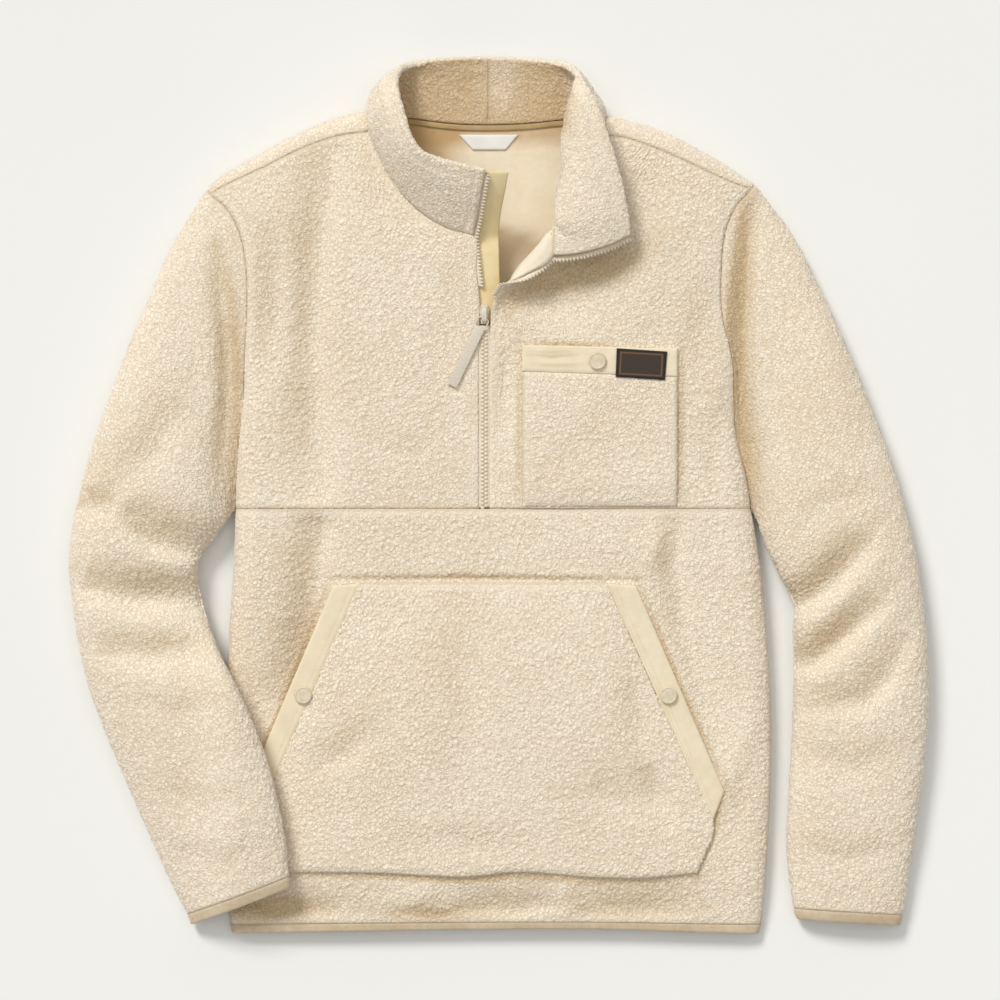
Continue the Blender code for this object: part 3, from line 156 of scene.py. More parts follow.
class Line(Table):
    """A table whose key is the share of its length, found from its first three columns."""

    def __init__(self, columns: str, *rows: Sequence[float]) -> None:
        """Adds the share of the length as the key.

        Args:
            columns: names of the columns, x y z first.
            *rows: numbers in the order of the columns.
        """
        keys = [0.0]
        for one, two in zip(rows, rows[1:]):
            keys.append(keys[-1] + math.dist(one[:3], two[:3]))
        super().__init__("share " + columns, *((key / keys[-1], *row) for key, row in zip(keys, rows)))

    def samples(self, steps: int) -> list[tuple]:
        """Rows at evenly spaced shares, from 0 to 1."""
        return [self.at(k / steps) for k in range(steps + 1)]


def point(row: tuple, name: str = "") -> Vector:
    """The x, y and z of a row, or those of its columns that start with a name."""
    return Vector([getattr(row, name + axis) for axis in "xyz"])


def clamp(value: float, low: float = 0.0, high: float = 1.0) -> float:
    """The value, kept between two others."""
    return min(max(value, low), high)


def leaning(heading: float, lean: float) -> Vector:
    """Unit vector that leans from straight up by lean degrees, towards heading in plan."""
    heading, lean = math.radians(heading), math.radians(lean)
    return Vector((math.sin(lean) * math.cos(heading), math.sin(lean) * math.sin(heading), math.cos(lean)))


def facing(row: tuple) -> Vector:
    """The way that a seam's row faces."""
    return leaning(row.heading, row.lean)


FLEECE = 3.6
HALF = FLEECE / 2
LAY_GAP = 0.35
CHEST_SEAM = -8.0
HEM_SEAM = -390.0
HEM_END = -398.0
NECK_FRONT_STEPS = 6
NECK_BACK_STEPS = 4
ROLL_STEPS = 4
ARMHOLE_STEPS = 14
BACK_ARMHOLE_STEPS = 9
ZIP_STEPS = 8
LEVEL_STEPS = 10
EDGE_STEPS = 16
SHOULDER_RUN = 150.0
LAPEL_FOOT = 7

# One millimetre in plan, away from the light
AWAY = (0.52, -0.85)

# How far across each shoulder, from the armhole to the neck, each column of points lies.
# On the left, the columns from LAPEL_FOOT on belong to the lapel.
ACROSS = {
    Side.RIGHT: (0.0, 0.02, 0.055, 0.11, 0.2, 0.35, 0.55, 0.78, 1.0),
    Side.LEFT: (0.0, 0.02, 0.055, 0.11, 0.2, 0.35, 0.55, 0.8, 0.84, 0.88, 0.92, 0.96, 1.0)
}

# The sides below the armpits: outer edge at right and left, the height of the side seam,
# and how far in from it the panel rounds over before it is level.
SIDES = Table(
    "y right left edge roll",
    (-398, -235, 250.5, 9, 16), (-380, -237, 253.5, 9.5, 17), (-318, -238.5, 258, 11, 19),
    (-238, -239, 261, 12, 21), (-183, -239.5, 260.5, 13, 22), (-110, -236, 256, 13.5, 22),
    (-62, -233, 251.5, 14, 22), (-8, -231, 242.5, 14, 22)
)

# Height of the front's outer face over the surface, at five stations across it
STATIONS = (-200.0, -100.0, 0.0, 105.0, 215.0)
CROWN = Table(
    "y far_right right middle left far_left",
    (-398, 19, 20, 20, 20, 19), (-330, 22, 24, 24.5, 24, 22.5), (-250, 24, 27, 28, 27.5, 25),
    (-150, 27, 31, 32.5, 31.5, 28), (-60, 32, 34.5, 36, 35, 32), (-8, 34, 36.5, 37.5, 37, 34),
    (80, 36.5, 39, 38.5, 39.5, 36.5), (160, 37.5, 40, 39, 41, 37.5), (230, 36.5, 40, 40, 41, 36.5),
    (300, 33, 37.5, 40, 38, 33), (345, 30, 34.5, 38, 35, 30)
)

SEAM = "x y z heading lean"
ARMHOLE_FRONT = {
    Side.RIGHT: Line(
        SEAM,
        (-229.2, -8, 14, 180, 90), (-228.5, 20, 18.5, 180, 50), (-225.5, 61, 23, 180, 28),
        (-221.5, 100, 26, 180, 20), (-221, 128, 28.5, 180, 15), (-219, 164, 30, 180, 12),
        (-218.5, 189, 30.5, 180, 10), (-219.5, 214, 30.3, 180, 10), (-223, 235, 29.5, 160, 14),
        (-230, 255, 28.5, 140, 22), (-242, 271, 26, 125, 35), (-253, 279.5, 22.5, 113, 50)
    ),
    Side.LEFT: Line(
        SEAM,
        (240.7, -8, 14, 0, 90), (236.5, 20, 18.5, 0, 50), (226.5, 61, 23, 0, 28), (225, 100, 26, 0, 20),
        (223.5, 131, 28.5, 0, 15), (217.5, 152, 29.5, 0, 12), (213.5, 175, 30.5, 0, 10),
        (213.5, 204, 30.5, 0, 10), (215.5, 235, 29.5, 15, 12), (221, 256, 28.5, 30, 18),
        (231, 273, 26, 50, 32), (242.5, 285, 22.5, 66, 50)
    )
}
ARMHOLE_BACK = {
    Side.RIGHT: Line(
        SEAM,
        (-247, 268, 1.8, 180, 180), (-236, 245, 1.8, 180, 180), (-229, 200, 1.8, 180, 180),
        (-226, 128, 1.8, 180, 180), (-226, 60, 1.8, 180, 180), (-228, 20, 2.2, 180, 174),
        (-229.2, 2, 6, 180, 130), (-229.2, -8, 14, 180, 90)
    ),
    Side.LEFT: Line(
        SEAM,
        (236, 272, 1.8, 0, 180), (227, 248, 1.8, 0, 180), (220, 200, 1.8, 0, 180), (221, 128, 1.8, 0, 180),
        (228, 60, 1.8, 0, 180), (236, 18, 2.2, 0, 174), (240, 2, 6, 0, 130), (240.7, -8, 14, 0, 90)
    )
}

# Each shoulder from the armhole to the neck: its seam on top, its outline where the back
# panel rounds over, and its foot where that panel leaves the surface.
SHOULDER = {
    Side.RIGHT: Line(
        "x y z outline_x outline_y outline_z foot_x foot_y foot_z",
        (-253, 279.5, 22.5, -255.5, 283, 13.5, -247, 268, 1.8),
        (-238, 287.5, 27, -241, 296, 14, -230, 280, 1.8),
        (-199, 305.5, 30, -204, 316.5, 14.5, -194, 301, 1.8), (-163, 323, 31, -168, 336, 15, -158, 318, 1.8),
        (-123, 335, 31.5, -125, 352.5, 16, -118, 338, 2.2),
        (-104, 336.5, 31.5, -106, 355.5, 17, -93, 352, 3.8)
    ),
    Side.LEFT: Line(
        "x y z outline_x outline_y outline_z foot_x foot_y foot_z",
        (242.5, 285, 22.5, 244, 288, 13.5, 236, 272, 1.8), (231, 287, 26.5, 230.5, 296.5, 14, 221, 281, 1.8),
        (203.5, 298.5, 30, 203, 314, 14.5, 194, 299, 1.8), (165, 316, 31, 164, 334.5, 15, 156, 318, 1.8),
        (128, 329.5, 31.5, 127, 346.5, 16, 120, 334, 2.2), (107, 332.5, 31.5, 107.5, 350.5, 17, 93, 350, 3.8)
    )
}

# The neck seam of each front, from the zip to the shoulder seam
NECK_FRONT = {
    Side.RIGHT: Line(
        "x y z",
        (-12, 241, 38), (-29, 245, 37.5), (-52, 257, 36.5), (-69, 271, 35.5), (-83, 290, 34.5),
        (-96, 314, 33), (-104, 336.5, 31.5)
    ),
    Side.LEFT: Line(
        "x y z",
        (60, 221, 61), (60, 234, 62), (62, 247, 60.5), (69.5, 269, 52.5), (82, 291, 44), (96, 314, 36),
        (107, 332.5, 31.5)
    )
}

# The neck seam across the back, from the right shoulder to the left
NECK_BACK = Line(
    "x y z",
    (-93, 352, 3.8), (-68, 350, 3.8), (-45, 347, 3.8), (-22, 345, 3.8), (1, 344.5, 3.8), (24, 345, 3.8),
    (46, 346.5, 3.8), (69, 349, 3.8), (93, 350, 3.8)
)

ZIP_RIGHT = Line(
    "x y z",
    (-7.3, CHEST_SEAM, 33.5), (-7.3, 36, 35.5), (-7.3, 80, 35.8), (-7.3, 124, 36), (-7.3, 160, 36.2),
    (-6.6, 185, 36.8), (-10, 215, 37.6), (-12, 241, 38)
)

# The left front beside its zip edge, row by row upwards: where it leaves the chest, the
# roll where it turns over, and its edge. Above the slider it is folded open like a lapel.
LAPEL = Table(
    "row foot_x foot_y foot_z roll_x roll_y roll_z x y z",
    (0, 14, CHEST_SEAM, 35.6, 8, CHEST_SEAM, 35.2, 2.5, CHEST_SEAM, 34.5),
    (1, 14, 30, 36.3, 8, 30, 36, 2.5, 30, 35.4), (2, 14, 70, 36.8, 8, 70, 36.5, 2.5, 70, 35.9),
    (3, 15, 110, 37.1, 8, 110, 36.9, 2.5, 110, 36.1), (4, 16, 147, 37.5, 8.5, 147.5, 37.4, 2.8, 148, 36.6),
    (5, 20, 171, 37.4, 9.5, 173.4, 37.8, 5.5, 175, 40.5), (6, 31, 185, 37.5, 19, 190, 41.5, 15, 193.5, 47.5),
    (7, 48, 197, 38.2, 27.5, 207, 49, 33.5, 203.5, 55.5), (8, 66, 214, 41, 47, 231, 61.5, 60, 221, 61),
    (9, 71, 230, 43, 54, 238.5, 62, 60, 234, 62), (10, 77, 243, 42.5, 64, 246, 53, 62, 247, 60.5),
    (11, 89, 265, 41, 75.5, 268, 46.5, 69.5, 269, 52.5), (12, 101, 287, 38.5, 89, 289.5, 40.7, 82, 291, 44),
    (13, 117, 309, 35.4, 104, 312.5, 35.2, 96, 314, 36),
    (14, 131, 327, 31.4, 118, 331.3, 31.5, 107, 332.5, 31.5)
)

# A row for each station along the neck seam, from the zip round to the centre back: the
# way the seam faces, then three points up the collar's middle surface and its top edge.
COLLAR_COLUMNS = "station heading lean ax ay az bx by bz cx cy cz tx ty tz"
COLLAR = {
    Side.RIGHT: Table(
        COLLAR_COLUMNS,
        (0, 270, 14, -8.5, 257, 45, -6, 271, 52.5, -3.5, 285, 59.5, -1, 297.5, 64.5),
        (1, 270, 15, -27, 260, 46.5, -25.5, 274, 55, -24, 288, 62, -23, 302, 67),
        (2, 250, 18, -50.5, 270, 47, -49, 283, 57, -47, 295, 65, -45, 308, 70),
        (3, 225, 22, -68.5, 283, 47, -66.5, 294, 58, -63.5, 305, 67, -60, 314.5, 73),
        (4, 210, 26, -83.5, 300, 46, -80.5, 311, 58, -75.5, 320, 68, -69, 327, 74),
        (5, 195, 30, -96.5, 323, 44, -92, 333, 56.5, -85, 340, 66, -75, 345, 72),
        (6, 180, 34, -105, 343.5, 42, -99.5, 352, 53, -90.5, 359, 61, -80, 363, 66),
        (7, 150, 60, -106.5, 356, 35, -101, 364.5, 44, -92.5, 372.5, 51, -82.5, 377, 55),
        (8, 140, 90, -105.5, 365, 24, -100, 375, 32, -91.5, 382.5, 38, -82, 387, 42),
        (9, 130, 130, -101, 367, 13, -95.5, 379, 19, -87, 388.5, 24, -77.5, 394, 28),
        (10, 110, 165, -91, 365, 6.5, -86, 379, 9.5, -78, 391, 12, -69, 398.5, 16),
        (11, 90, 180, -66.5, 363.5, 4, -63.5, 378, 5, -59, 391.5, 7, -54, 402, 11),
        (12, 90, 180, -44, 361, 3.8, -42.5, 375.5, 4, -40, 390, 5, -38, 403.5, 8.5),
        (13, 90, 180, -21.5, 359.5, 3.8, -21, 374.5, 3.8, -20, 389.5, 4.5, -19, 404.5, 7.5),
        (14, 90, 180, 1, 359, 3.8, 1, 374.5, 3.8, 1, 389.5, 4.5, 1, 404.5, 7.5)
    ),
    Side.LEFT: Table(
        COLLAR_COLUMNS,
        (0, 320, 174, 77, 222.5, 62.5, 94, 226, 63.5, 112, 232, 62, 128, 240, 58.5),
        (1, 320, 165, 76, 237, 65.5, 95, 240, 67, 112, 244.5, 65.5, 127, 251, 61),
        (2, 335, 100, 67, 250, 67.5, 86, 254, 70.5, 107, 259, 69, 125, 264, 63),
        (3, 350, 56, 65, 271, 61, 78, 274, 69.5, 101, 278, 70.5, 121, 284, 65),
        (4, 350, 38, 70, 292, 54.5, 75, 295.5, 67, 95, 300, 71, 115, 306, 66.5),
        (5, 355, 30, 79, 314.5, 46.5, 70.5, 317, 60, 86, 322, 69.5, 108, 329, 66.5),
        (6, 0, 34, 89, 335.5, 42.5, 73, 341, 55.5, 82, 347, 66, 101, 351, 63),
        (7, 30, 60, 96, 350.5, 37, 78.5, 357, 49.5, 80.5, 363, 59.5, 95.5, 364.5, 59),
        (8, 40, 90, 102, 361.5, 27, 88, 370, 39.5, 81, 376.5, 48.5, 88, 378, 52),
        (9, 50, 130, 100, 366, 15.5, 92, 377, 26, 85, 385.5, 34, 82, 388.5, 38),
        (10, 70, 165, 91, 365, 7, 87, 379, 11.5, 80.5, 390, 16, 72.5, 397, 21),
        (11, 90, 180, 67, 363, 4.2, 64.5, 377.5, 6, 60.5, 391, 8.5, 55, 401.5, 12.5),
        (12, 90, 180, 45, 361, 3.8, 44, 375.5, 4.3, 42, 390, 5.5, 40, 402.5, 9),
        (13, 90, 180, 23, 359.5, 3.8, 22.5, 374.5, 3.8, 22, 389.5, 4.5, 21, 404, 7.5),
        (14, 90, 180, 1, 359, 3.8, 1, 374.5, 3.8, 1, 389.5, 4.5, 1, 404.5, 7.5)
    )
}

# A row for each section from below the armhole to the cuff: the outer edge, the inner
# edge and the height of the tube. The last row is the end of the cuff's binding.
SLEEVE_COLUMNS = "at outer_x outer_y inner_x inner_y height"
SLEEVE = {
    Side.RIGHT: Table(
        SLEEVE_COLUMNS,
        (1, -286, 235, -239, -19, 36), (2, -321, 156, -248, -32, 42), (3, -354, 69, -256, -43, 45),
        (4, -373, 4, -262, -52, 46), (5, -382, -50, -265, -61, 46), (6, -380, -85, -264, -76, 45),
        (7, -374, -128, -258, -102, 44), (8, -363, -175, -243, -140, 42), (9, -347, -218, -222, -180, 40),
        (10, -328, -263, -204, -224, 37), (11, -308, -309, -192, -266, 34), (12, -291, -347, -184, -306, 29),
        (13, -275, -380, -180, -342.5, 24), (14, -272.5, -388.5, -179, -351.5, 22)
    ),
    Side.LEFT: Table(
        SLEEVE_COLUMNS,
        (1, 279, 243, 248.5, -19, 36), (2, 319, 162, 256, -42, 42), (3, 350, 88, 264, -60, 45),
        (4, 372, 28, 271, -75, 46), (5, 389, -33, 278, -88, 46), (6, 397, -78, 282, -100, 45),
        (7, 402, -118, 280, -118, 44), (8, 404, -160, 281, -142, 43), (9, 404, -200, 280.5, -180, 41),
        (10, 400, -245, 279, -225, 38), (11, 394, -292, 276, -275, 35), (12, 388, -335, 275, -320, 30),
        (13, 381.5, -380, 281, -374, 24), (14, 380, -389, 284, -383, 22)
    )
}

POCKET = Table(
    "y left right",
    (-345, -195, 190.5), (-325, -203.5, 199), (-305, -210.5, 206), (-294, -210, 205.5), (-240, -186.5, 182),
    (-160, -151.5, 145), (-75, -114.5, 108)
)

# The hem's gentle wave and the drop of the front towards it, and the wave of the pocket's foot
HEM_WAVE_TOP = -345.0
HEM_DROP = 3.5
HEM_WAVE = Table("x rise", (-240, 2), (-160, 3.2), (-40, 5.2), (60, 6.0), (120, 5.4), (200, 2.6), (250, 1.4))
POCKET_WAVE = Table(
    "x rise",
    (-215, 4), (-170, 4.5), (-100, 4), (-20, 0.5), (30, 5), (100, 0), (150, -0.5), (190, 4), (215, 4)
)

# ------ the body's own form


def front_height(x: float, y: float) -> float:
    """Height of the front's middle surface, away from its rounded sides."""
    heights = CROWN.at(y)[1:]
    return Table("x height", *zip(STATIONS, heights)).at(clamp(x, STATIONS[0], STATIONS[-1])).height - HALF


def rounding(distance: float, roll: float) -> float:
    """How much of a rounded side's height is gained this far in from its seam."""
    short = 1 - clamp(distance / roll)
    return math.sqrt(1 - short * short)


def side_point(y: float, wearer_right: bool) -> Vector:
    """Point of a side seam at y.

    Args:
        y: place up the body.
        wearer_right: whether it is the right seam.

    Returns:
        The point.
    """
    side = SIDES.at(y)
    x = side.right + HALF if wearer_right else side.left - HALF
    return Vector((x, y, side.edge))


def body_point(x: float, y: float, front: bool) -> Vector:
    """Point of the body tube's middle surface, on its front or its back.

    Args:
        x: place across the body.
        y: place up the body.
        front: whether it is the front.

    Returns:
        The point.
    """
    side = SIDES.at(y)
    inward = min(x - (side.right + HALF), side.left - HALF - x)
    level = front_height(x, y) if front else HALF
    return Vector((x, y, side.edge + (level - side.edge) * rounding(inward, side.roll)))


def hem_point(x: float, y: float, front: bool) -> Vector:
    """Point of the body tube, moved with the hem's gentle wave; the front slopes down to the hem.

    Args:
        x: place across the body.
        y: place up the body.
        front: whether it is the front.

    Returns:
        The point.
    """
    low = clamp((HEM_WAVE_TOP - y) / (HEM_WAVE_TOP - HEM_END))
    place = body_point(x, y, front)
    place.y += HEM_WAVE.at(clamp(x, -240.0, 250.0)).rise * low**4
    if front:
        place.z -= HEM_DROP * low * low * (3 - 2 * low) * (place.z / 18)
    return place


def columns_across(y: float, steps_between: int, left: Side = Side.RIGHT) -> list[float]:
    """X of each column of the body tube at y: close together on the rounded sides.

    Args:
        y: place along the body.
        steps_between: steps over the level middle.
        left: the side whose shoulder shares the left columns follow.

    Returns:
        X of every column, from the wearer's right.
    """
    right_x, left_x = side_point(y, True).x, side_point(y, False).x
    near_right = [right_x + share * SHOULDER_RUN for share in ACROSS[Side.RIGHT]]
    near_left = [left_x - share * SHOULDER_RUN for share in reversed(ACROSS[left])]
    step = (near_left[0] - near_right[-1]) / steps_between
    return near_right + [near_right[-1] + step * k for k in range(1, steps_between)] + near_left


def shares(points: Sequence[Vector]) -> list[float]:
    """Share of its length at which each point of a list lies.

    Args:
        points: the points, in order.

    Returns:
        A share from 0 to 1 for each.
    """
    lengths = [0.0]
    for one, two in zip(points, points[1:]):
        lengths.append(lengths[-1] + (two - one).length)
    return [length / lengths[-1] for length in lengths]


def patch(
    bottom: Sequence[Vector], top: Sequence[Vector], left: Sequence[Vector], right: Sequence[Vector]
) -> list[list[Vector]]:
    """Grid between four lists of points: straight across but for the lists' own bends.

    Args:
        bottom: points of the first row.
        top: points of the last row.
        left: points of the first column.
        right: points of the last column.

    Returns:
        Rows of points.
    """
    u_of, v_of = shares(bottom), shares(left)
    grid = []
    for i, v in enumerate(v_of):
        row = []
        for j, u in enumerate(u_of):
            place = bottom[j] * (1 - v) + top[j] * v + left[i] * (1 - u) + right[i] * u
            for line, share in ((bottom, 1 - v), (top, v)):
                place = place - line[0] * ((1 - u) * share) - line[-1] * (u * share)
            row.append(place)
        grid.append(row)
    return grid


def smooth_path(path: Sequence[Vector], steps: int, lead: Vector | None = None) -> list[Vector]:
    """Points spaced evenly along a smooth curve through the path's own points.

    Args:
        path: points to pass through.
        steps: number of steps.
        lead: point before the first, where the curve has to start another way.

    Returns:
        The points, both ends too.
    """
    ends = [lead or path[0] * 2 - path[1], *path, path[-1] * 2 - path[-2]]
    points = []
    for k in range(steps + 1):
        t = (len(path) - 1) * k / steps
        i = min(int(t), len(path) - 2)
        before, start, end, after = ends[i : i + 4]
        points.append(hermite(t - i, start, end, (end - before) / 2, (after - start) / 2))
    return points


def side_facings(rows: int, last: int) -> dict[Key, Vector]:
    """Facings straight out to the sides along the first column and the last, for so many rows."""
    return {(i, j): Vector((way, 0, 0)) for i in range(rows) for j, way in ((0, -1), (last, 1))}


def shoulder_rows(side: Side) -> list[tuple]:
    """Row of the shoulder's table under each column, from the armhole to the neck."""
    return [SHOULDER[side].at(share) for share in ACROSS[side]]


def shoulder_roll(row: tuple) -> list[Vector]:
    """The back panel's round over a shoulder, from its foot by its outline to the seam.

    Args:
        row: a row of the shoulder's table.

    Returns:
        Its points.
    """
    foot = point(row, "foot_")
    outline = point(row, "outline_")
    seam = point(row)
    points = []
    for k in range(ROLL_STEPS + 1):
        turn = math.pi * k / ROLL_STEPS
        low = turn <= math.pi / 2
        angle = turn if low else turn - math.pi / 2
        start, end = (foot, outline) if low else (outline, seam)
        slow, quick = 1 - math.cos(angle), math.sin(angle)
        run, rise = (quick, slow) if low else (slow, quick)
        step = end - start
        points.append(start + Vector((step.x * run, step.y * run, step.z * rise)))
    return points


def shoulder_facing(row: tuple) -> Vector:
    """The way that the shoulder seam faces."""
    out = Vector((row.outline_x - row.x, row.outline_y - row.y, 0)).normalized()
    return leaning(math.degrees(math.atan2(out.y, out.x)), 16)


def neck_ring(side: Side) -> list[tuple[Vector, Vector]]:
    """The neck seam of one half, from the zip to the centre back: points and facings.

    Args:
        side: half of the seam.

    Returns:
        A point and its facing for each station.
    """
    front = [point(row) for row in NECK_FRONT[side].samples(NECK_FRONT_STEPS)]
    over = list(reversed(shoulder_roll(SHOULDER[side].at(1.0))))
    across = [point(row) for row in NECK_BACK.samples(2 * NECK_BACK_STEPS)]
    if side is Side.LEFT:
        across.reverse()
    points = front + over[1:] + across[1 : NECK_BACK_STEPS + 1]
    return [(p, facing(COLLAR[side].at(k))) for k, p in enumerate(points)]


def armhole_ring(side: Side) -> list[tuple[Vector, Vector]]:
    """The armhole from the armpit up the front, over the shoulder and down the back.

    Args:
        side: side of the garment.

    Returns:
        A point and its facing for each station.
    """
    front = ARMHOLE_FRONT[side].samples(ARMHOLE_STEPS)
    back = ARMHOLE_BACK[side].samples(BACK_ARMHOLE_STEPS)
    over = list(reversed(shoulder_roll(SHOULDER[side].at(0.0))))
    ring = [(point(row), facing(row)) for row in front]
    tip = front[-1]
    for k, place in enumerate(over[1:-1], start=1):
        ring.append((place, leaning(tip.heading, tip.lean + (180 - tip.lean) * k / ROLL_STEPS)))
    ring += [(point(row), facing(row)) for row in back[:-1]]
    return ring


def zip_right_edge() -> list[Vector]:
    """The right front's zip edge and the collar's above it, from the chest seam up."""
    return [point(row) for row in ZIP_RIGHT.samples(EDGE_STEPS)] + collar_grid(Side.RIGHT)[0][1:]


def collar_grid(side: Side, inset: float = 0.44, steps: int = EDGE_STEPS) -> list[list[Vector]]:
    """Middle surface of half of the collar: a row for each station along the neck seam.

    Args:
        side: half of the collar.
        inset: how far the centre back stands off from the other half.
        steps: steps from the seam to the top edge.

    Returns:
        Rows of points.
    """
    grid = []
    for k, (seam, _) in enumerate(neck_ring(side)):
        row = COLLAR[side].at(k)
        grid.append(smooth_path([seam, *(point(row, name) for name in "abct")], steps))
    reach = Vector((inset if side is Side.RIGHT else -inset, 0, 0))
    grid[-1] = [p + reach for p in grid[-1]]
    return grid


# ------ smoothing a grid


def chords(points: np.ndarray, wrap: bool) -> np.ndarray:
    """Length of each step along the first axis, never nought."""
    length = np.linalg.norm(np.roll(points, -1, axis=0) - points, axis=-1)
    return np.maximum(length if wrap else length[:-1], 1e-6)


def curve_through(points: np.ndarray, cuts: Sequence[int], wrap: bool = False) -> np.ndarray:
    """Smooth curves through points along the first axis, spaced by their chords.

    Args:
        points: array whose last axis is x, y and z, with NaN where there is no point.
        cuts: number of steps to make of each step.
        wrap: whether the last point leads on to the first.

    Returns:
        The finer array. It holds the given points too, and without wrap both ends.
    """
    span = chords(points, wrap)[..., None]
    start, end = (p if wrap else p[:-1] for p in (points, np.roll(points, -1, axis=0)))
    leans = []
    for shift, one, two in ((1, start, end), (-1, end, start)):
        beyond, reach = np.roll(one, shift, axis=0), np.roll(span, shift, axis=0)
        if not wrap:
            beyond[min(shift, 0)] = np.nan
        missing = np.isnan(beyond[..., :1])
        beyond, reach = np.where(missing, 2 * one - two, beyond), np.where(missing, span, reach)
        inner, outer = (end - start) / span, (one - beyond) * shift / reach
        leans.append((inner * reach + outer * span) / (reach + span) * span)
    fine = []
    for steps, *ends in zip(cuts, start, end, *leans):
        fine += [ends[0], *(hermite(step / steps, *ends) for step in range(1, steps))]
    return np.stack(fine if wrap else [*fine, points[-1]])


def straight_through(values: np.ndarray, cuts: Sequence[int], wrap: bool = False) -> np.ndarray:
    """As curve_through, but each step is shared out in a straight line.

    Args:
        values: array to refine.
        cuts: number of steps to make of each step.
        wrap: whether the last value leads on to the first.

    Returns:
        The finer array.
    """
    fine = []
    for steps, start, end in zip(cuts, values, np.roll(values, -1, axis=0)):
        fine += [start + (end - start) * (step / steps) for step in range(steps)]
    return np.stack(fine if wrap else [*fine, values[-1]])


def from_edge(values: np.ndarray, edge: Edge) -> np.ndarray:
    """View of a grid's values in which an edge is the first row."""
    turned = values.swapaxes(0, 1) if "COLUMN" in edge.name else values
    return turned[::-1] if "LAST" in edge.name else turned


def distances(middle: np.ndarray) -> dict[Edge, np.ndarray]:
    """For each edge, every grid place's distance from it.

    Args:
        middle: the grid's points.

    Returns:
        The distances, by edge.
    """
    found = {edge: np.empty(middle.shape[:2]) for edge in Edge}
    for edge, distance in found.items():
        from_edge(distance, edge)[:] = run_distance(from_edge(middle, edge))
    return found


def run_distance(points: np.ndarray) -> np.ndarray:
    """Distance along the first axis from the start of each unbroken run of points.

    Args:
        points: array whose last axis is x, y and z.

    Returns:
        The distances.
    """
    distance = np.zeros(points.shape[:-1])
    for k in range(1, len(points)):
        step = np.linalg.norm(points[k] - points[k - 1], axis=-1)
        distance[k] = np.where(np.isnan(step), 0.0, distance[k - 1] + np.nan_to_num(step))
    return distance


def slopes(points: np.ndarray, wrap: bool) -> np.ndarray:
    """Direction of each point's run along the first axis, one-sided at its ends.

    Args:
        points: array whose last axis is x, y and z.
        wrap: whether the last point leads on to the first.

    Returns:
        The directions, not of length one.
    """
    ahead = np.roll(points, -1, axis=0) - points
    behind = points - np.roll(points, 1, axis=0)
    if not wrap:
        ahead[-1] = np.nan
        behind[0] = np.nan
    ahead = np.where(np.isnan(ahead), behind, ahead)
    behind = np.where(np.isnan(behind), ahead, behind)
    return ahead + behind


def unit(vectors: np.ndarray) -> np.ndarray:
    """Vectors of length one in the same directions."""
    return vectors / np.maximum(np.linalg.norm(vectors, axis=-1, keepdims=True), 1e-9)


# ------ a cloth panel


def bell(distance: np.ndarray, width: float | np.ndarray) -> np.ndarray:
    """1 at no distance, fading smoothly to nought over about twice the width."""
    return np.exp(-((distance / width) ** 2))


def eased(place: np.ndarray, start: float, end: float) -> np.ndarray:
    """0 up to start, 1 from end on and straight between; the end may be the lower of the two."""
    return np.clip((place - start) / (end - start), 0, 1)


@dataclass(frozen=True)
class Groove:
    """Pressed line beside an edge of a panel, stitched from one share of it to another or not at all."""

    edge: Edge
    offset: float
    depth: float
    width: float
    stitched: tuple[float, float] | None = (0.0, 1.0)


@dataclass(frozen=True)
class Crease:
    """Soft fold along a line of points in plan: a width left of its way and one right of it."""

    BLUNT_END = 0.05
    FADE_POWER = 0.8

    path: tuple[tuple[float, float], ...]
    height: float
    left: float
    right: float = 0.0

    def lift(self, x: np.ndarray, y: np.ndarray) -> np.ndarray:
        """How far the fold raises each place, in millimetres; it fades at its ends.

        Args:
            x: places across.
            y: places up.

        Returns:
            The rise at each place.
        """
        places = np.stack([x, y], axis=-1)
        path = np.array(self.path, float)
        nearest, along, width, done = np.full(x.shape, np.inf), np.zeros(x.shape), self.left, 0.0
        for start, step in zip(path, np.diff(path, axis=0)):
            length = np.linalg.norm(step)
            t = np.clip(((places - start) @ step) / length**2, 0, 1)
            offset = places - start - t[..., None] * step
            away = np.linalg.norm(offset, axis=-1)
            turn = step[0] * offset[..., 1] - step[1] * offset[..., 0]
            closer = away < nearest
            width = np.where(closer, np.where(turn >= 0, self.left, self.right or self.left), width)
            along = np.where(closer, done + t * length, along)
            nearest = np.where(closer, away, nearest)
            done += length
        share = along / done * (1 - 2 * self.BLUNT_END) + self.BLUNT_END
        fade = np.sin(np.pi * np.clip(share, 0, 1)) ** self.FADE_POWER
        return self.height * fade * bell(nearest, width)


def creases(*rows: tuple) -> tuple[Crease, ...]:
    """Creases, each from its height, its widths and then its points in plan."""
    return tuple(Crease(row[3:], *row[:3]) for row in rows)


@dataclass(frozen=True)
class Cut:
    """Size that a cloth piece is cut to, in metres, and its area where it isn't a rectangle."""

    width: float
    length: float
    area: float | None = None
    rests_on: tuple[str, ...] = ()


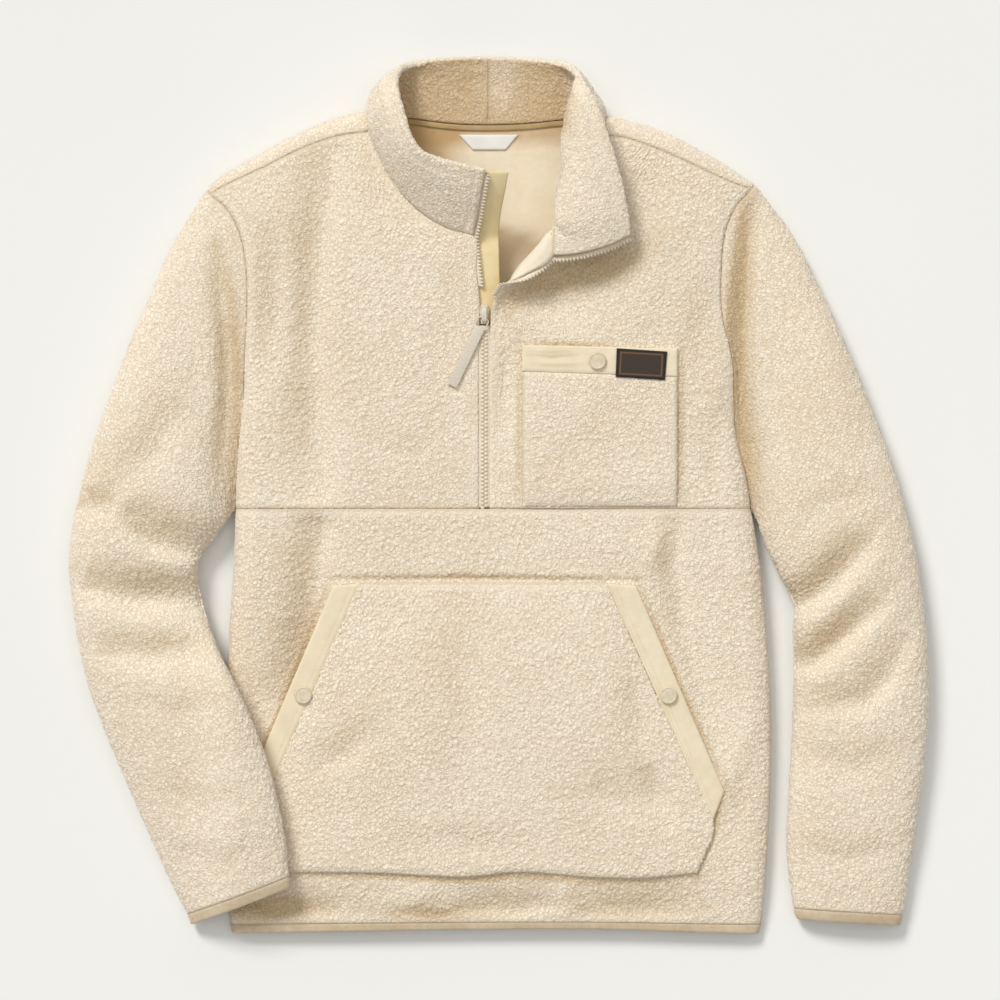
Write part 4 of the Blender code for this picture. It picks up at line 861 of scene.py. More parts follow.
@dataclass
class Panel:
    """Cloth piece: a closed wall round a grid of middle points."""

    FOLD_FACING = 3.0
    # Painted shade: how steeply a face must look up to take it, and how deep it may grow
    PAINTED_SHADE_FACING = 2.0
    DEEPEST_PAINTED_SHADE = 1.3

    name: str
    nodes: tuple[str, ...]
    grid: list[list[Vector | None]]
    cut: Cut
    facings: dict[Key, Vector] = field(default_factory=dict)
    wall: float = FLEECE
    wrap: bool = False
    inset: float = 0.03
    free: tuple[Edge, ...] = ()
    spacing: float = 2.0
    skip: int = 4
    pile: Pile = Pile.OUTER
    pile_height: float = 1.5
    seam_depth: float = 0.7
    seam_width: float = 2.4
    flattened: float = 2.6
    grooves: tuple[Groove, ...] = ()
    creases: tuple[Crease, ...] = ()
    seam_hold: float = 9.0
    below: float = 0.35
    # Painted shade: how strongly crease sides turned from the light darken, and lines of painted shade given
    # as creases whose height is how deep the shade is
    painted_shade_gain: float = 2.1
    shades: tuple[Crease, ...] = ()
    clean: tuple[Edge, ...] = ()
    # Painted shade of the inner face, by place in plan
    inside: Callable[[np.ndarray, np.ndarray], np.ndarray] | None = None
    slot: str = "fleece"
    materials: tuple[Material, ...] = ()

    def __post_init__(self) -> None:
        """Smooths the grid and finds its normals, distances and relief."""
        empty = (math.nan,) * 3
        points = np.array([[tuple(p) if p is not None else empty for p in row] for row in self.grid], float)
        ways, given = np.zeros(points.shape), np.zeros((*points.shape[:2], 1))
        for key, way in self.facings.items():
            ways[key], given[key] = way, 1.0
        cuts = self.cuts(points, False), self.cuts(points.swapaxes(0, 1), self.wrap)
        middle = self.finer(curve_through, points, *cuts)
        wanted = self.finer(straight_through, ways, *cuts)
        share = self.finer(straight_through, given, *cuts) ** 3
        normals = unit(
            np.cross(slopes(middle.swapaxes(0, 1), self.wrap).swapaxes(0, 1), slopes(middle, False))
        )
        agree = float(np.nansum(normals * wanted * share))
        if agree < 0 or (not self.facings and np.nansum(normals[..., 2]) < 0):
            normals = -normals
        self.normals = unit(normals * (1 - share) + unit(wanted) * share)
        self.valid = ~np.isnan(middle[..., 0])
        self.edges = [edge for edge in Edge if not (self.wrap and "COLUMN" in edge.name)]
        self.middle = self.folded(self.moved_in(middle))
        self.distance = distances(self.middle)
        self.seam = self.seam_distance()
        relief = -self.seam_depth * bell(self.seam, self.seam_width)
        for groove in self.grooves:
            relief -= groove.depth * bell(self.distance[groove.edge] - groove.offset, groove.width)
        # tone holds the outer face's painted shade, from crease sides turned from the light and from the
        # shade lines
        self.tone = self.painted_shade_of()
        self.outer = self.middle + self.normals * (self.wall / 2 + relief)[..., None]

    def cuts(self, points: np.ndarray, wrap: bool) -> list[int]:
        """Number of steps to make of each step along the first axis, in whole skips."""
        length = np.nanmean(chords(points, wrap), axis=1)
        return [self.skip * max(1, round(step / (self.spacing * self.skip))) for step in length]

    def finer(self, through: Callable, values: np.ndarray, rows: list[int], columns: list[int]) -> np.ndarray:
        """Values over the fine grid, through curves or straight lines, by the cuts of rows and columns."""
        return through(through(values, rows).swapaxes(0, 1), columns, self.wrap).swapaxes(0, 1)

    def seam_distance(self, *left_out: Edge) -> np.ndarray:
        """Distance of each place from the nearest sewn edge that isn't left out."""
        sewn = [self.distance[edge] for edge in self.edges if edge not in (*self.free, *left_out)]
        return np.min([np.full(self.valid.shape, 1e3), *sewn], axis=0)

    def moved_in(self, middle: np.ndarray) -> np.ndarray:
        """The fine grid with its edges moved in from the seams.

        Args:
            middle: the fine grid.

        Returns:
            The grid moved in.
        """
        moved = middle.copy()
        for edge in self.edges:
            points, target = from_edge(middle, edge), from_edge(moved, edge)
            beyond, within = np.roll(points, 1, axis=0), np.roll(points, -1, axis=0)
            beyond[0] = np.nan
            at_edge = np.isnan(beyond[..., 0]) & ~np.isnan(within[..., 0]) & ~np.isnan(points[..., 0])
            target[at_edge] += (unit(within - points) * self.inset)[at_edge]
        return moved

    def folded(self, middle: np.ndarray) -> np.ndarray:
        """The fine grid with its creases, and fainter ones where it faces down.

        Args:
            middle: the fine grid.

        Returns:
            The grid with its folds.
        """
        if not self.creases:
            return middle
        lift = sum(crease.lift(middle[..., 0], middle[..., 1]) for crease in self.creases)
        held = distances(middle)
        ease = 1 - bell(np.min([held[edge] for edge in self.edges], axis=0), self.seam_hold)
        up = self.normals[..., 2] * self.FOLD_FACING
        share = np.clip(up, 0, 1) * lift + np.clip(-up, 0, 1) * np.abs(lift) * self.below
        folded = middle.copy()
        folded[..., 2] += share * ease
        return folded

    def painted_shade_of(self) -> np.ndarray:
        """Painted shade on the pile: where a crease's side turns from the light, and along its lines of
        painted shade.

        Returns:
            The painted shade, by grid place.
        """
        x, y = self.middle[..., 0], self.middle[..., 1]
        run = sum(
            (c.lift(x + AWAY[0], y + AWAY[1]) - c.lift(x - AWAY[0], y - AWAY[1]) for c in self.creases), 0 * x
        )
        deep = np.clip(-run / 2 * self.painted_shade_gain, 0, 1) + sum(shade.lift(x, y) for shade in self.shades)
        return np.clip(deep, 0, self.DEEPEST_PAINTED_SHADE) * np.clip(self.normals[..., 2] * self.PAINTED_SHADE_FACING, 0, 1)

    def line(self, edge: Edge, offset: float, start: float = 0.0, end: float = 1.0) -> "SurfaceLine":
        """Line over the outer face at a distance from an edge.

        Args:
            edge: edge that the line runs beside.
            offset: distance from it.
            start: where the line starts, as a share of the edge.
            end: where it ends.

        Returns:
            Its points and the ways up from the cloth.
        """
        outer, normals, distance = (
            from_edge(v, edge) for v in (self.outer, self.normals, self.distance[edge])
        )
        last = outer.shape[1] - 1
        places, ways = [], []
        for k in range(round(start * last), round(end * last) + 1):
            run, known = distance[:, k], ~np.isnan(outer[:, k, 0])
            first = int(np.argmax(known))
            past = np.nonzero(run[first:] >= offset)[0]
            i = max(int(past[0]) + first, first + 1) if known.any() and len(past) else len(run)
            if i >= len(run) or not known[i]:
                continue
            t = (offset - run[i - 1]) / max(run[i] - run[i - 1], 1e-9)
            places.append(outer[i - 1, k] * (1 - t) + outer[i, k] * t)
            ways.append(normals[i - 1, k] * (1 - t) + normals[i, k] * t)
        return SurfaceLine(np.array(places), unit(np.array(ways)))

    def make(self) -> None:
        piece = add_mesh(self.name, WallMesh(self).mesh(), *self.materials)
        if self.pile is not Pile.NONE:
            PILE.raise_on(piece, self.pile_height)
            lift_to_surface(piece)
        declare(piece, self.nodes, self.slot)
        cut = self.cut
        list(cut.rests_on)


def trim(name: str, node_name: str, grid: list, cut: Cut, finish: Material, wall: float, **more) -> Panel:
    """Thin woven piece without pile: its slot is woven unless another is given."""
    settings = {"spacing": 1.6, "skip": 1, "pile": Pile.NONE, "slot": "woven", "seam_width": 0.8, **more}
    return Panel(name, (node_name,), grid, cut, wall=wall, materials=(finish,), **settings)


@dataclass
class SurfaceLine:
    """Points along a cloth face, and the way up from it at each."""

    points: np.ndarray
    ways: np.ndarray


class WallMesh:
    """Mesh of a panel: fine outer face, coarser inner face, and rims."""

    ROUND_RIM = (45.0, 90.0, 135.0)
    FLATTENING = 0.9
    SEAM_SHADE = 1.9
    GROOVE_SPREAD = 1.5
    RIM_REACH = 0.4

    def __init__(self, panel: Panel) -> None:
        """Numbers the vertices of both faces.

        Args:
            panel: the panel.
        """
        self.panel = panel
        self.places: list[np.ndarray] = []
        self.values: list[tuple[float, ...]] = []
        self.faces: list[tuple[int, ...]] = []
        self.rims: dict[int, list[int]] = {}
        both = panel.pile is Pile.BOTH
        self.skip = 1 if both else panel.skip
        flat = 1 - self.FLATTENING * bell(panel.seam, panel.flattened)
        for groove in panel.grooves:
            beside = panel.distance[groove.edge] - groove.offset
            flat *= 1 - self.FLATTENING * bell(beside, groove.width * self.GROOVE_SPREAD)
        if panel.pile is Pile.NONE:
            flat *= 0
        dark = bell(panel.seam_distance(*panel.clean), self.SEAM_SHADE)
        self.outer_at = self.number(panel.valid, panel.outer, flat, dark, panel.tone)
        inner = panel.middle - panel.normals * (panel.wall / 2)
        # Painted shade of the inner face
        shade = panel.inside(inner[..., 0], inner[..., 1]) if panel.inside else 0 * flat
        sampled = np.zeros(panel.valid.shape, bool)
        sampled[:: self.skip, :: self.skip] = True
        self.inner_at = self.number(panel.valid & sampled, inner, flat * both, dark, shade)

    def number(self, shown: np.ndarray, places: np.ndarray, *values: np.ndarray) -> np.ndarray:
        """Adds a vertex at each grid place shown.

        Args:
            shown: which grid places get one.
            places: their points.
            *values: their pile, seam and shade.

        Returns:
            The vertex of each grid place.
        """
        at = np.full(shown.shape, -1)
        at[shown] = len(self.places) + np.arange(shown.sum())
        self.places += list(places[shown])
        self.values += list(np.stack(values, axis=-1)[shown])
        return at

    def corner(self, i: int, j: int) -> Key:
        """Grid place of a corner, round the tube where the panel is one."""
        return (i, j % self.panel.valid.shape[1]) if self.panel.wrap else (i, j)

    def cell(self, i: int, j: int, step: int) -> list[Key] | None:
        """Corners of the square that starts at a grid place, or None past an edge.

        Args:
            i: its row.
            j: its column.
            step: length of its sides.

        Returns:
            Its corners, or None.
        """
        rows, columns = self.panel.valid.shape
        if i < 0 or j < 0 or i + step >= rows or (not self.panel.wrap and j + step >= columns):
            return None
        corners = [self.corner(*key) for key in ((i, j), (i, j + step), (i + step, j + step), (i + step, j))]
        return corners if all(self.panel.valid[key] for key in corners) else None

    def cells(self, step: int) -> Iterable[tuple[Key, list[Key]]]:
        """Every square of the grid with sides of so many steps, and its corners.

        Args:
            step: length of the sides.

        Returns:
            Grid place and corners of each.
        """
        rows, columns = self.panel.valid.shape
        for i in range(0, rows - 1, step):
            for j in range(0, columns - (not self.panel.wrap), step):
                corners = self.cell(i, j, step)
                if corners:
                    yield (i, j), corners

    def add_rim(self, key: Key, within: Key) -> None:
        """Adds the vertices of the round rim under an outer one, once; within is one step in from it.

        Args:
            key: grid place of the outer vertex.
            within: grid place one step in from it.
        """
        panel, vertex = self.panel, self.outer_at[key]
        if vertex in self.rims:
            return
        out = panel.middle[key] - panel.middle[within]
        out /= max(float(np.linalg.norm(out)), 1e-9)
        self.rims[vertex] = [len(self.places) + k for k in range(len(self.ROUND_RIM))]
        for turn in map(math.radians, self.ROUND_RIM):
            reach, rise = panel.wall * self.RIM_REACH * math.sin(turn), panel.wall / 2 * math.cos(turn)
            self.places.append(panel.middle[key] + (out * reach + panel.normals[key] * rise))
            self.values.append((self.values[vertex][0], 0.0, self.values[vertex][2]))

    def open_sides(self, i: int, j: int) -> Iterable[tuple[bool, list[Key]]]:
        """Sides of a coarse square that lead nowhere: whether each is free, and its grid places.

        Args:
            i: the square's row.
            j: its column.

        Returns:
            Each such side.
        """
        step = self.skip
        run = range(step + 1)
        sides = (
            (Edge.FIRST_ROW, (i - step, j), [(i, j + k) for k in run], (1, 0)),
            (Edge.LAST_COLUMN, (i, j + step), [(i + k, j + step) for k in run], (0, -1)),
            (Edge.LAST_ROW, (i + step, j), [(i + step, j + step - k) for k in run], (-1, 0)),
            (Edge.FIRST_COLUMN, (i, j - step), [(i + step - k, j) for k in run], (0, 1))
        )
        for edge, beyond, keys, inward in sides:
            if edge in self.panel.edges and self.cell(*beyond, step) is None:
                free = edge in self.panel.free
                for a, b in keys if free else ():
                    self.add_rim(self.corner(a, b), self.corner(a + inward[0], b + inward[1]))
                yield free, [self.corner(*key) for key in keys]

    def close(self, free: bool, keys: list[Key]) -> None:
        """Makes the faces of one coarse side, once every free side has its vertices.

        Args:
            free: whether the side is a free edge.
            keys: its grid places.
        """
        ends = self.inner_at[keys[0]], self.inner_at[keys[-1]]
        outer = [self.outer_at[key] for key in keys]
        if free:
            levels = [[vertex, *self.rims[vertex]] for vertex in outer]
            for one, two in zip(levels, levels[1:]):
                for level in range(len(one) - 1):
                    self.faces.append((two[level], one[level], one[level + 1], two[level + 1]))
            self.faces.append((*(column[-1] for column in reversed(levels)), *ends))
        else:
            down, up = self.rims.get(outer[0], []), self.rims.get(outer[-1], [])[::-1]
            self.faces.append((*reversed(outer), *down, *ends, *up))

    def mesh(self) -> Mesh:
        """Puts the faces together: a mesh in metres with its attributes.

        Returns:
            The mesh.
        """
        self.faces = [tuple(self.outer_at[key] for key in corners) for _, corners in self.cells(1)]
        inner, sides = [], []
        for key, corners in self.cells(self.skip):
            inner.append(tuple(self.inner_at[key] for key in reversed(corners)))
            sides += self.open_sides(*key)
        for free, keys in sorted(sides, key=lambda side: not side[0]):
            self.close(free, keys)
        first_inner = len(self.faces)
        self.faces += inner
        panel, m = self.panel, self.panel.middle
        places = np.array(self.places) * MM
        places[:, 2] = np.maximum(places[:, 2], 0.0)
        ways = np.cross(m[:-1, 1:] - m[:-1, :-1], m[1:, :-1] - m[:-1, :-1]) * panel.normals[:-1, :-1]
        turned = float(np.nansum(ways)) < 0
        faces = [tuple(reversed(face)) for face in self.faces] if turned else self.faces
        mesh = bpy.data.meshes.new(panel.name)
        mesh.from_pydata(places.tolist(), [], faces)
        mesh.shade_smooth()
        if panel.pile is Pile.OUTER:
            reverse = (np.arange(len(faces)) >= first_inner).astype(np.int32)
            mesh.polygons.foreach_set("material_index", reverse)
        store(mesh, "rest", "FLOAT_VECTOR", places)
        for name, values in zip(("pile", "seam", "shade"), np.array(self.values).T):
            store(mesh, name, "FLOAT", values)
        mesh.update()
        return mesh

# ------ objects and node trees


def store(mesh: Mesh, name: str, kind: str, values: Iterable) -> None:
    """Keeps a value for every vertex as an attribute of the mesh.

    Args:
        mesh: the mesh.
        name: the attribute's name.
        kind: its data type.
        values: a number or a vector for each vertex.
    """
    attribute = mesh.attributes.new(name, kind, "POINT")
    key = "vector" if kind == "FLOAT_VECTOR" else "value"
    attribute.data.foreach_set(key, np.asarray(values, np.float32).ravel())


def add_object(name: str, data: bpy.types.ID) -> Piece:
    """Object at the origin with the given data, linked to the scene.

    Args:
        name: its name.
        data: its mesh, light or camera.

    Returns:
        The object.
    """
    made = bpy.data.objects.new(name, data)
    bpy.context.scene.collection.objects.link(made)
    return made


def add_mesh(name: str, mesh: Mesh, *materials: Material) -> Piece:
    """Object that shows a mesh in the given materials.

    Args:
        name: its name.
        mesh: its mesh.
        *materials: its finishes.

    Returns:
        The object.
    """
    for material in materials:
        mesh.materials.append(material)
    return add_object(name, mesh)


def report(piece: Piece) -> None:
    """Logs how many triangles a piece has."""
    log.info("%s: %d triangles", piece.name, sum(len(face.vertices) - 2 for face in piece.data.polygons))


def lift_to_surface(piece: Piece) -> None:
    """Flattens whatever reaches below the surface that the garment lies on.

    Args:
        piece: the piece.
    """
    mesh = piece.data
    places = np.empty(len(mesh.vertices) * 3, np.float32)
    mesh.vertices.foreach_get("co", places)
    places[2::3] = np.maximum(places[2::3], 0.0)
    mesh.vertices.foreach_set("co", places)
    mesh.update()


def declare(piece: Piece, nodes: Iterable[str], slot: str, body: str = "garment") -> None:
    """Puts a piece on its body's empty, hides the nodes that it stands for and logs its triangles.

    Args:
        piece: the piece.
        nodes: nodes that it stands for.
        slot: its slot; not used.
        body: body that it rides on.
    """
    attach(piece, body)
    if nodes:
        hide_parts(*nodes)
    report(piece)


def node(tree: Tree, kind: str, inputs: dict | None = None, **settings) -> Node:
    """Adds a node to a tree.

    Args:
        tree: tree that gets the node.
        kind: Blender's name of the node's type.
        inputs: for inputs by name or number, the value or the socket that feeds it.
        **settings: the node's own settings.

    Returns:
        The node.
    """
    made = tree.nodes.new(kind)
    for key, value in settings.items():
        setattr(made, key, value)
    for key, value in (inputs or {}).items():
        feed(tree, made.inputs[key], value)
    return made


def result(tree: Tree, kind: str, inputs: dict | None = None, **settings) -> Socket:
    """First output of a node that is added to a tree, given as for node."""
    return node(tree, kind, inputs, **settings).outputs[0]


def feed(tree: Tree, socket: Socket, value: object) -> None:
    """Gives a socket a value, or links it to the socket that feeds it.

    Args:
        tree: tree of the socket.
        socket: the input.
        value: the value or the socket.
    """
    if isinstance(value, Socket):
        tree.links.new(value, socket)
    else:
        socket.default_value = value


def maths(tree: Tree, operation: str, *values) -> Socket:
    """Result of a Math node over numbers or sockets."""
    return result(tree, "ShaderNodeMath", dict(enumerate(values)), operation=operation)


def vector_maths(tree: Tree, operation: str, *values) -> Socket:
    """Result of a Vector Math node over vectors or sockets."""
    return result(tree, "ShaderNodeVectorMath", dict(enumerate(values)), operation=operation)


def ramp(tree: Tree, value: Socket, low: float, high: float, start: float = 0.0, end: float = 1.0) -> Socket:
    """Value that eases from start to end while the input goes from low to high."""
    inputs = {0: value, 1: low, 2: high, 3: start, 4: end}
    return result(tree, "ShaderNodeMapRange", inputs, interpolation_type="SMOOTHSTEP")


def noise(tree: Tree, place: Socket, scale: float | Socket, detail: float = 2.0, **more: float) -> Socket:
    """Soft noise, with so many waves to the metre."""
    return result(tree, "ShaderNodeTexNoise", {"Vector": place, "Scale": scale, "Detail": detail, **more})


def spread(tree: Tree, value: Socket, start: float = 0.0, end: float = 1.0) -> Socket:
    """Noise eased from start to end over the range that most of it fills."""
    return ramp(tree, value, *NOISE_RANGE, start, end)


def mix(tree: Tree, share: Socket | float, one: Colour, two: Colour, blend: str = "MIX") -> Socket:
    """Colour between two colours or colour sockets.

    Args:
        tree: tree that gets the node.
        share: share of the second colour.
        one: first colour.
        two: second colour.
        blend: how they are blended.

    Returns:
        The colour.
    """
    made = node(tree, "ShaderNodeMix", data_type="RGBA", clamp_factor=True, blend_type=blend)
    colours = [s for s in made.inputs if s.type == "RGBA"]
    for socket, value in ((made.inputs[0], share), (colours[0], one), (colours[1], two)):
        feed(tree, socket, value)
    return next(s for s in made.outputs if s.type == "RGBA")


def add_group(
    name: str, kind: str, inputs: Iterable[tuple], outputs: Iterable[tuple]
) -> tuple[Tree, Node, Node]:
    """New node group with its input and output nodes.

    Args:
        name: name of the group.
        kind: type of its tree.
        inputs: name, socket type and default value of each input.
        outputs: name and socket type of each output.

    Returns:
        The tree, its input node and its output node.
    """
    tree = bpy.data.node_groups.new(name, kind)
    for label, socket, *value in inputs:
        made = tree.interface.new_socket(name=label, in_out="INPUT", socket_type=socket)
        if value:
            made.default_value = value[0]
    for label, socket in outputs:
        tree.interface.new_socket(name=label, in_out="OUTPUT", socket_type=socket)
    return tree, tree.nodes.new("NodeGroupInput"), tree.nodes.new("NodeGroupOutput")


def run_tree(name: str, tree: Tree, mesh: Mesh, inputs: dict[str, object]) -> Mesh:
    """Plain mesh that a geometry node tree makes of a mesh.

    Args:
        name: name of the result.
        tree: the tree, with named inputs.
        mesh: what it starts from.
        inputs: value of each named input.

    Returns:
        The mesh, with nothing live left on it.
    """
    holder = add_object(name + "_source", mesh)
    modifier = holder.modifiers.new("made", "NODES")
    modifier.node_group = tree
    for item in tree.interface.items_tree:
        if item.item_type == "SOCKET" and item.in_out == "INPUT" and item.name in inputs:
            modifier[item.identifier] = inputs[item.name]
    graph = bpy.context.evaluated_depsgraph_get()
    made = bpy.data.meshes.new_from_object(holder.evaluated_get(graph), depsgraph=graph)
    made.name = name
    holder.modifiers.clear()
    bpy.data.objects.remove(holder)
    return made


# ------ the pile


@dataclass
class PilePattern:
    """The sherpa's curled nubs: one pattern for the relief and for the colours."""

    nub: float = 0.0035
    bend_size: float = 0.0042
    bend: float = 0.0048
    knot_size: float = 0.0024
    gap: float = 0.30
    level: float = 0.6
    nub_share: float = 0.72
    knot_share: float = 0.4
    knot_range: tuple[float, float] = (0.32, 0.62)

    def height(self, tree: Tree, place: Socket) -> Socket:
        """Adds the pattern's nodes to a shader or geometry tree.

        Args:
            tree: the tree.
            place: where the pattern is read, in metres.

        Returns:
            Height of the pile, from 0 in a crevice to 1 on a nub.
        """
        inputs = {"Vector": place, "Scale": 1 / self.bend_size, "Detail": 1.0}
        wander = node(tree, "ShaderNodeTexNoise", inputs)
        centred = vector_maths(tree, "SUBTRACT", wander.outputs["Color"], (0.5, 0.5, 0.5))
        stretched = vector_maths(tree, "MULTIPLY", centred, (self.bend,) * 3)
        bent = vector_maths(tree, "ADD", place, stretched)
        inputs = {"Vector": bent, "Scale": 1 / self.nub}
        from_edge_of_nub = result(tree, "ShaderNodeTexVoronoi", inputs, feature="DISTANCE_TO_EDGE")
        nubs = ramp(tree, from_edge_of_nub, -0.06, self.gap, 0.0, self.nub_share)
        knots = noise(tree, bent, 1 / self.knot_size, 1.0)
        return maths(tree, "ADD", nubs, ramp(tree, knots, *self.knot_range, 0.0, self.knot_share))

    def geometry_tree(self) -> Tree:
        """Tree that moves a mesh out along its normals by the pile's height.

        Returns:
            The tree.
        """
        tree, start, end = add_group(
            "raise_pile", "GeometryNodeTree",
            (("Geometry", "NodeSocketGeometry"), ("Height", "NodeSocketFloat", 0.002)),
            (("Geometry", "NodeSocketGeometry"),)
        )
        place = result(tree, "GeometryNodeInputPosition")
        amount = result(tree, "GeometryNodeInputNamedAttribute", {"Name": "pile"}, data_type="FLOAT")
        over_level = maths(tree, "SUBTRACT", self.height(tree, place), self.level)
        lift = maths(tree, "MULTIPLY", maths(tree, "MULTIPLY", over_level, amount), start.outputs["Height"])
        way = result(tree, "GeometryNodeInputNormal")
        scaled = result(tree, "ShaderNodeVectorMath", {0: way, "Scale": lift}, operation="SCALE")
        moved = result(tree, "GeometryNodeSetPosition", {"Geometry": start.outputs[0], "Offset": scaled})
        tree.links.new(moved, end.inputs[0])
        return tree

    def shader_group(self) -> Tree:
        """Shader group that puts out the pile's height and its finer curls.

        Returns:
            The group.
        """
        tree, start, end = add_group(
            "pile_pattern", "ShaderNodeTree",
            (("Place", "NodeSocketVector"), ("Curl", "NodeSocketFloat", 600.0)),
            (("Height", "NodeSocketFloat"), ("Curls", "NodeSocketFloat"), ("Tone", "NodeSocketFloat"))
        )
        place = start.outputs["Place"]
        curls = noise(tree, place, start.outputs["Curl"], Distortion=1.2)
        for made, socket in zip((self.height(tree, place), curls, noise(tree, place, 14.0)), end.inputs):
            tree.links.new(made, socket)
        return tree

    def raise_on(self, piece: Piece, height: float) -> None:
        """Raises the pile on a piece's mesh, so many millimetres from crevice to nub.

        Args:
            piece: the piece.
            height: millimetres from crevice to nub.
        """
        if not hasattr(self, "tree"):
            self.tree = self.geometry_tree()
        old = piece.data
        piece.data = run_tree(piece.name, self.tree, old, {"Height": height * MM})
        bpy.data.meshes.remove(old)


PILE = PilePattern()


# ------ finishes


def linear(colour: Sequence[int]) -> tuple[float, float, float, float]:
    """Scene colour of an eight-bit display colour.

    Args:
        colour: red, green and blue up to 255.

    Returns:
        Red, green, blue and alpha up to 1.
    """
    parts = (c / 255 for c in colour)
    made = [c / 12.92 if c <= 0.04045 else ((c + 0.055) / 1.055) ** 2.4 for c in parts]
    return (*made, 1.0)


def new_material(name: str, roughness: float, **sockets) -> tuple[Tree, Node]:
    """Material with one Principled BSDF.

    Args:
        name: name of the finish.
        roughness: its roughness.
        **sockets: other constants of the shader, with _ for each space.

    Returns:
        The material's tree and its shader.
    """
    material = bpy.data.materials.new(name)
    material.use_nodes = True
    tree = material.node_tree
    shader = tree.nodes["Principled BSDF"]
    shader.inputs["Roughness"].default_value = roughness
    for key, value in sockets.items():
        shader.inputs[key.replace("_", " ")].default_value = value
    return tree, shader


def weave_group() -> Tree:
    """Shader group for thin cloths: crossing threads, soft wrinkles and tone.

    Returns:
        The group.
    """
    tree, start, end = add_group(
        "thread_pattern", "ShaderNodeTree",
        (
            ("Place", "NodeSocketVector"), ("Across", "NodeSocketFloat", 0.0012),
            ("Along", "NodeSocketFloat", 0.0012), ("Wrinkle", "NodeSocketFloat", 90.0)
        ),
        (("Threads", "NodeSocketFloat"), ("Wrinkles", "NodeSocketFloat"), ("Tone", "NodeSocketFloat"))
    )
    place = start.outputs["Place"]
    parts = node(tree, "ShaderNodeSeparateXYZ", {0: place})
    waves = []
    for axis, pitch in ((0, "Across"), (1, "Along")):
        turns = maths(tree, "DIVIDE", parts.outputs[axis], start.outputs[pitch])
        waves.append(maths(tree, "SINE", maths(tree, "MULTIPLY", turns, 2 * math.pi)))
    threads = maths(tree, "MULTIPLY_ADD", maths(tree, "MULTIPLY", *waves), 0.5, 0.5)
    wrinkles = noise(tree, place, start.outputs["Wrinkle"])
    for made, socket in zip((threads, wrinkles, noise(tree, place, 30.0)), end.inputs):
        tree.links.new(made, socket)
    return tree


def place_of(tree: Tree) -> Socket:
    """Object coordinates."""
    return node(tree, "ShaderNodeTexCoord").outputs["Object"]


def with_painted_shade(tree: Tree, colour: Socket, tint: Rgb) -> Socket:
    """Colour times a tint of painted shade, as deep as the piece's shade attribute gives."""
    shade = node(tree, "ShaderNodeAttribute", attribute_name="shade").outputs["Fac"]
    return mix(tree, shade, colour, linear(tint), "MULTIPLY")


def bump(tree: Tree, shader: Node, height: Socket, strength: float = 1.0, distance: float = 1.0) -> None:
    """Feeds a height to the shader's normal, distance in metres."""
    made = result(tree, "ShaderNodeBump", {"Height": height, "Strength": strength, "Distance": distance})
    tree.links.new(made, shader.inputs["Normal"])


@dataclass(frozen=True)
class SherpaFinish:
    """Deep curled pile: light nubs, crevices in warm painted shade, flattened where it is sewn, with painted
    shade along seams and wherever the shade attribute gives it.
    """

    name: str = "sherpa_pile"
    nub: Rgb = (249, 237, 216)
    # Painted shade in the crevices between nubs
    crevice: Rgb = (226, 206, 177)
    flat: Rgb = (243, 229, 206)
    # Painted shade along seams
    seam: Rgb = (196, 168, 126)
    # Tint of painted shade: fold sides turned from the light, cast shadows and the shaded insides of neck and
    # collar
    inside: Rgb = (222, 208, 184)

    def make(self, group: Tree) -> Material:
        """Builds the material from the pile's shader group.

        Args:
            group: the pile's shader group.

        Returns:
            The material.
        """
        tree, shader = new_material(
            self.name, 0.95, Sheen_Weight=0.45, Sheen_Roughness=0.6, Specular_IOR_Level=0.15
        )
        rest, pile, seam = (
            node(tree, "ShaderNodeAttribute", attribute_name=name).outputs
            for name in ("rest", "pile", "seam")
        )
        inputs = {"Place": rest["Vector"], "Curl": 620.0}
        height, curls, tone = node(tree, "ShaderNodeGroup", inputs, node_tree=group).outputs
        shade = maths(tree, "ADD", height, spread(tree, curls, -0.15, 0.15))
        shade = maths(tree, "ADD", shade, spread(tree, tone, -0.1, 0.1))
        # Crevices take painted shade, then seams, then the painted shade of the shade attribute
        nubs = mix(tree, ramp(tree, shade, 0.1, 1.05), linear(self.crevice), linear(self.nub))
        cloth = mix(tree, pile["Fac"], linear(self.flat), nubs)
        cloth = mix(tree, maths(tree, "MULTIPLY", seam["Fac"], 0.5), cloth, linear(self.seam))
        tree.links.new(with_painted_shade(tree, cloth, self.inside), shader.inputs["Base Color"])
        relief = maths(tree, "MULTIPLY_ADD", curls, 0.5, height)
        bump(tree, shader, relief, 0.6, 0.0011)
        return bpy.data.materials[self.name]


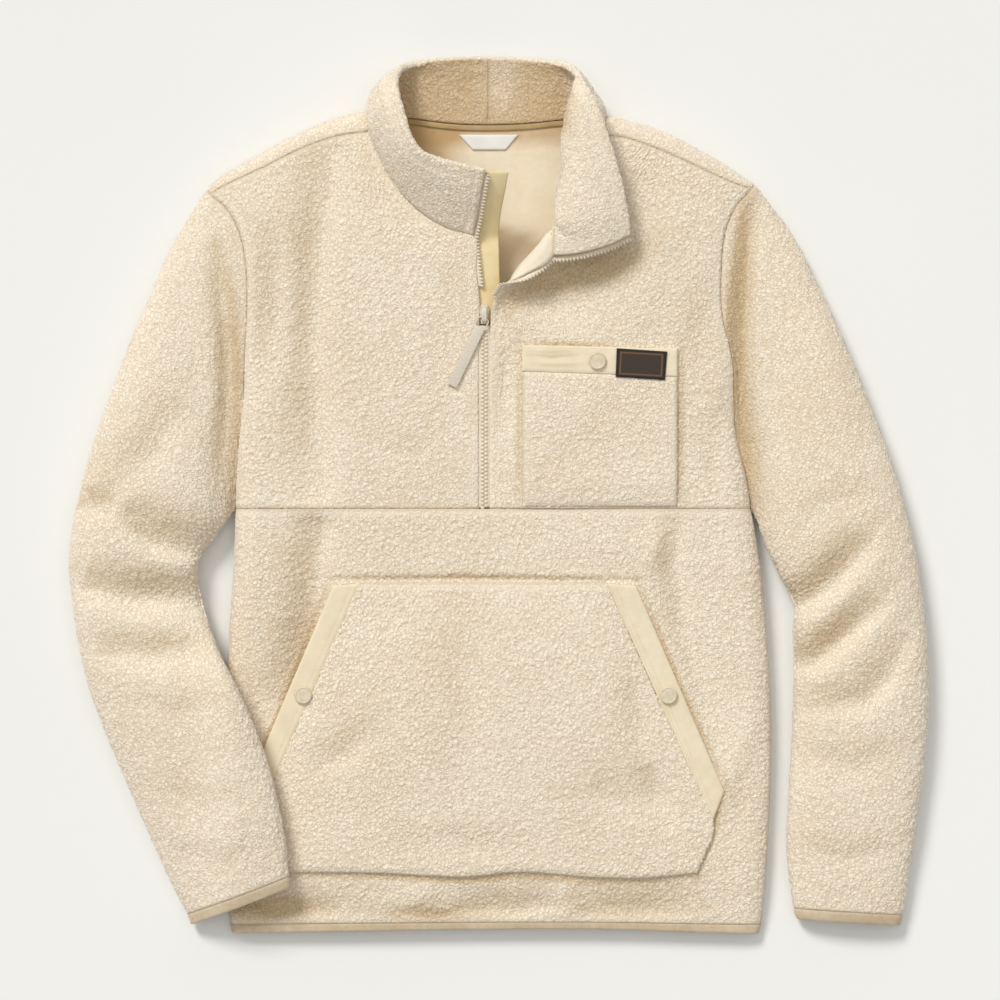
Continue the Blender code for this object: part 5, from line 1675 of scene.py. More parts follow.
@dataclass(frozen=True)
class WovenFinish:
    """Thin cloth: two crossing sets of threads, soft wrinkles, a change of tone and painted shade where the
    shade attribute gives it. Sizes in mm.
    """

    name: str
    colour: Rgb
    shade: Rgb
    across: float = 1.2
    along: float = 1.2
    thread_depth: float = 0.15
    wrinkle: float = 90.0
    wrinkle_depth: float = 0.5
    sheen: float = 0.1
    roughness: float = 0.85
    # Tint of painted shade, as on the back's inside in the open neck
    deep: Rgb = (208, 184, 150)

    def make(self, group: Tree) -> Material:
        """Builds the material from the thread group.

        Args:
            group: the thread group.

        Returns:
            The material.
        """
        tree, shader = new_material(
            self.name, self.roughness, Sheen_Weight=self.sheen, Specular_IOR_Level=0.2
        )
        sizes = {"Across": self.across * MM, "Along": self.along * MM, "Wrinkle": self.wrinkle}
        inputs = {"Place": place_of(tree), **sizes}
        threads, wrinkles, tone = node(tree, "ShaderNodeGroup", inputs, node_tree=group).outputs
        share = maths(tree, "MULTIPLY_ADD", threads, 0.35, spread(tree, tone, 0.0, 0.5))
        share = maths(tree, "ADD", share, spread(tree, wrinkles, -0.15, 0.15))
        colour = mix(tree, share, linear(self.shade), linear(self.colour))
        tree.links.new(with_painted_shade(tree, colour, self.deep), shader.inputs["Base Color"])
        fine = maths(tree, "MULTIPLY", threads, self.thread_depth * MM)
        relief = maths(tree, "MULTIPLY_ADD", wrinkles, self.wrinkle_depth * MM, fine)
        bump(tree, shader, relief)
        return bpy.data.materials[self.name]


@dataclass(frozen=True)
class ResinFinish:
    """Moulded resin or coated tab: faint mottling and softly glossy."""

    name: str
    colour: Rgb
    shade: Rgb
    roughness: float = 0.38
    mottle: float = 350.0

    def make(self) -> Material:
        """Builds the material.

        Returns:
            The material.
        """
        tree, shader = new_material(self.name, self.roughness, Specular_IOR_Level=0.45)
        mottles = noise(tree, place_of(tree), self.mottle, 3.0)
        colour = mix(tree, spread(tree, mottles), linear(self.shade), linear(self.colour))
        tree.links.new(colour, shader.inputs["Base Color"])
        rough = ramp(tree, mottles, 0.2, 0.8, self.roughness - 0.06, self.roughness + 0.12)
        tree.links.new(rough, shader.inputs["Roughness"])
        bump(tree, shader, mottles, 0.2, 0.0001)
        return bpy.data.materials[self.name]


@dataclass(frozen=True)
class LabelFinish:
    """Woven chest label: dark ground with a plain frame line inside its border."""

    name: str = "chest_label_weave"
    ground: Rgb = (66, 57, 50)
    border: Rgb = (40, 34, 31)
    frame: Rgb = (126, 92, 66)
    centre: tuple[float, float] = (0.1403, 0.1235)
    turn: float = -3.2
    half_width: float = 0.0225
    half_height: float = 0.0132
    frame_inset: float = 0.0036
    frame_width: float = 0.0011
    border_width: float = 0.0022
    thread_depth: float = 0.0002
    worn: Rgb = (96, 84, 74)

    def make(self, group: Tree) -> Material:
        """Builds the material from the thread group.

        Args:
            group: the thread group.

        Returns:
            The material.
        """
        tree, shader = new_material(self.name, 0.85, Sheen_Weight=0.15, Specular_IOR_Level=0.2)
        place = place_of(tree)
        centred = vector_maths(tree, "SUBTRACT", place, (*self.centre, 0.0))
        inputs = {"Vector": centred, "Angle": math.radians(-self.turn)}
        turned = result(tree, "ShaderNodeVectorRotate", inputs, rotation_type="Z_AXIS")
        parts = node(tree, "ShaderNodeSeparateXYZ", {0: turned})
        inside = [
            maths(tree, "SUBTRACT", half, maths(tree, "ABSOLUTE", parts.outputs[axis]))
            for axis, half in ((0, self.half_width), (1, self.half_height))
        ]
        depth = maths(tree, "MINIMUM", *inside)
        off_line = maths(tree, "ABSOLUTE", maths(tree, "SUBTRACT", depth, self.frame_inset))
        on_line = ramp(tree, off_line, self.frame_width * 0.4, self.frame_width * 0.8, 1.0, 0.0)
        at_border = ramp(tree, depth, self.border_width - 0.0004, self.border_width + 0.0004, 1.0, 0.0)
        inputs = {"Place": turned, "Across": 0.0009, "Along": 0.0007}
        threads = node(tree, "ShaderNodeGroup", inputs, node_tree=group).outputs["Threads"]
        ground = mix(tree, at_border, linear(self.ground), linear(self.border))
        framed = mix(tree, on_line, ground, linear(self.frame))
        worn = mix(tree, maths(tree, "MULTIPLY", threads, 0.3), framed, linear(self.worn))
        tree.links.new(worn, shader.inputs["Base Color"])
        bump(tree, shader, maths(tree, "MULTIPLY", threads, self.thread_depth))
        return bpy.data.materials[self.name]


class Wardrobe:
    """All finishes of the garment, made once: woven ones and resin ones by name, colours and scales."""

    WOVEN = (
        ("reverse", "fleece_reverse", (252, 241, 218), (245, 230, 202), 1.6, 1.1, 0.2, 140.0, 0.6, 0.3, 0.95),
        ("edging", "edge_binding", (226, 208, 180), (200, 178, 146), 1.4, 3.0, 0.4, 200.0, 0.4),
        ("woven", "woven_facing", (243, 230, 202), (232, 216, 184), 1.0, 1.0, 0.08, 110.0, 0.6),
        ("golden", "wind_flap_cloth", (246, 229, 184), (232, 210, 160), 1.0, 1.0, 0.08, 80.0, 0.9),
        ("tape", "neck_tape_twill", (206, 180, 134), (178, 150, 104), 1.2, 1.2, 0.2),
        ("zip_tape", "zip_tape", (242, 230, 209), (224, 209, 183), 0.9, 0.9, 0.1),
        ("thread", "sewing_thread", (242, 228, 204), (224, 207, 178), 0.6, 0.6, 0.1),
        ("neck_label", "neck_label_weave", (250, 249, 246), (238, 236, 231), 0.8, 0.8, 0.1, 60.0, 0.5)
    )
    RESIN = (
        ("teeth", "zip_teeth_resin", (240, 229, 209), (222, 208, 185), 0.34),
        ("slider", "zip_slider_enamel", (226, 217, 201), (204, 193, 174), 0.30),
        ("pull", "pull_tab_coating", (224, 214, 196), (208, 197, 177), 0.55, 900.0),
        ("snap", "snap_cap_resin", (226, 213, 187), (212, 198, 168), 0.42, 250.0)
    )

    def __init__(self) -> None:
        """Builds the shared groups and every material."""
        pile = PILE.shader_group()
        threads = weave_group()
        self.sherpa = SherpaFinish().make(pile)
        for key, *values in self.WOVEN:
            setattr(self, key, WovenFinish(*values).make(threads))
        for key, *values in self.RESIN:
            setattr(self, key, ResinFinish(*values).make())
        self.chest_label = LabelFinish().make(threads)
        self.fleece = (self.sherpa, self.reverse)


# ------ stitches and teeth


def polyline_mesh(name: str, lines: Sequence[SurfaceLine], lift: float = 0.0) -> Mesh:
    """Mesh of open lines in metres, with the way up kept at every point.

    Args:
        name: its name.
        lines: the lines, in millimetres.
        lift: how far the lines are moved up.

    Returns:
        The mesh.
    """
    places, ways, edges = [], [], []
    for line in lines:
        first = len(places)
        places += list((line.points + line.ways * lift) * MM)
        ways += list(line.ways)
        edges += [(k, k + 1) for k in range(first, len(places) - 1)]
    mesh = bpy.data.meshes.new(name)
    mesh.from_pydata([tuple(p) for p in places], edges, [])
    store(mesh, "up", "FLOAT_VECTOR", np.array(ways))
    return mesh


class LineRepeat:
    """Geometry tree that repeats a small rounded bead along lines."""

    def __init__(self) -> None:
        """Builds the tree once."""
        tree, start, end = add_group(
            "beads_along_lines", "GeometryNodeTree",
            (
                ("Geometry", "NodeSocketGeometry"), ("Pitch", "NodeSocketFloat", 0.003),
                ("Size", "NodeSocketVector"), ("Squareness", "NodeSocketFloat", 0.0),
                ("Finish", "NodeSocketMaterial")
            ),
            (("Geometry", "NodeSocketGeometry"),)
        )
        lines, pitch, size, squareness, finish = list(start.outputs)[:5]
        curve = result(tree, "GeometryNodeMeshToCurve", {0: lines})
        spaced = result(tree, "GeometryNodeResampleCurve", {"Curve": curve, 3: pitch}, mode="LENGTH")
        cube = result(tree, "GeometryNodeMeshCube", {"Size": (1.0, 1.0, 1.0)})
        rounded = {"Mesh": cube, "Level": 1, "Edge Crease": squareness}
        bead = result(tree, "GeometryNodeSubdivisionSurface", rounded)
        sized = result(tree, "GeometryNodeTransform", {"Geometry": bead, "Scale": size})
        up = result(tree, "GeometryNodeInputNamedAttribute", {"Name": "up"}, data_type="FLOAT_VECTOR")
        tangent = result(tree, "GeometryNodeInputTangent")
        along = result(tree, "FunctionNodeAlignRotationToVector", {"Vector": tangent}, axis="X")
        upright = {"Rotation": along, "Vector": up}
        turned = result(tree, "FunctionNodeAlignRotationToVector", upright, axis="Z", pivot_axis="X")
        beads = {"Points": spaced, "Instance": sized, "Rotation": turned}
        placed = result(tree, "GeometryNodeInstanceOnPoints", beads)
        real = result(tree, "GeometryNodeRealizeInstances", {0: placed})
        smooth = result(tree, "GeometryNodeSetShadeSmooth", {0: real})
        dressed = result(tree, "GeometryNodeSetMaterial", {"Geometry": smooth, "Material": finish})
        tree.links.new(dressed, end.inputs[0])
        self.tree = tree

    def make(
        self, name: str, lines: Sequence[SurfaceLine], pitch: float, size: Sequence[float],
        material: Material, slot: str, lift: float, squareness: float = 0.0
    ) -> None:
        """Makes a piece of beads along lines.

        Args:
            name: name of the piece.
            lines: the lines, in millimetres.
            pitch: step from bead to bead.
            size: a bead's length along, width across and height.
            material: its finish.
            slot: its slot.
            lift: height of the beads' middle over the line.
            squareness: from 0, round, to 1, square.
        """
        inputs = {
            "Pitch": pitch * MM, "Size": [s * MM for s in size], "Squareness": squareness, "Finish": material
        }
        mesh = run_tree(name, self.tree, polyline_mesh(name + "_lines", lines, lift), inputs)
        declare(add_mesh(name, mesh), (), slot)


@dataclass
class Sewing:
    """Rows of topstitching, gathered from the panels and made as one piece."""

    repeat: LineRepeat
    material: Material
    pitch: float = 3.2
    size: tuple[float, float, float] = (2.7, 0.55, 0.4)
    lines: list[SurfaceLine] = field(default_factory=list)

    def sew(self, *panels: Panel) -> None:
        """Makes panels, and adds a row of stitches in each of their stitched grooves.

        Args:
            *panels: the panels.
        """
        for panel in panels:
            panel.make()
            self.lines += [panel.line(g.edge, g.offset, *g.stitched) for g in panel.grooves if g.stitched]

    def make(self) -> None:
        """Sews every row."""
        self.repeat.make("topstitching", self.lines, self.pitch, self.size, self.material, "woven", 0.1)


# ------ the body


BINDING = {
    "wrap": True, "free": (Edge.LAST_ROW,), "seam_depth": 0.4, "slot": "edging",
    "grooves": (Groove(Edge.FIRST_ROW, 2.2, 0.35, 0.6),)
}

POCKET_CREASES = creases(
    (-3.0, 18, 11, (-160, -246), (-126, -232), (-100, -208)),
    (-2.2, 18, 22, (-20, -84), (-14, -170), (-20, -270)),
    (-3.0, 26, 16, (92, -262), (124, -276), (166, -268)), (-4.5, 10, 12, (146, -240), (170, -306)),
    (-3.0, 12, 14, (134, -160), (144, -238)), (-1.4, 14, 0, (-90, -318), (-30, -312), (40, -322)),
    (1.2, 22, 0, (60, -210), (84, -270))
)


@dataclass
class Body:
    """Back, chest panels, lower front and the hem's binding."""

    finishes: Wardrobe
    front_spacing: float = 1.75
    back_spacing: float = 3.2
    edge_ease: float = 45.0
    shoulder_ease: float = 60.0
    neck_rise_run: float = 42.0
    hem_wall: float = 3.0
    front_ys: tuple[float, ...] = (
        HEM_SEAM, -372, -345, -305, -265, -225, -185, -145, -105, -65, -35, CHEST_SEAM
    )
    back_ys: tuple[float, ...] = (HEM_SEAM, -350, -300, -245, -190, -130, -65, -30)
    lower_creases: tuple[Crease, ...] = creases(
        (-11.0, 9, 24, (-150, -4), (-154, -60), (-155, -110), (-166, -150), (-184, -210)),
        (-5.0, 9, 14, (174, -14), (172, -60), (180, -112), (200, -168), (214, -214)),
        (-2.0, 3.2, 2.4, (-160, -73), (-20, -72), (150, -74)), (2.4, 11, 0, (154, -22), (151, -66)),
        (1.8, 12, 0, (242, -195), (226, -240), (209, -290)),
        (-1.6, 12, 0, (-228, -150), (-208, -185), (-222, -230)),
        (-3.0, 9, 5, (-90, -380), (-50, -384), (0, -380)), (-4.5, 18, 7, (-30, -372), (25, -378), (70, -370)),
        (-5.0, 22, 7, (84, -376), (130, -381), (190, -376)), (1.8, 10, 0, (72, -344), (76, -376)),
        (1.6, 14, 0, (-60, -348), (-62, -376)), (-4.5, 17, 6, (-244, -352), (-190, -378), (-120, -380)),
        (0.8, 16, 0, (60, -28), (110, -44), (150, -38))
    )
    chest_right_creases: tuple[Crease, ...] = creases(
        (-10.0, 13, 25, (-142, 316), (-146, 270), (-153, 220), (-157, 150), (-152, 80), (-148, -16)),
        (-4.0, 12, 15, (-195, 256), (-192, 190), (-196, 120)), (-1.6, 7, 0, (-8, 96), (-7, 54)),
        (-1.2, 16, 0, (-110, 300), (-80, 230), (-60, 180)), (-0.9, 12, 0, (-34, 200), (-38, 130), (-30, 60)),
        (-0.9, 14, 0, (-120, 60), (-84, 40), (-50, 46))
    )
    chest_left_creases: tuple[Crease, ...] = creases(
        (-2.4, 9, 11, (18, 140), (15, 50)), (-2.2, 15, 0, (206, 205), (198, 158), (196, 100)),
        (-1.4, 13, 0, (222, 96), (210, 60), (210, 10)), (-1.4, 16, 0, (150, 300), (126, 252), (112, 204)),
        (1.2, 16, 0, (184, 270), (160, 230), (150, 180))
    )

    lower_shades: tuple[Crease, ...] = creases(
        (0.85, 3.5, 2.5, (-142, -66), (-186, -184), (-228, -276)),
        (0.85, 2.5, 3.5, (134, -64), (178, -172), (224, -272)),
        (1.1, 4, 5, (216, -262), (208, -294), (190, -346)),
        (
            0.9, 4.5, 3, (-200, -343), (-100, -344), (-20, -348), (30, -343), (100, -349), (150, -349),
            (200, -343)
        ),
        (0.55, 11, 5, (-110, -378), (-50, -384), (20, -378)),
        (0.4, 20, 7, (70, -374), (130, -380), (210, -374)),
        (1.2, 12, 12, (-260, -370), (-216, -374), (-150, -374))
    )
    left_shades: tuple[Crease, ...] = creases(
        (1.3, 18, 15, (2, 176), (40, 196), (80, 206), (120, 214), (150, 234)),
        (0.8, 2.5, 2, (26, 143.5), (60, 142.5), (118, 141)),
        (0.8, 3.2, 2.4, (177, 150), (176.5, 70), (176.5, -12)),
        (0.6, 2.4, 2.8, (29.5, 150), (29, 70), (29, -12))
    )

    def lower_front(self) -> Panel:
        """Front below the chest seam.

        Returns:
            The panel.
        """
        grid = [[hem_point(x, y, True) for x in columns_across(y, LEVEL_STEPS)] for y in self.front_ys]
        return Panel(
            "lower_front_panel", ("front_lower",), grid, Cut(0.523, 0.384, rests_on=("back",)),
            side_facings(len(grid), len(grid[0]) - 1), spacing=self.front_spacing,
            creases=self.lower_creases + POCKET_CREASES, materials=self.finishes.fleece, flattened=4.0,
            shades=self.lower_shades, grooves=(Groove(Edge.LAST_ROW, 4.0, 0.25, 1.6, None),)
        )

    def chest(
        self, name: str, nodes: tuple[str, ...], side: Side, edge_points: list[Vector], cut: Cut,
        creases: tuple[Crease, ...], extra: list[list[Vector]] | None = None, skip: int = 4,
        shades: tuple[Crease, ...] = ()
    ) -> Panel:
        """Front chest panel of one side, from the armhole to the line edge_points.

        Args:
            name: name of the piece.
            nodes: nodes that it stands for.
            side: side of the garment.
            edge_points: points of its edge by the zip and the neck, from the chest seam up.
            cut: size that it is cut to.
            creases: its folds.
            extra: for each row, more points past that edge, as for a lapel that turns over.
            skip: how much coarser the inner face is.
            shades: where it lies in shade.

        Returns:
            The panel.
        """
        right_side = side is Side.RIGHT
        rows = ARMHOLE_STEPS
        columns = len(ACROSS[side]) if right_side else LAPEL_FOOT + 1
        armhole_rows = ARMHOLE_FRONT[side].samples(rows)
        armhole = [point(row) for row in armhole_rows]
        foot = side_point(CHEST_SEAM, right_side)
        way = 1 if right_side else -1
        run = abs(edge_points[0].x - foot.x)
        bottom = [
            body_point(foot.x + way * share * min(SHOULDER_RUN, run), CHEST_SEAM, True)
            for share in ACROSS[side][: columns - 1]
        ]
        bottom.append(edge_points[0])
        shoulder = [point(row) for row in shoulder_rows(side)[:columns]]
        edge_points[-1] = shoulder[-1]
        grid = patch(bottom, shoulder, armhole, edge_points)
        side_rise, top_rise, edge_rise = (
            [p.z - front_height(p.x, p.y) for p in line] for line in (armhole, shoulder, edge_points)
        )
        roll = SIDES.at(CHEST_SEAM).roll
        for i in range(1, rows):
            for j in range(1, columns - 1):
                place = grid[i][j]
                side_share = 1 - rounding(abs(place.x - grid[i][0].x), roll)
                edge_share = (1 - min((place - grid[i][-1]).xy.length / self.edge_ease, 1.0)) ** 2
                top_share = (1 - min((grid[-1][j] - place).xy.length / self.shoulder_ease, 1.0)) ** 2
                upper = edge_rise[i] * edge_share + top_rise[j] * top_share * (1 - edge_share)
                level = front_height(place.x, place.y)
                place.z = level + side_rise[i] * side_share + upper * (1 - side_share)
        facings = {(i, 0): facing(row) for i, row in enumerate(armhole_rows)}
        for j, row in enumerate(shoulder_rows(side)):
            facings[rows, j] = shoulder_facing(row)
        for j, place in enumerate(bottom):
            ahead = body_point(place.x + 1, CHEST_SEAM, True) - body_point(place.x - 1, CHEST_SEAM, True)
            facings[0, j] = Vector((-ahead.z, 0, ahead.x)).normalized()
        facings[0, 0] = Vector((-way, 0, 0))
        if extra:
            grid = [row + more for row, more in zip(grid, extra)]
            for j in range(columns - 1, len(grid[0])):
                facings[0, j] = Vector((0, 0, 1))
        last = len(grid[0]) - 1
        ring = neck_ring(side)
        for k in range(NECK_FRONT_STEPS + 1):
            facings[ZIP_STEPS + k, last] = ring[k][1]
        return Panel(
            name, nodes, grid, cut, facings, spacing=self.front_spacing, skip=skip, creases=creases,
            materials=self.finishes.fleece, shades=shades, clean=(Edge.LAST_COLUMN,),
            grooves=(Groove(Edge.LAST_COLUMN, 7.0, 0.5, 1.2), Groove(Edge.FIRST_COLUMN, 6.0, 0.4, 1.2))
        )

    def chest_right(self) -> Panel:
        """Right chest panel, from the armhole to the closed zip's edge.

        Returns:
            The panel.
        """
        zip_edge = [point(row) for row in ZIP_RIGHT.samples(ZIP_STEPS)]
        neck = [point(row) for row in NECK_FRONT[Side.RIGHT].samples(NECK_FRONT_STEPS)]
        return self.chest(
            "chest_panel_right", ("front_chest_right",), Side.RIGHT, zip_edge + neck[1:],
            Cut(0.25, 0.36, 0.0725, ("back",)), self.chest_right_creases
        )

    def lapel_points(self, row: tuple) -> list[Vector]:
        """Points from the chest over the lapel's roll to the edge of the left front.

        Args:
            row: a row of the lapel's table.

        Returns:
            The points, the first just past its foot.
        """
        foot = point(row, "foot_")
        roll = point(row, "roll_")
        edge = point(row)
        lead = foot - (roll - foot) * 0.5
        lead.z = foot.z
        return smooth_path([foot, roll, edge], len(ACROSS[Side.LEFT]) - 1 - LAPEL_FOOT, lead)[1:]

    def chest_left(self) -> Panel:
        """Left chest panel, whose top turns over beside the open zip.

        Returns:
            The panel.
        """
        rows = [LAPEL.at(k) for k in range(ARMHOLE_STEPS + 1)]
        feet = [point(row, "foot_") for row in rows]
        more = [self.lapel_points(row) for row in rows]
        more[-1] = [point(row) for row in shoulder_rows(Side.LEFT)[LAPEL_FOOT + 1 :]]
        ring = neck_ring(Side.LEFT)
        for k in range(NECK_FRONT_STEPS + 1):
            more[ZIP_STEPS + k][-1] = ring[k][0].copy()
        return self.chest(
            "chest_panel_left", ("front_chest_left",), Side.LEFT, feet, Cut(0.26, 0.36, 0.072, ("back",)),
            self.chest_left_creases, more, 2, self.left_shades
        )

    def back_row(self, y: float) -> list[Vector]:
        """Row of the back panel's middle surface."""
        return [hem_point(x, y, False) for x in columns_across(y, 2 * NECK_BACK_STEPS, Side.LEFT)]

    def back(self) -> Panel:
        """Back panel, with the part of the shoulders that rolls over to the front.

        Returns:
            The panel.
        """
        grid = [self.back_row(y) for y in self.back_ys]
        bottom = self.back_row(CHEST_SEAM)
        armholes = {
            side: [point(row) for row in reversed(ARMHOLE_BACK[side].samples(BACK_ARMHOLE_STEPS))]
            for side in Side
        }
        rolls = {side: [shoulder_roll(row) for row in shoulder_rows(side)] for side in Side}
        feet = {side: [roll[0] for roll in rolls[side]] for side in Side}
        neck = [point(row) for row in NECK_BACK.samples(2 * NECK_BACK_STEPS)]
        top = feet[Side.RIGHT] + neck[1:-1] + list(reversed(feet[Side.LEFT]))
        upper = patch(bottom, top, armholes[Side.RIGHT], armholes[Side.LEFT])
        for row in upper:
            for j in range(1, len(row) - 1):
                inward = min(row[j].x - row[0].x, row[-1].x - row[j].x)
                near_top = max(0.0, 1 - (top[j] - row[j]).length / self.neck_rise_run)
                side_share = 1 - rounding(inward, SIDES.at(CHEST_SEAM).roll)
                row[j].z = HALF + (row[0].z - HALF) * side_share + (top[j].z - HALF) * near_top
        grid += upper
        foot_row = len(grid) - 1
        columns = len(top)
        for k in range(1, ROLL_STEPS + 1):
            right, left = ([roll[k] for roll in rolls[side]] for side in Side)
            grid.append(right + [None] * (columns - len(right) - len(left)) + left[::-1])
        facings = self.back_facings(foot_row, columns)
        return Panel(
            "back_panel", ("back",), grid, Cut(0.56, 0.79, 0.364), facings, spacing=self.back_spacing, skip=2,
            pile_height=1.6, materials=self.finishes.fleece, inside=self.painted_neck_shade,
            creases=creases(
                (-1.2, 16, 0, (-60, 300), (10, 282), (80, 300)),
                (3.5, 16, 0, (-170, 220), (-150, 80), (-165, -60)),
                (3.5, 16, 0, (165, 200), (150, 60), (172, -80)),
                (3.0, 18, 0, (-190, -220), (-40, -250), (60, -230)),
                (3.0, 16, 0, (120, -150), (60, -40), (80, 60)),
                (2.6, 14, 0, (-60, -340), (40, -362), (170, -345))
            )
        )

    def painted_neck_shade(self, x: np.ndarray, y: np.ndarray) -> np.ndarray:
        """Painted shade on the back's inside in the open neck: by the lapel, and under the collar.

        Args:
            x: places across.
            y: places up.

        Returns:
            The shade at each place.
        """
        lapel = 0.55 * eased(y + 0.3 * (x - 12), 254, 248) * eased(y, 172, 232)
        seam = 0.7 * eased(y, 322, 334)
        collar = 0.8 * eased(x, -16, -44) * eased(y, 296, 308)
        return np.clip(np.maximum(lapel, seam) + collar, 0, 1)

    def back_facings(self, foot_row: int, columns: int) -> dict[Key, Vector]:
        """The ways that the back panel's seams face.

        Args:
            foot_row: row where the shoulders leave the surface.
            columns: number of columns.

        Returns:
            Facing by row and column.
        """
        armpit_row = len(self.back_ys)
        facings = side_facings(armpit_row + 1, columns - 1)
        for side in Side:
            at = range(columns) if side is Side.RIGHT else range(columns - 1, -1, -1)
            for k, row in enumerate(ARMHOLE_BACK[side].samples(BACK_ARMHOLE_STEPS)[-2::-1], start=1):
                facings[armpit_row + k, at[0]] = facing(row)
            armhole, neck = ([way for _, way in ring(side)] for ring in (armhole_ring, neck_ring))
            neck_column = len(ACROSS[side]) - 1
            for k in range(1, ROLL_STEPS + 1):
                facings[foot_row + k, at[0]] = armhole[ARMHOLE_STEPS + ROLL_STEPS - k]
            for k in range(ROLL_STEPS + 1):
                facings[foot_row + k, at[neck_column]] = neck[NECK_FRONT_STEPS + ROLL_STEPS - k]
            for k in range(1, NECK_BACK_STEPS + 1):
                facings[foot_row, at[neck_column + k]] = neck[NECK_FRONT_STEPS + ROLL_STEPS + k]
            for j, row in enumerate(shoulder_rows(side)[:-1]):
                facings[foot_row + ROLL_STEPS, at[j]] = shoulder_facing(row)
        return facings

    def hem_binding(self) -> Panel:
        """Folded binding all round the hem.

        Returns:
            The panel.
        """
        grid = []
        for y in (HEM_SEAM, (HEM_SEAM + HEM_END) / 2, HEM_END):
            xs = columns_across(y, LEVEL_STEPS)
            front = [hem_point(x, y, True) for x in xs]
            back = [hem_point(x, y, False) for x in reversed(xs)]
            grid.append(front + back[1:-1])
        return trim(
            "hem_edge_binding", "hem_binding", grid, Cut(1.03, 0.01, 0.0091), self.finishes.edging,
            self.hem_wall, facings=side_facings(len(grid), len(xs) - 1), **BINDING
        )

    def make(self, sewing: Sewing) -> None:
        """Makes every panel of the body, and its topstitching."""
        sewing.sew(self.lower_front(), self.chest_right(), self.chest_left(), self.back(), self.hem_binding())


# ------ the collar


@dataclass
class Collar:
    """Double stand collar, turned out on the left, with the tape over its back seam."""

    finishes: Wardrobe
    wall: float = 7.0
    spacing: float = 2.0
    tape_width: float = 5.0
    tape_wall: float = 1.2
    tape_end: float = 0.04
    tape_gap: float = 0.6
    rise_run: float = 42.0

    def half(self, side: Side) -> Panel:
        """One half of the collar, with pile on both faces.

        Args:
            side: half of the collar.

        Returns:
            The panel.
        """
        facings = {(k, 0): way for k, (_, way) in enumerate(neck_ring(side))}
        return Panel(
            "collar_half_" + side.value, ("collar_" + side.value,), collar_grid(side),
            Cut(0.075, 0.30, 0.0199), facings, self.wall, inset=0.3, free=(Edge.LAST_COLUMN,),
            spacing=self.spacing, skip=1, pile=Pile.BOTH, seam_depth=1.6, seam_width=3.0,
            materials=(self.finishes.sherpa,), inside=self.painted_collar_shade,
            grooves=(
                Groove(Edge.FIRST_ROW, 8.0, 0.9, 1.4, (0.1, 0.95)),
                Groove(Edge.LAST_COLUMN, 8.0, 0.7, 1.5, (0.02, 0.98))
            )
        )

    def painted_collar_shade(self, x: np.ndarray, y: np.ndarray) -> np.ndarray:
        """Painted shade on the collar's inside: full behind the neck, with less of it at a pale centre seam.
        """
        centre_seam = 0.55 * bell(x - 12, 17) * eased(y, 345, 370)
        return eased(y, 326, 340) * eased(x, 84, 68) * (1 - centre_seam)

    def inside_back(self, x: float, y: float, offset: float) -> Vector:
        """Point above the back panel's inner face, near the neck.

        Args:
            x: place across.
            y: place up.
            offset: height over the face.

        Returns:
            The point.
        """
        top = NECK_BACK.at(clamp((x + 93) / 186))
        rise = (top.z - HALF) * max(0.0, 1 - (top.y - y) / self.rise_run)
        return Vector((x, y, HALF * 2 + rise + LAY_GAP + offset))

    def tape(self) -> Panel:
        """Twill tape that covers the back neck seam.

        Returns:
            The panel.
        """
        grid = []
        for k in range(2 * NECK_BACK_STEPS + 1):
            seam = NECK_BACK.at(self.tape_end + (1 - 2 * self.tape_end) * k / (2 * NECK_BACK_STEPS))
            head_y = seam.y - self.tape_gap
            foot, head = (
                self.inside_back(seam.x, y, self.tape_wall / 2) for y in (head_y - self.tape_width, head_y)
            )
            grid.append([foot, foot.lerp(head, 0.5), head])
        return trim(
            "neck_seam_tape", "neck_tape", grid, Cut(0.173, 0.0108, 0.001), self.finishes.tape,
            self.tape_wall, seam_depth=0.3, seam_width=0.6
        )

    def make(self, sewing: Sewing) -> None:
        """Makes both halves and the tape."""
        sewing.sew(*map(self.half, Side), self.tape())


# ------ the sleeves


# Folds of each sleeve: gathered at the inside of the elbow, softer elsewhere
SLEEVE_FOLDS = {
    Side.RIGHT: creases(
        (-10.5, 25, 8, (-340, -14), (-304, -40), (-280, -46), (-238, -50)),
        (-11.0, 23, 12, (-368, -76), (-322, -91), (-290, -92), (-238, -99)),
        (-5.0, 18, 12, (-356, -136), (-304, -144), (-250, -138)), (-4.5, 16, 8, (-372, -4), (-330, -14)),
        (-4.0, 24, 14, (-350, 4), (-304, 40), (-276, 90)),
        (-6.0, 8, 9, (-246, 226), (-237, 140), (-236, 100), (-241, 40), (-241, 0)),
        (-1.8, 14, 0, (-240, -184), (-280, -194), (-330, -182)),
        (-1.6, 14, 0, (-212, -262), (-250, -280), (-300, -262)),
        (-1.4, 11, 0, (-204, -318), (-236, -332), (-284, -318))
    ),
    Side.LEFT: creases(
        (-9.5, 20, 8, (256, -110), (300, -90), (322, -70), (352, -36)),
        (-9.5, 19, 8, (262, -154), (300, -149), (320, -133), (342, -112), (362, -92)),
        (-5.5, 20, 9, (292, -190), (345, -185), (368, -160), (384, -118)),
        (-8.0, 10, 11, (242, 272), (236, 200), (233, 150), (235, 104), (240, 56), (252, -6)),
        (1.4, 16, 0, (296, 196), (312, 130), (330, 70)), (-1.6, 13, 0, (284, -20), (320, 0), (360, 4)),
        (-1.8, 15, 0, (290, -232), (336, -244), (384, -226)),
        (-1.6, 12, 0, (290, -318), (330, -330), (376, -316))
    )
}
SLEEVE_SHADES = {
    Side.RIGHT: creases((0.9, 7, 9, (-246, 236), (-232, 180), (-228, 110), (-234, 40), (-236, -16))),
    Side.LEFT: creases((1.3, 13, 7, (238, 280), (229, 200), (225, 150), (228, 100), (238, 40), (250, -24)))
}


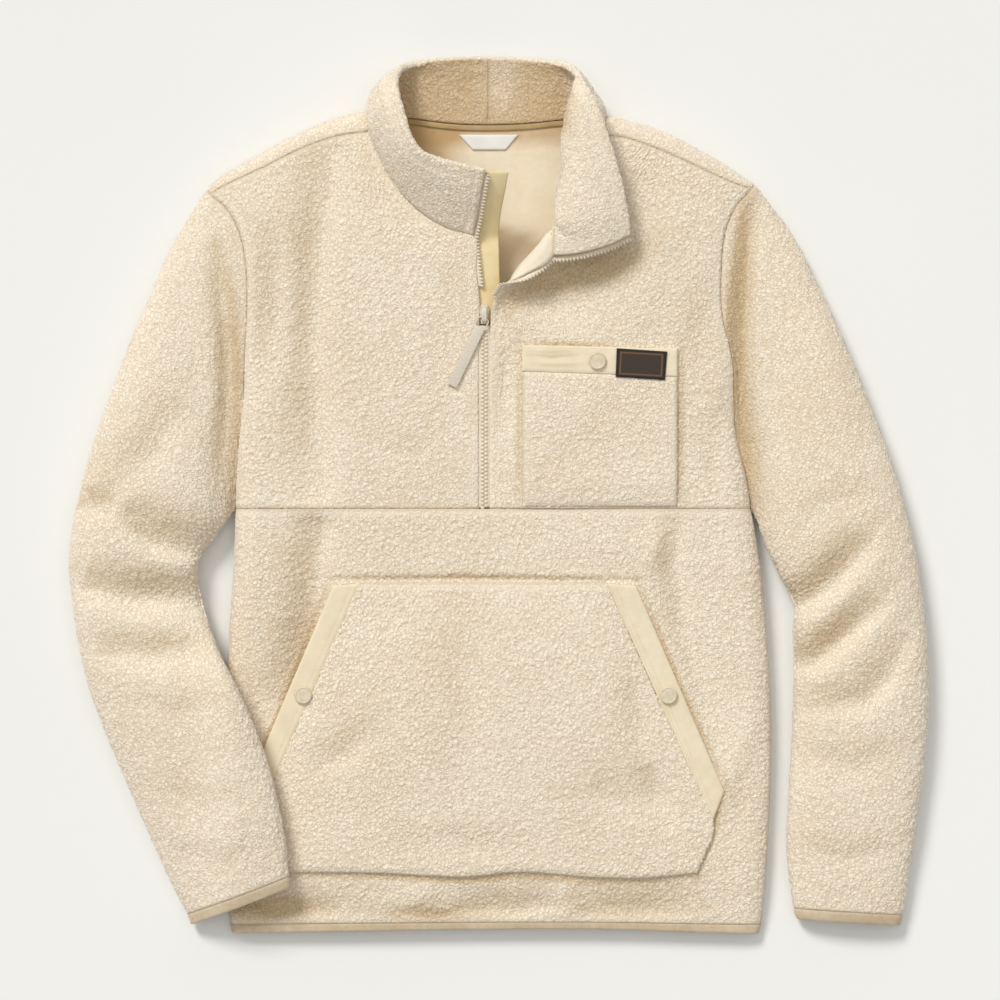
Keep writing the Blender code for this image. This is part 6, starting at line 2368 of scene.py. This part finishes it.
@dataclass
class Sleeves:
    """Both sleeves and the bindings of their cuffs."""

    finishes: Wardrobe
    spacing: float = 2.1
    sections: tuple[float, ...] = (
        1, 1.5, 2, 2.5, 3, 3.5, 4, 4.4, 4.8, 5.2, 5.6, 6, 6.4, 6.8, 7.3, 8, 8.7, 9.4, 10.2, 11, 12, 13
    )
    cuff_sections: tuple[float, ...] = (13, 13.5, 14)
    cap_sections: tuple[float, ...] = (0.38, 0.72)
    cap_turn: float = 0.86
    tube_fullness: float = 2.5
    floor_fullness: float = 3.4
    middle_share: float = 0.42
    armpit_ease: tuple[float, float] = (1.5, 1.5)
    armpit_reach: float = 150.0
    shared_from: float = 98.0
    lift_start: float = -36.0
    lift_end: float = 12.0
    lift_room: float = 6.2
    lift_top: float = -95.0
    lift_full: float = -135.0
    binding_wall: float = 3.0

    def ground(self, side: Side, x: float, y: float) -> float:
        """Height of what the sleeve lies on: the surface or, under the right cuff, the body.

        Args:
            side: which sleeve.
            x: place across.
            y: place up.

        Returns:
            The height.
        """
        if side is Side.LEFT:
            return 0.0
        inside = x - SIDES.at(y).right
        share = clamp((inside - self.lift_start) / (self.lift_end - self.lift_start))
        down = clamp((self.lift_top - y) / (self.lift_top - self.lift_full))
        body = front_height(max(x, SIDES.at(y).right + SIDES.at(y).roll), y) + HALF
        return (body + self.lift_room) * share * share * (3 - 2 * share) * down

    def turns(self) -> list[float]:
        """Angle of each point round a sleeve: up the front, over the outer edge, back below.

        Returns:
            The angles, from 0 to a whole turn.
        """
        cap = self.cap_turn
        front = [cap * k / ARMHOLE_STEPS for k in range(ARMHOLE_STEPS)]
        edge = [cap + 2 * (1 - cap) * k / ROLL_STEPS for k in range(ROLL_STEPS)]
        start = 2 - cap
        below = [start + (2 - start) * k / BACK_ARMHOLE_STEPS for k in range(BACK_ARMHOLE_STEPS)]
        return [math.pi * turn for turn in front + edge + below]

    def section(self, side: Side, at: float) -> list[Vector]:
        """Ring of middle points: from the inner edge over the top, then back along the floor.

        Args:
            side: which sleeve.
            at: place along the sleeve's table.

        Returns:
            The ring.
        """
        row = SLEEVE[side].at(at)
        outer = Vector((row.outer_x, row.outer_y))
        inner = Vector((row.inner_x, row.inner_y))
        inset = (outer - inner).normalized() * HALF
        outer, inner = outer - inset, inner + inset
        height = row.height - FLEECE
        base_inner = self.ground(side, inner.x, inner.y)
        ring = []
        for turn in self.turns():
            top = turn <= math.pi
            fullness = self.tube_fullness if top else self.floor_fullness
            reach = math.copysign(abs(math.cos(turn)) ** (2 / self.tube_fullness), math.cos(turn))
            rise = abs(math.sin(turn)) ** (2 / fullness)
            share = (1 - reach) / 2
            place = inner.lerp(outer, share)
            under = self.ground(side, place.x, place.y)
            middle = HALF + (base_inner * (1 - share) + under) / 2 + height * self.middle_share
            if top:
                z = middle + height * (1 - self.middle_share) * rise
            else:
                z = middle + (under + HALF - middle) * rise
            ring.append(Vector((place.x, place.y, z)))
        return ring

    def grid(self, side: Side) -> list[list[Vector]]:
        """Rings of a sleeve from the armhole to the cuff's seam.

        Args:
            side: which sleeve.

        Returns:
            The rings.
        """
        outward = -1 if side is Side.RIGHT else 1
        first = []
        for place, _ in armhole_ring(side):
            near = max(0.0, 1 - (place.y - CHEST_SEAM) / self.armpit_reach) ** 2
            first.append(place + Vector((self.armpit_ease[0] * outward, self.armpit_ease[1], 0)) * near)
        rest = [self.section(side, at) for at in self.sections]
        cap = [
            [hermite(t, a, b, b - a, (c - a) / 2) for a, b, c in zip(first, rest[0], rest[1])]
            for t in self.cap_sections
        ]
        return [first] + cap + rest

    def sleeve(self, side: Side) -> Panel:
        """One sleeve.

        Args:
            side: which sleeve.

        Returns:
            The panel.
        """
        ring, shared = armhole_ring(side), CHEST_SEAM + self.shared_from
        facings = {(0, k): way for k, (place, way) in enumerate(ring) if place.y > shared}
        rests = ("back", "front_lower") if side is Side.RIGHT else ("back",)
        return Panel(
            "sleeve_tube_" + side.value, ("sleeve_" + side.value,), self.grid(side),
            Cut(0.44, 0.66, 0.173, rests), facings, wrap=True, spacing=self.spacing,
            creases=SLEEVE_FOLDS[side], materials=self.finishes.fleece, shades=SLEEVE_SHADES[side]
        )

    def cuff(self, side: Side) -> Panel:
        """Folded binding of a cuff.

        Args:
            side: which sleeve.

        Returns:
            The panel.
        """
        grid = [self.section(side, at) for at in self.cuff_sections]
        centre = sum(grid[0], Vector()) / len(grid[0])
        facings = {}
        for k in (0, ARMHOLE_STEPS):
            way = (grid[1][k] - centre).normalized()
            way.y = 0
            facings[1, k] = way.normalized()
        return trim(
            "cuff_edge_binding_" + side.value, "cuff_binding_" + side.value, grid, Cut(0.235, 0.0115),
            self.finishes.edging, self.binding_wall, facings=facings, **BINDING
        )

    def make(self, sewing: Sewing) -> None:
        """Makes both sleeves and both bindings."""
        sewing.sew(*map(self.sleeve, Side), *map(self.cuff, Side))


# ------ pockets, labels and snaps


def laid_on_front(x: float, y: float, offset: float) -> Vector:
    """Point over the front's outer face."""
    return Vector((x, y, front_height(x, y) + HALF + LAY_GAP + offset))


def between(
    corners: Sequence[Sequence[float]], along: int, across: int, offset: float, laid: Callable = laid_on_front
) -> list[list[Vector]]:
    """Grid over a four-cornered piece that lies on the front or elsewhere.

    Args:
        corners: its corners, round from the foot.
        along: steps up.
        across: steps across.
        offset: height of the points over what it lies on.
        laid: gives a point at x, y and an offset.

    Returns:
        Rows of points.
    """
    a, b, c, d = (Vector(corner) for corner in corners)
    grid = []
    for i in range(along + 1):
        start, end = a.lerp(d, i / along), b.lerp(c, i / along)
        grid.append([laid(*start.lerp(end, j / across), offset) for j in range(across + 1)])
    return grid


@dataclass
class Pockets:
    """Kangaroo pocket, chest pocket, their facings, labels and snaps."""

    finishes: Wardrobe
    spacing: float = 1.75
    edge_wall: float = 3.4
    label_wall: float = 1.2
    puff: float = 7.0
    puff_across: float = 0.7
    puff_up: float = 1.5
    wave_fade: float = 3.0
    pocket_steps: int = 18
    foot_drop: float = 2.2
    pocket_ys: tuple[float, ...] = (-345, -325, -305, -294, -265, -225, -185, -145, -110, -75)
    chest_left: float = 32.0
    chest_right: float = 173.5
    chest_foot: float = -6.0
    band_foot: tuple[float, float] = (117.0, 112.0)
    band_head: tuple[float, float] = (141.0, 138.0)
    label_corners: tuple = ((117, 112), (162, 109), (164, 135), (118, 138))
    neck_label_corners: tuple = ((-13, 321.5), (17, 321.5), (29, 335.5), (-26, 335.5))
    snap_radius: float = 8.0
    snap_height: float = 2.4
    snap_steps: int = 48
    snap_profile: tuple = (
        (0.80, 0.0), (0.93, 0.03), (0.99, 0.2), (1.0, 0.45), (0.985, 0.72), (0.93, 0.93), (0.86, 1.0),
        (0.80, 0.97), (0.765, 0.84), (0.73, 0.8), (0.69, 0.84), (0.55, 0.83), (0.3, 0.79), (0.1, 0.78)
    )
    snaps: tuple = (
        ("snap_chest", 100.5, 126.5), ("snap_pocket_left", 165.5, -178), ("snap_pocket_right", -167.5, -178)
    )
    mouth_corners: tuple = (
        (Side.LEFT, (136, -78), (217, -266), (109, -76), (206.4, -293)),
        (Side.RIGHT, (-140, -78), (-221, -266), (-115.4, -76), (-210.8, -293))
    )

    def kangaroo(self) -> Panel:
        """Big patch pocket on the lower front.

        Returns:
            The panel.
        """
        grid = []
        ys = self.pocket_ys
        for y in ys:
            span = POCKET.at(y)
            row = []
            for k in range(self.pocket_steps + 1):
                share = k / self.pocket_steps
                x = span.left + (span.right - span.left) * share
                up = (y - ys[0]) / (ys[-1] - ys[0])
                puff = self.puff * math.sin(math.pi * share) ** self.puff_across * math.sin(
                    math.pi * up**self.puff_up
                )
                rise = POCKET_WAVE.at(x).rise * max(0.0, 1 - up * self.wave_fade)
                row.append(laid_on_front(x, y + rise, HALF + max(puff, 0.0)))
            grid.append(row)
        return Panel(
            "kangaroo_pocket_patch", ("kangaroo_pocket",), grid, Cut(0.417, 0.27, 0.0968, ("front_lower",)),
            free=(Edge.FIRST_COLUMN, Edge.LAST_COLUMN), spacing=self.spacing, materials=self.finishes.fleece,
            seam_depth=1.6, seam_width=3.2, flattened=1.8, grooves=(Groove(Edge.LAST_ROW, 4.5, 0.6, 1.2),),
            creases=POCKET_CREASES
        )

    def mouth(self, side: Side, corners: tuple) -> Panel:
        """Woven facing of one mouth of the kangaroo pocket.

        Args:
            side: which mouth.
            corners: outer top, outer foot, inner top and inner foot.

        Returns:
            The panel.
        """
        outer_top, outer_foot, inner_top, inner_foot = corners
        grid = between((inner_foot, outer_foot, outer_top, inner_top), 8, 2, self.edge_wall / 2)
        edge = Edge.FIRST_COLUMN
        return trim(
            "pocket_mouth_facing_" + side.value, "pocket_binding_" + side.value, grid,
            Cut(0.032, 0.236, 0.0053, ("front_lower",)), self.finishes.woven, self.edge_wall, seam_depth=0.9,
            seam_width=1.1,
            grooves=(Groove(edge, 2.6, 0.35, 0.6, (0.02, 0.98)), Groove(edge, 7.0, 0.35, 0.6, (0.02, 0.98)))
        )

    def chest_patch(self) -> Panel:
        """Patch pocket on the left chest, below its facing.

        Returns:
            The panel.
        """
        left, right, foot = self.chest_left, self.chest_right, self.chest_foot
        corners = ((left, foot), (right, foot), (right, self.band_foot[1]), (left, self.band_foot[0]))
        grid = between(corners, 6, 6, HALF)
        for place in grid[0]:
            place.z -= self.foot_drop
        return Panel(
            "chest_pocket_patch", ("chest_pocket",), grid,
            Cut(0.1435, 0.1265, rests_on=("front_chest_left",)), spacing=self.spacing,
            materials=self.finishes.fleece, seam_depth=1.2, clean=(Edge.LAST_ROW,),
            grooves=(
                Groove(Edge.FIRST_COLUMN, 2.2, 0.6, 0.9), Groove(Edge.FIRST_COLUMN, 7.2, 0.6, 0.9),
                Groove(Edge.LAST_COLUMN, 2.2, 0.6, 0.9), Groove(Edge.LAST_COLUMN, 5.6, 0.6, 0.9),
                Groove(Edge.FIRST_ROW, 3.0, 0.5, 1.0)
            ),
            creases=creases(
                (-0.7, 14, 0, (60, 20), (90, 50), (120, 40)), (0.7, 14, 0, (40, 100), (80, 84), (120, 96))
            )
        )

    def chest_facing(self) -> Panel:
        """Woven facing across the chest pocket's mouth.

        Returns:
            The panel.
        """
        left, right = self.chest_left, self.chest_right
        corners = (
            (left, self.band_foot[0]), (right, self.band_foot[1]), (right, self.band_head[1]),
            (left, self.band_head[0])
        )
        return trim(
            "chest_pocket_facing", "chest_pocket_binding", between(corners, 2, 6, self.edge_wall / 2),
            Cut(0.1425, 0.0275, rests_on=("front_chest_left",)), self.finishes.woven, self.edge_wall,
            seam_depth=0.9, seam_width=1.1,
            grooves=(
                Groove(Edge.FIRST_ROW, 2.6, 0.3, 0.6, (0.0, 0.6)),
                Groove(Edge.LAST_ROW, 2.0, 0.3, 0.6, (0.0, 0.6))
            ),
            creases=creases(
                (-0.5, 1.6, 0, (36, 131), (60, 129), (84, 131)),
                (0.4, 1.8, 0, (36, 125), (62, 124), (88, 125)), (0.4, 1.6, 0, (34, 137), (58, 136), (80, 137))
            )
        )

    def chest_label(self) -> Panel:
        """Dark woven label on the chest pocket's facing, without lettering.

        Returns:
            The panel.
        """
        offset = FLEECE + LAY_GAP + self.label_wall / 2
        return trim(
            "chest_label_plain", "chest_label", between(self.label_corners, 2, 2, offset),
            Cut(0.0455, 0.0265), self.finishes.chest_label, self.label_wall, spacing=1.3, seam_depth=0.35,
            seam_width=0.7, slot="chest_label",
            grooves=(
                Groove(Edge.FIRST_COLUMN, 2.2, 0.2, 0.5, None), Groove(Edge.LAST_COLUMN, 2.2, 0.2, 0.5, None)
            )
        )

    def neck_label(self, collar: Collar) -> Panel:
        """Off-white label below the back neck seam, without lettering.

        Args:
            collar: the collar, which knows the back's inner face.

        Returns:
            The panel.
        """
        grid = between(self.neck_label_corners, 2, 4, self.label_wall / 2, collar.inside_back)
        return trim(
            "neck_label_plain", "neck_label", grid, Cut(0.055, 0.0145, 0.00064), self.finishes.neck_label,
            self.label_wall, seam_depth=0.35, seam_width=0.7, slot="neck_label"
        )

    def snap(self, name: str, x: float, y: float) -> Piece:
        """Round cap with a rolled rim and a shallow dished middle.

        Args:
            name: name of the piece.
            x: place across.
            y: place up.

        Returns:
            The piece.
        """
        base = front_height(x, y) + HALF + self.edge_wall + 3 * LAY_GAP
        count = self.snap_steps
        turns = [2 * math.pi * k / count for k in range(count)]
        places, faces = [], []
        for radius, rise in self.snap_profile:
            reach, z = self.snap_radius * radius, base + self.snap_height * rise
            places += [Vector((x + reach * math.cos(t), y + reach * math.sin(t), z)) * MM for t in turns]
        for low in range(0, len(places) - count, count):
            for k, n in zip(range(count), (*range(1, count), 0)):
                faces.append((low + k, low + n, low + count + n, low + count + k))
        faces += [tuple(range(count))[::-1], tuple(range(len(places) - count, len(places)))]
        mesh = bpy.data.meshes.new(name)
        mesh.from_pydata(places, [], faces)
        mesh.shade_smooth()
        return add_mesh(name, mesh, self.finishes.snap)

    def make(self, sewing: Sewing, collar: Collar) -> None:
        """Makes the pockets and what lies on them.

        Args:
            sewing: gathers the stitches.
            collar: the collar.
        """
        mouths = [self.mouth(side, tuple(corners)) for side, *corners in self.mouth_corners]
        sewing.sew(self.kangaroo(), *mouths, self.chest_patch(), self.chest_facing())
        sewing.sew(self.chest_label(), self.neck_label(collar))
        for node_name, x, y in self.snaps:
            declare(self.snap(node_name.replace("snap", "snap_cap"), x, y), (node_name,), "snap_resin")


# ------ the zip


@dataclass
class Zip:
    """Half zip: wind flap, closed chain, two open rows, slider and pull."""

    finishes: Wardrobe
    repeat: LineRepeat
    open_width: float = 3.4
    tape_wall: float = 0.9
    tape_overlap: float = 0.6
    tooth_lift: float = 0.3
    tooth_inset: float = 0.4
    tooth_squareness: float = 0.55
    slider_x: float = -2.4
    slider_foot: float = 160.0
    open_foot: float = 180.0
    lapel_rows: tuple[float, ...] = (5.5, 6, 6.5, 7, 7.5, 8)
    gap_right: float = 0.3
    gap_left: float = 1.7
    chain_half: float = 5.2
    chain_steps: int = 24
    chain_end: float = 1.0
    chain_sink: float = 0.3
    tape_rise: float = 0.6
    tooth_rise: float = 1.0
    tooth_pitch: float = 3.6
    tooth: tuple[float, float, float] = (2.7, 3.4, 1.7)
    open_pitch: float = 3.2
    open_tooth: tuple[float, float, float] = (1.7, 3.8, 1.5)
    column_offset: float = 1.6
    flap_wall: float = 1.2
    flap_foot: float = 148.0
    flap_sag: float = 3.5
    flap_lap: float = 2.0
    seam_run: float = 14.0
    flap_edge: Table = Table("y x", (150, 12), (194, 12), (218, 11.3), (253, 11.5), (283, 17), (299, 20))
    bevel: float = 0.35
    flat_angle: float = 2.0
    sharp_angle: float = 35.0

    def wind_flap(self) -> Panel:
        """Woven strip behind the right edge of the open zip.

        Returns:
            The panel.
        """
        grid = []
        for p in zip_right_edge():
            if p.y < self.flap_foot:
                continue
            wall_below = HALF if p.y <= NECK_FRONT[Side.RIGHT].rows[0].y - self.seam_run else Collar.wall / 2
            z = p.z - wall_below - LAY_GAP * 2 - self.flap_wall / 2
            near = p.x - self.flap_lap
            far = self.flap_edge.at(p.y).x
            shares = (0, 0.25, 0.5, 0.75, 1)
            grid.append([Vector((near + (far - near) * t, p.y, z - self.flap_sag * t**2)) for t in shares])
        return trim(
            "zip_wind_flap", "wind_flap", grid, Cut(0.024, 0.155, 0.0036), self.finishes.golden,
            self.flap_wall, seam_depth=0.2, grooves=(Groove(Edge.LAST_COLUMN, 2.2, 0.25, 0.6, None),)
        )

    def closed_line(self) -> list[Vector]:
        """Middle of the closed chain, from the chest seam to the slider.

        Returns:
            Its points.
        """
        points = []
        run = self.slider_foot - CHEST_SEAM - 2 * self.chain_end
        for k in range(self.chain_steps + 1):
            y = CHEST_SEAM + self.chain_end + run * k / self.chain_steps
            share = min((y - CHEST_SEAM) / (ZIP_RIGHT.rows[-1].y - CHEST_SEAM), 1.0)
            z = ZIP_RIGHT.at(share).z - self.chain_sink
            points.append(Vector((self.slider_x, y, z)))
        return points

    def strip(self, side: Side, body: Body) -> list[list[Vector]]:
        """Middle points of half of the open chain: a strip beside an edge.

        Args:
            side: side of the zip.
            body: the body, which knows the lapel.

        Returns:
            Rows of points.
        """
        first, second = collar_grid(side)[:2]
        if side is Side.RIGHT:
            front = [p for p in map(point, ZIP_RIGHT.samples(EDGE_STEPS)) if p.y > self.open_foot]
            edge = front + first[1:-1]
            behind = [p - Vector((10, 0, 0)) for p in front] + second[1:-1]
            gap = self.gap_right
        else:
            rows = [LAPEL.at(at) for at in self.lapel_rows]
            edge = [point(row) for row in rows] + first[1:]
            behind = [body.lapel_points(row)[-2] for row in rows] + second[1:]
            gap = self.gap_left
        grid = []
        for k, (p, q) in enumerate(zip(edge, behind)):
            along = (edge[min(k + 1, len(edge) - 1)] - edge[max(k - 1, 0)]).normalized()
            out = p - q
            out -= along * out.dot(along)
            out.normalize()
            start = p + out * gap
            reaches = (-self.tape_overlap, self.open_width / 2, self.open_width)
            grid.append([start + out * reach for reach in reaches])
        return grid

    def tape_panel(self, name: str, node_name: str, grid: list[list[Vector]], cut: Cut) -> Panel:
        """Woven tape that carries the teeth.

        Args:
            name: name of the piece.
            node_name: node that it stands for.
            grid: its middle points.
            cut: its flat size.

        Returns:
            The panel.
        """
        return trim(
            name, node_name, grid, cut, self.finishes.zip_tape, self.tape_wall, seam_depth=0.1,
            seam_width=0.6, slot="zip_resin"
        )

    def teeth_on(self, name: str, lines: list[SurfaceLine], pitch: float, tooth: tuple) -> None:
        """Teeth along lines of a tape."""
        how = self.finishes.teeth, "zip_resin", self.tooth_lift, self.tooth_squareness
        self.repeat.make(name, lines, pitch, tooth, *how)

    def make_chain(self, body: Body) -> None:
        """Makes the tapes and the teeth.

        Args:
            body: the body, which knows the lapel.
        """
        middle = self.closed_line()
        grid = [[p + Vector((self.chain_half * t, 0, self.tape_rise)) for t in (-1, 0, 1)] for p in middle]
        closed = self.tape_panel("zip_tape_closed", "zip_chain", grid, Cut(0.0108, 0.168))
        closed.make()
        up = np.array([(0.0, 0.0, 1.0)] * len(middle))
        lines = []
        for sign in (-1, 1):
            shift = Vector((sign * self.column_offset, self.tooth_pitch / 2 * (sign > 0), self.tooth_rise))
            lines.append(SurfaceLine(np.array([tuple(p + shift) for p in middle[:-1]]), up[:-1]))
        self.teeth_on("zip_teeth_closed", lines, self.tooth_pitch, self.tooth)
        for side, length, area in ((Side.RIGHT, 0.125, 0.00051), (Side.LEFT, 0.135, 0.00066)):
            panel = self.tape_panel(
                "zip_tape_open_" + side.value, "zip_open_" + side.value, self.strip(side, body),
                Cut(0.010, length, area)
            )
            panel.make()
            line = panel.line(Edge.LAST_COLUMN, self.tooth_inset)
            self.teeth_on("zip_teeth_open_" + side.value, [line], self.open_pitch, self.open_tooth)

    def rounded_copy(self, source: str, name: str, finish: Material, *where: str) -> None:
        """Piece made as a copy of a small hard node with its edges rounded off, on its body.

        Args:
            source: the node.
            name: name of the piece.
            finish: its material.
            *where: its slot and, if it isn't the garment, its body.
        """
        copy = bmesh.new()
        copy.from_mesh(frame["nodes"][source].data)
        bmesh.ops.remove_doubles(copy, verts=copy.verts, dist=1e-6)
        bmesh.ops.dissolve_limit(
            copy, angle_limit=math.radians(self.flat_angle), verts=copy.verts, edges=copy.edges
        )
        sharp = [
            e for e in copy.edges if e.is_manifold and e.calc_face_angle(0.0) > math.radians(self.sharp_angle)
        ]
        bmesh.ops.bevel(
            copy, geom=sharp, offset=self.bevel * MM, segments=3, profile=0.5, affect="EDGES",
            clamp_overlap=True
        )
        mesh = bpy.data.meshes.new(name)
        copy.to_mesh(mesh)
        copy.free()
        mesh.shade_smooth()
        mesh.materials.clear()
        declare(add_mesh(name, mesh, finish), (source,), *where)

    def make(self, body: Body) -> None:
        """Makes the whole zip.

        Args:
            body: the body, which knows the lapel.
        """
        self.wind_flap().make()
        self.make_chain(body)
        self.rounded_copy("zip_slider", "zip_slider_body", self.finishes.slider, "zip_resin")
        self.rounded_copy("zip_pull", "zip_pull_tab", self.finishes.pull, "pull_ribbon", "pull")


# ------ the studio


@dataclass(frozen=True)
class Studio:
    """Pale floor, soft light from the upper left and the camera straight above."""

    floor: Rgb = (240, 240, 237)
    floor_size: float = 12.0
    camera_x: float = 0.01196
    camera_z: float = 3.83
    lens: float = 149.9
    sensor: float = 36.0
    suns: tuple = (
        ("window", (-0.46, 0.78, 0.80), 18.0, 1.99, (1.0, 0.985, 0.96)),
        ("ceiling", (0.05, 0.10, 1.0), 60.0, 0.55, (1.0, 0.99, 0.98))
    )
    sky: float = 0.42

    def make(self) -> None:
        """Adds the floor, the lights and the camera."""
        mesh = bpy.data.meshes.new("floor")
        h = self.floor_size / 2
        mesh.from_pydata([(-h, -h, 0), (h, -h, 0), (h, h, 0), (-h, h, 0)], [], [(0, 1, 2, 3)])
        tree, shader = new_material("floor_paper", 0.9, Specular_IOR_Level=0.1)
        share = spread(tree, noise(tree, place_of(tree), 3.0))
        tone = mix(tree, share, linear(tuple(c - 1 for c in self.floor)), linear(self.floor))
        tree.links.new(tone, shader.inputs["Base Color"])
        add_mesh("floor", mesh, bpy.data.materials["floor_paper"])
        scene = bpy.context.scene
        scene.view_settings.view_transform = "Standard"
        scene.world = bpy.data.worlds.new("soft_sky")
        scene.world.use_nodes = True
        sky = scene.world.node_tree.nodes["Background"].inputs
        sky["Color"].default_value, sky["Strength"].default_value = (1.0, 1.0, 1.0, 1.0), self.sky
        for name, way, angle, power, colour in self.suns:
            light = bpy.data.lights.new(name, "SUN")
            light.angle, light.energy, light.color = math.radians(angle), power, colour
            add_object(name, light).rotation_euler = Vector(way).to_track_quat("Z", "Y").to_euler()
        data = bpy.data.cameras.new("camera")
        data.lens, data.sensor_width = self.lens, self.sensor
        data.clip_start, data.clip_end = 0.1, 50.0
        scene.camera = add_object("camera", data)
        scene.camera.location = (self.camera_x, 0.0, self.camera_z)


def main() -> None:
    """Builds and dresses the whole garment, then lights it."""
    finishes = Wardrobe()
    repeat = LineRepeat()
    sewing = Sewing(repeat, finishes.thread)
    body = Body(finishes)
    body.make(sewing)
    collar = Collar(finishes)
    collar.make(sewing)
    Sleeves(finishes).make(sewing)
    Pockets(finishes).make(sewing, collar)
    Zip(finishes, repeat).make(body)
    sewing.make()
    Studio().make()


if __name__ == "__main__":
    main()
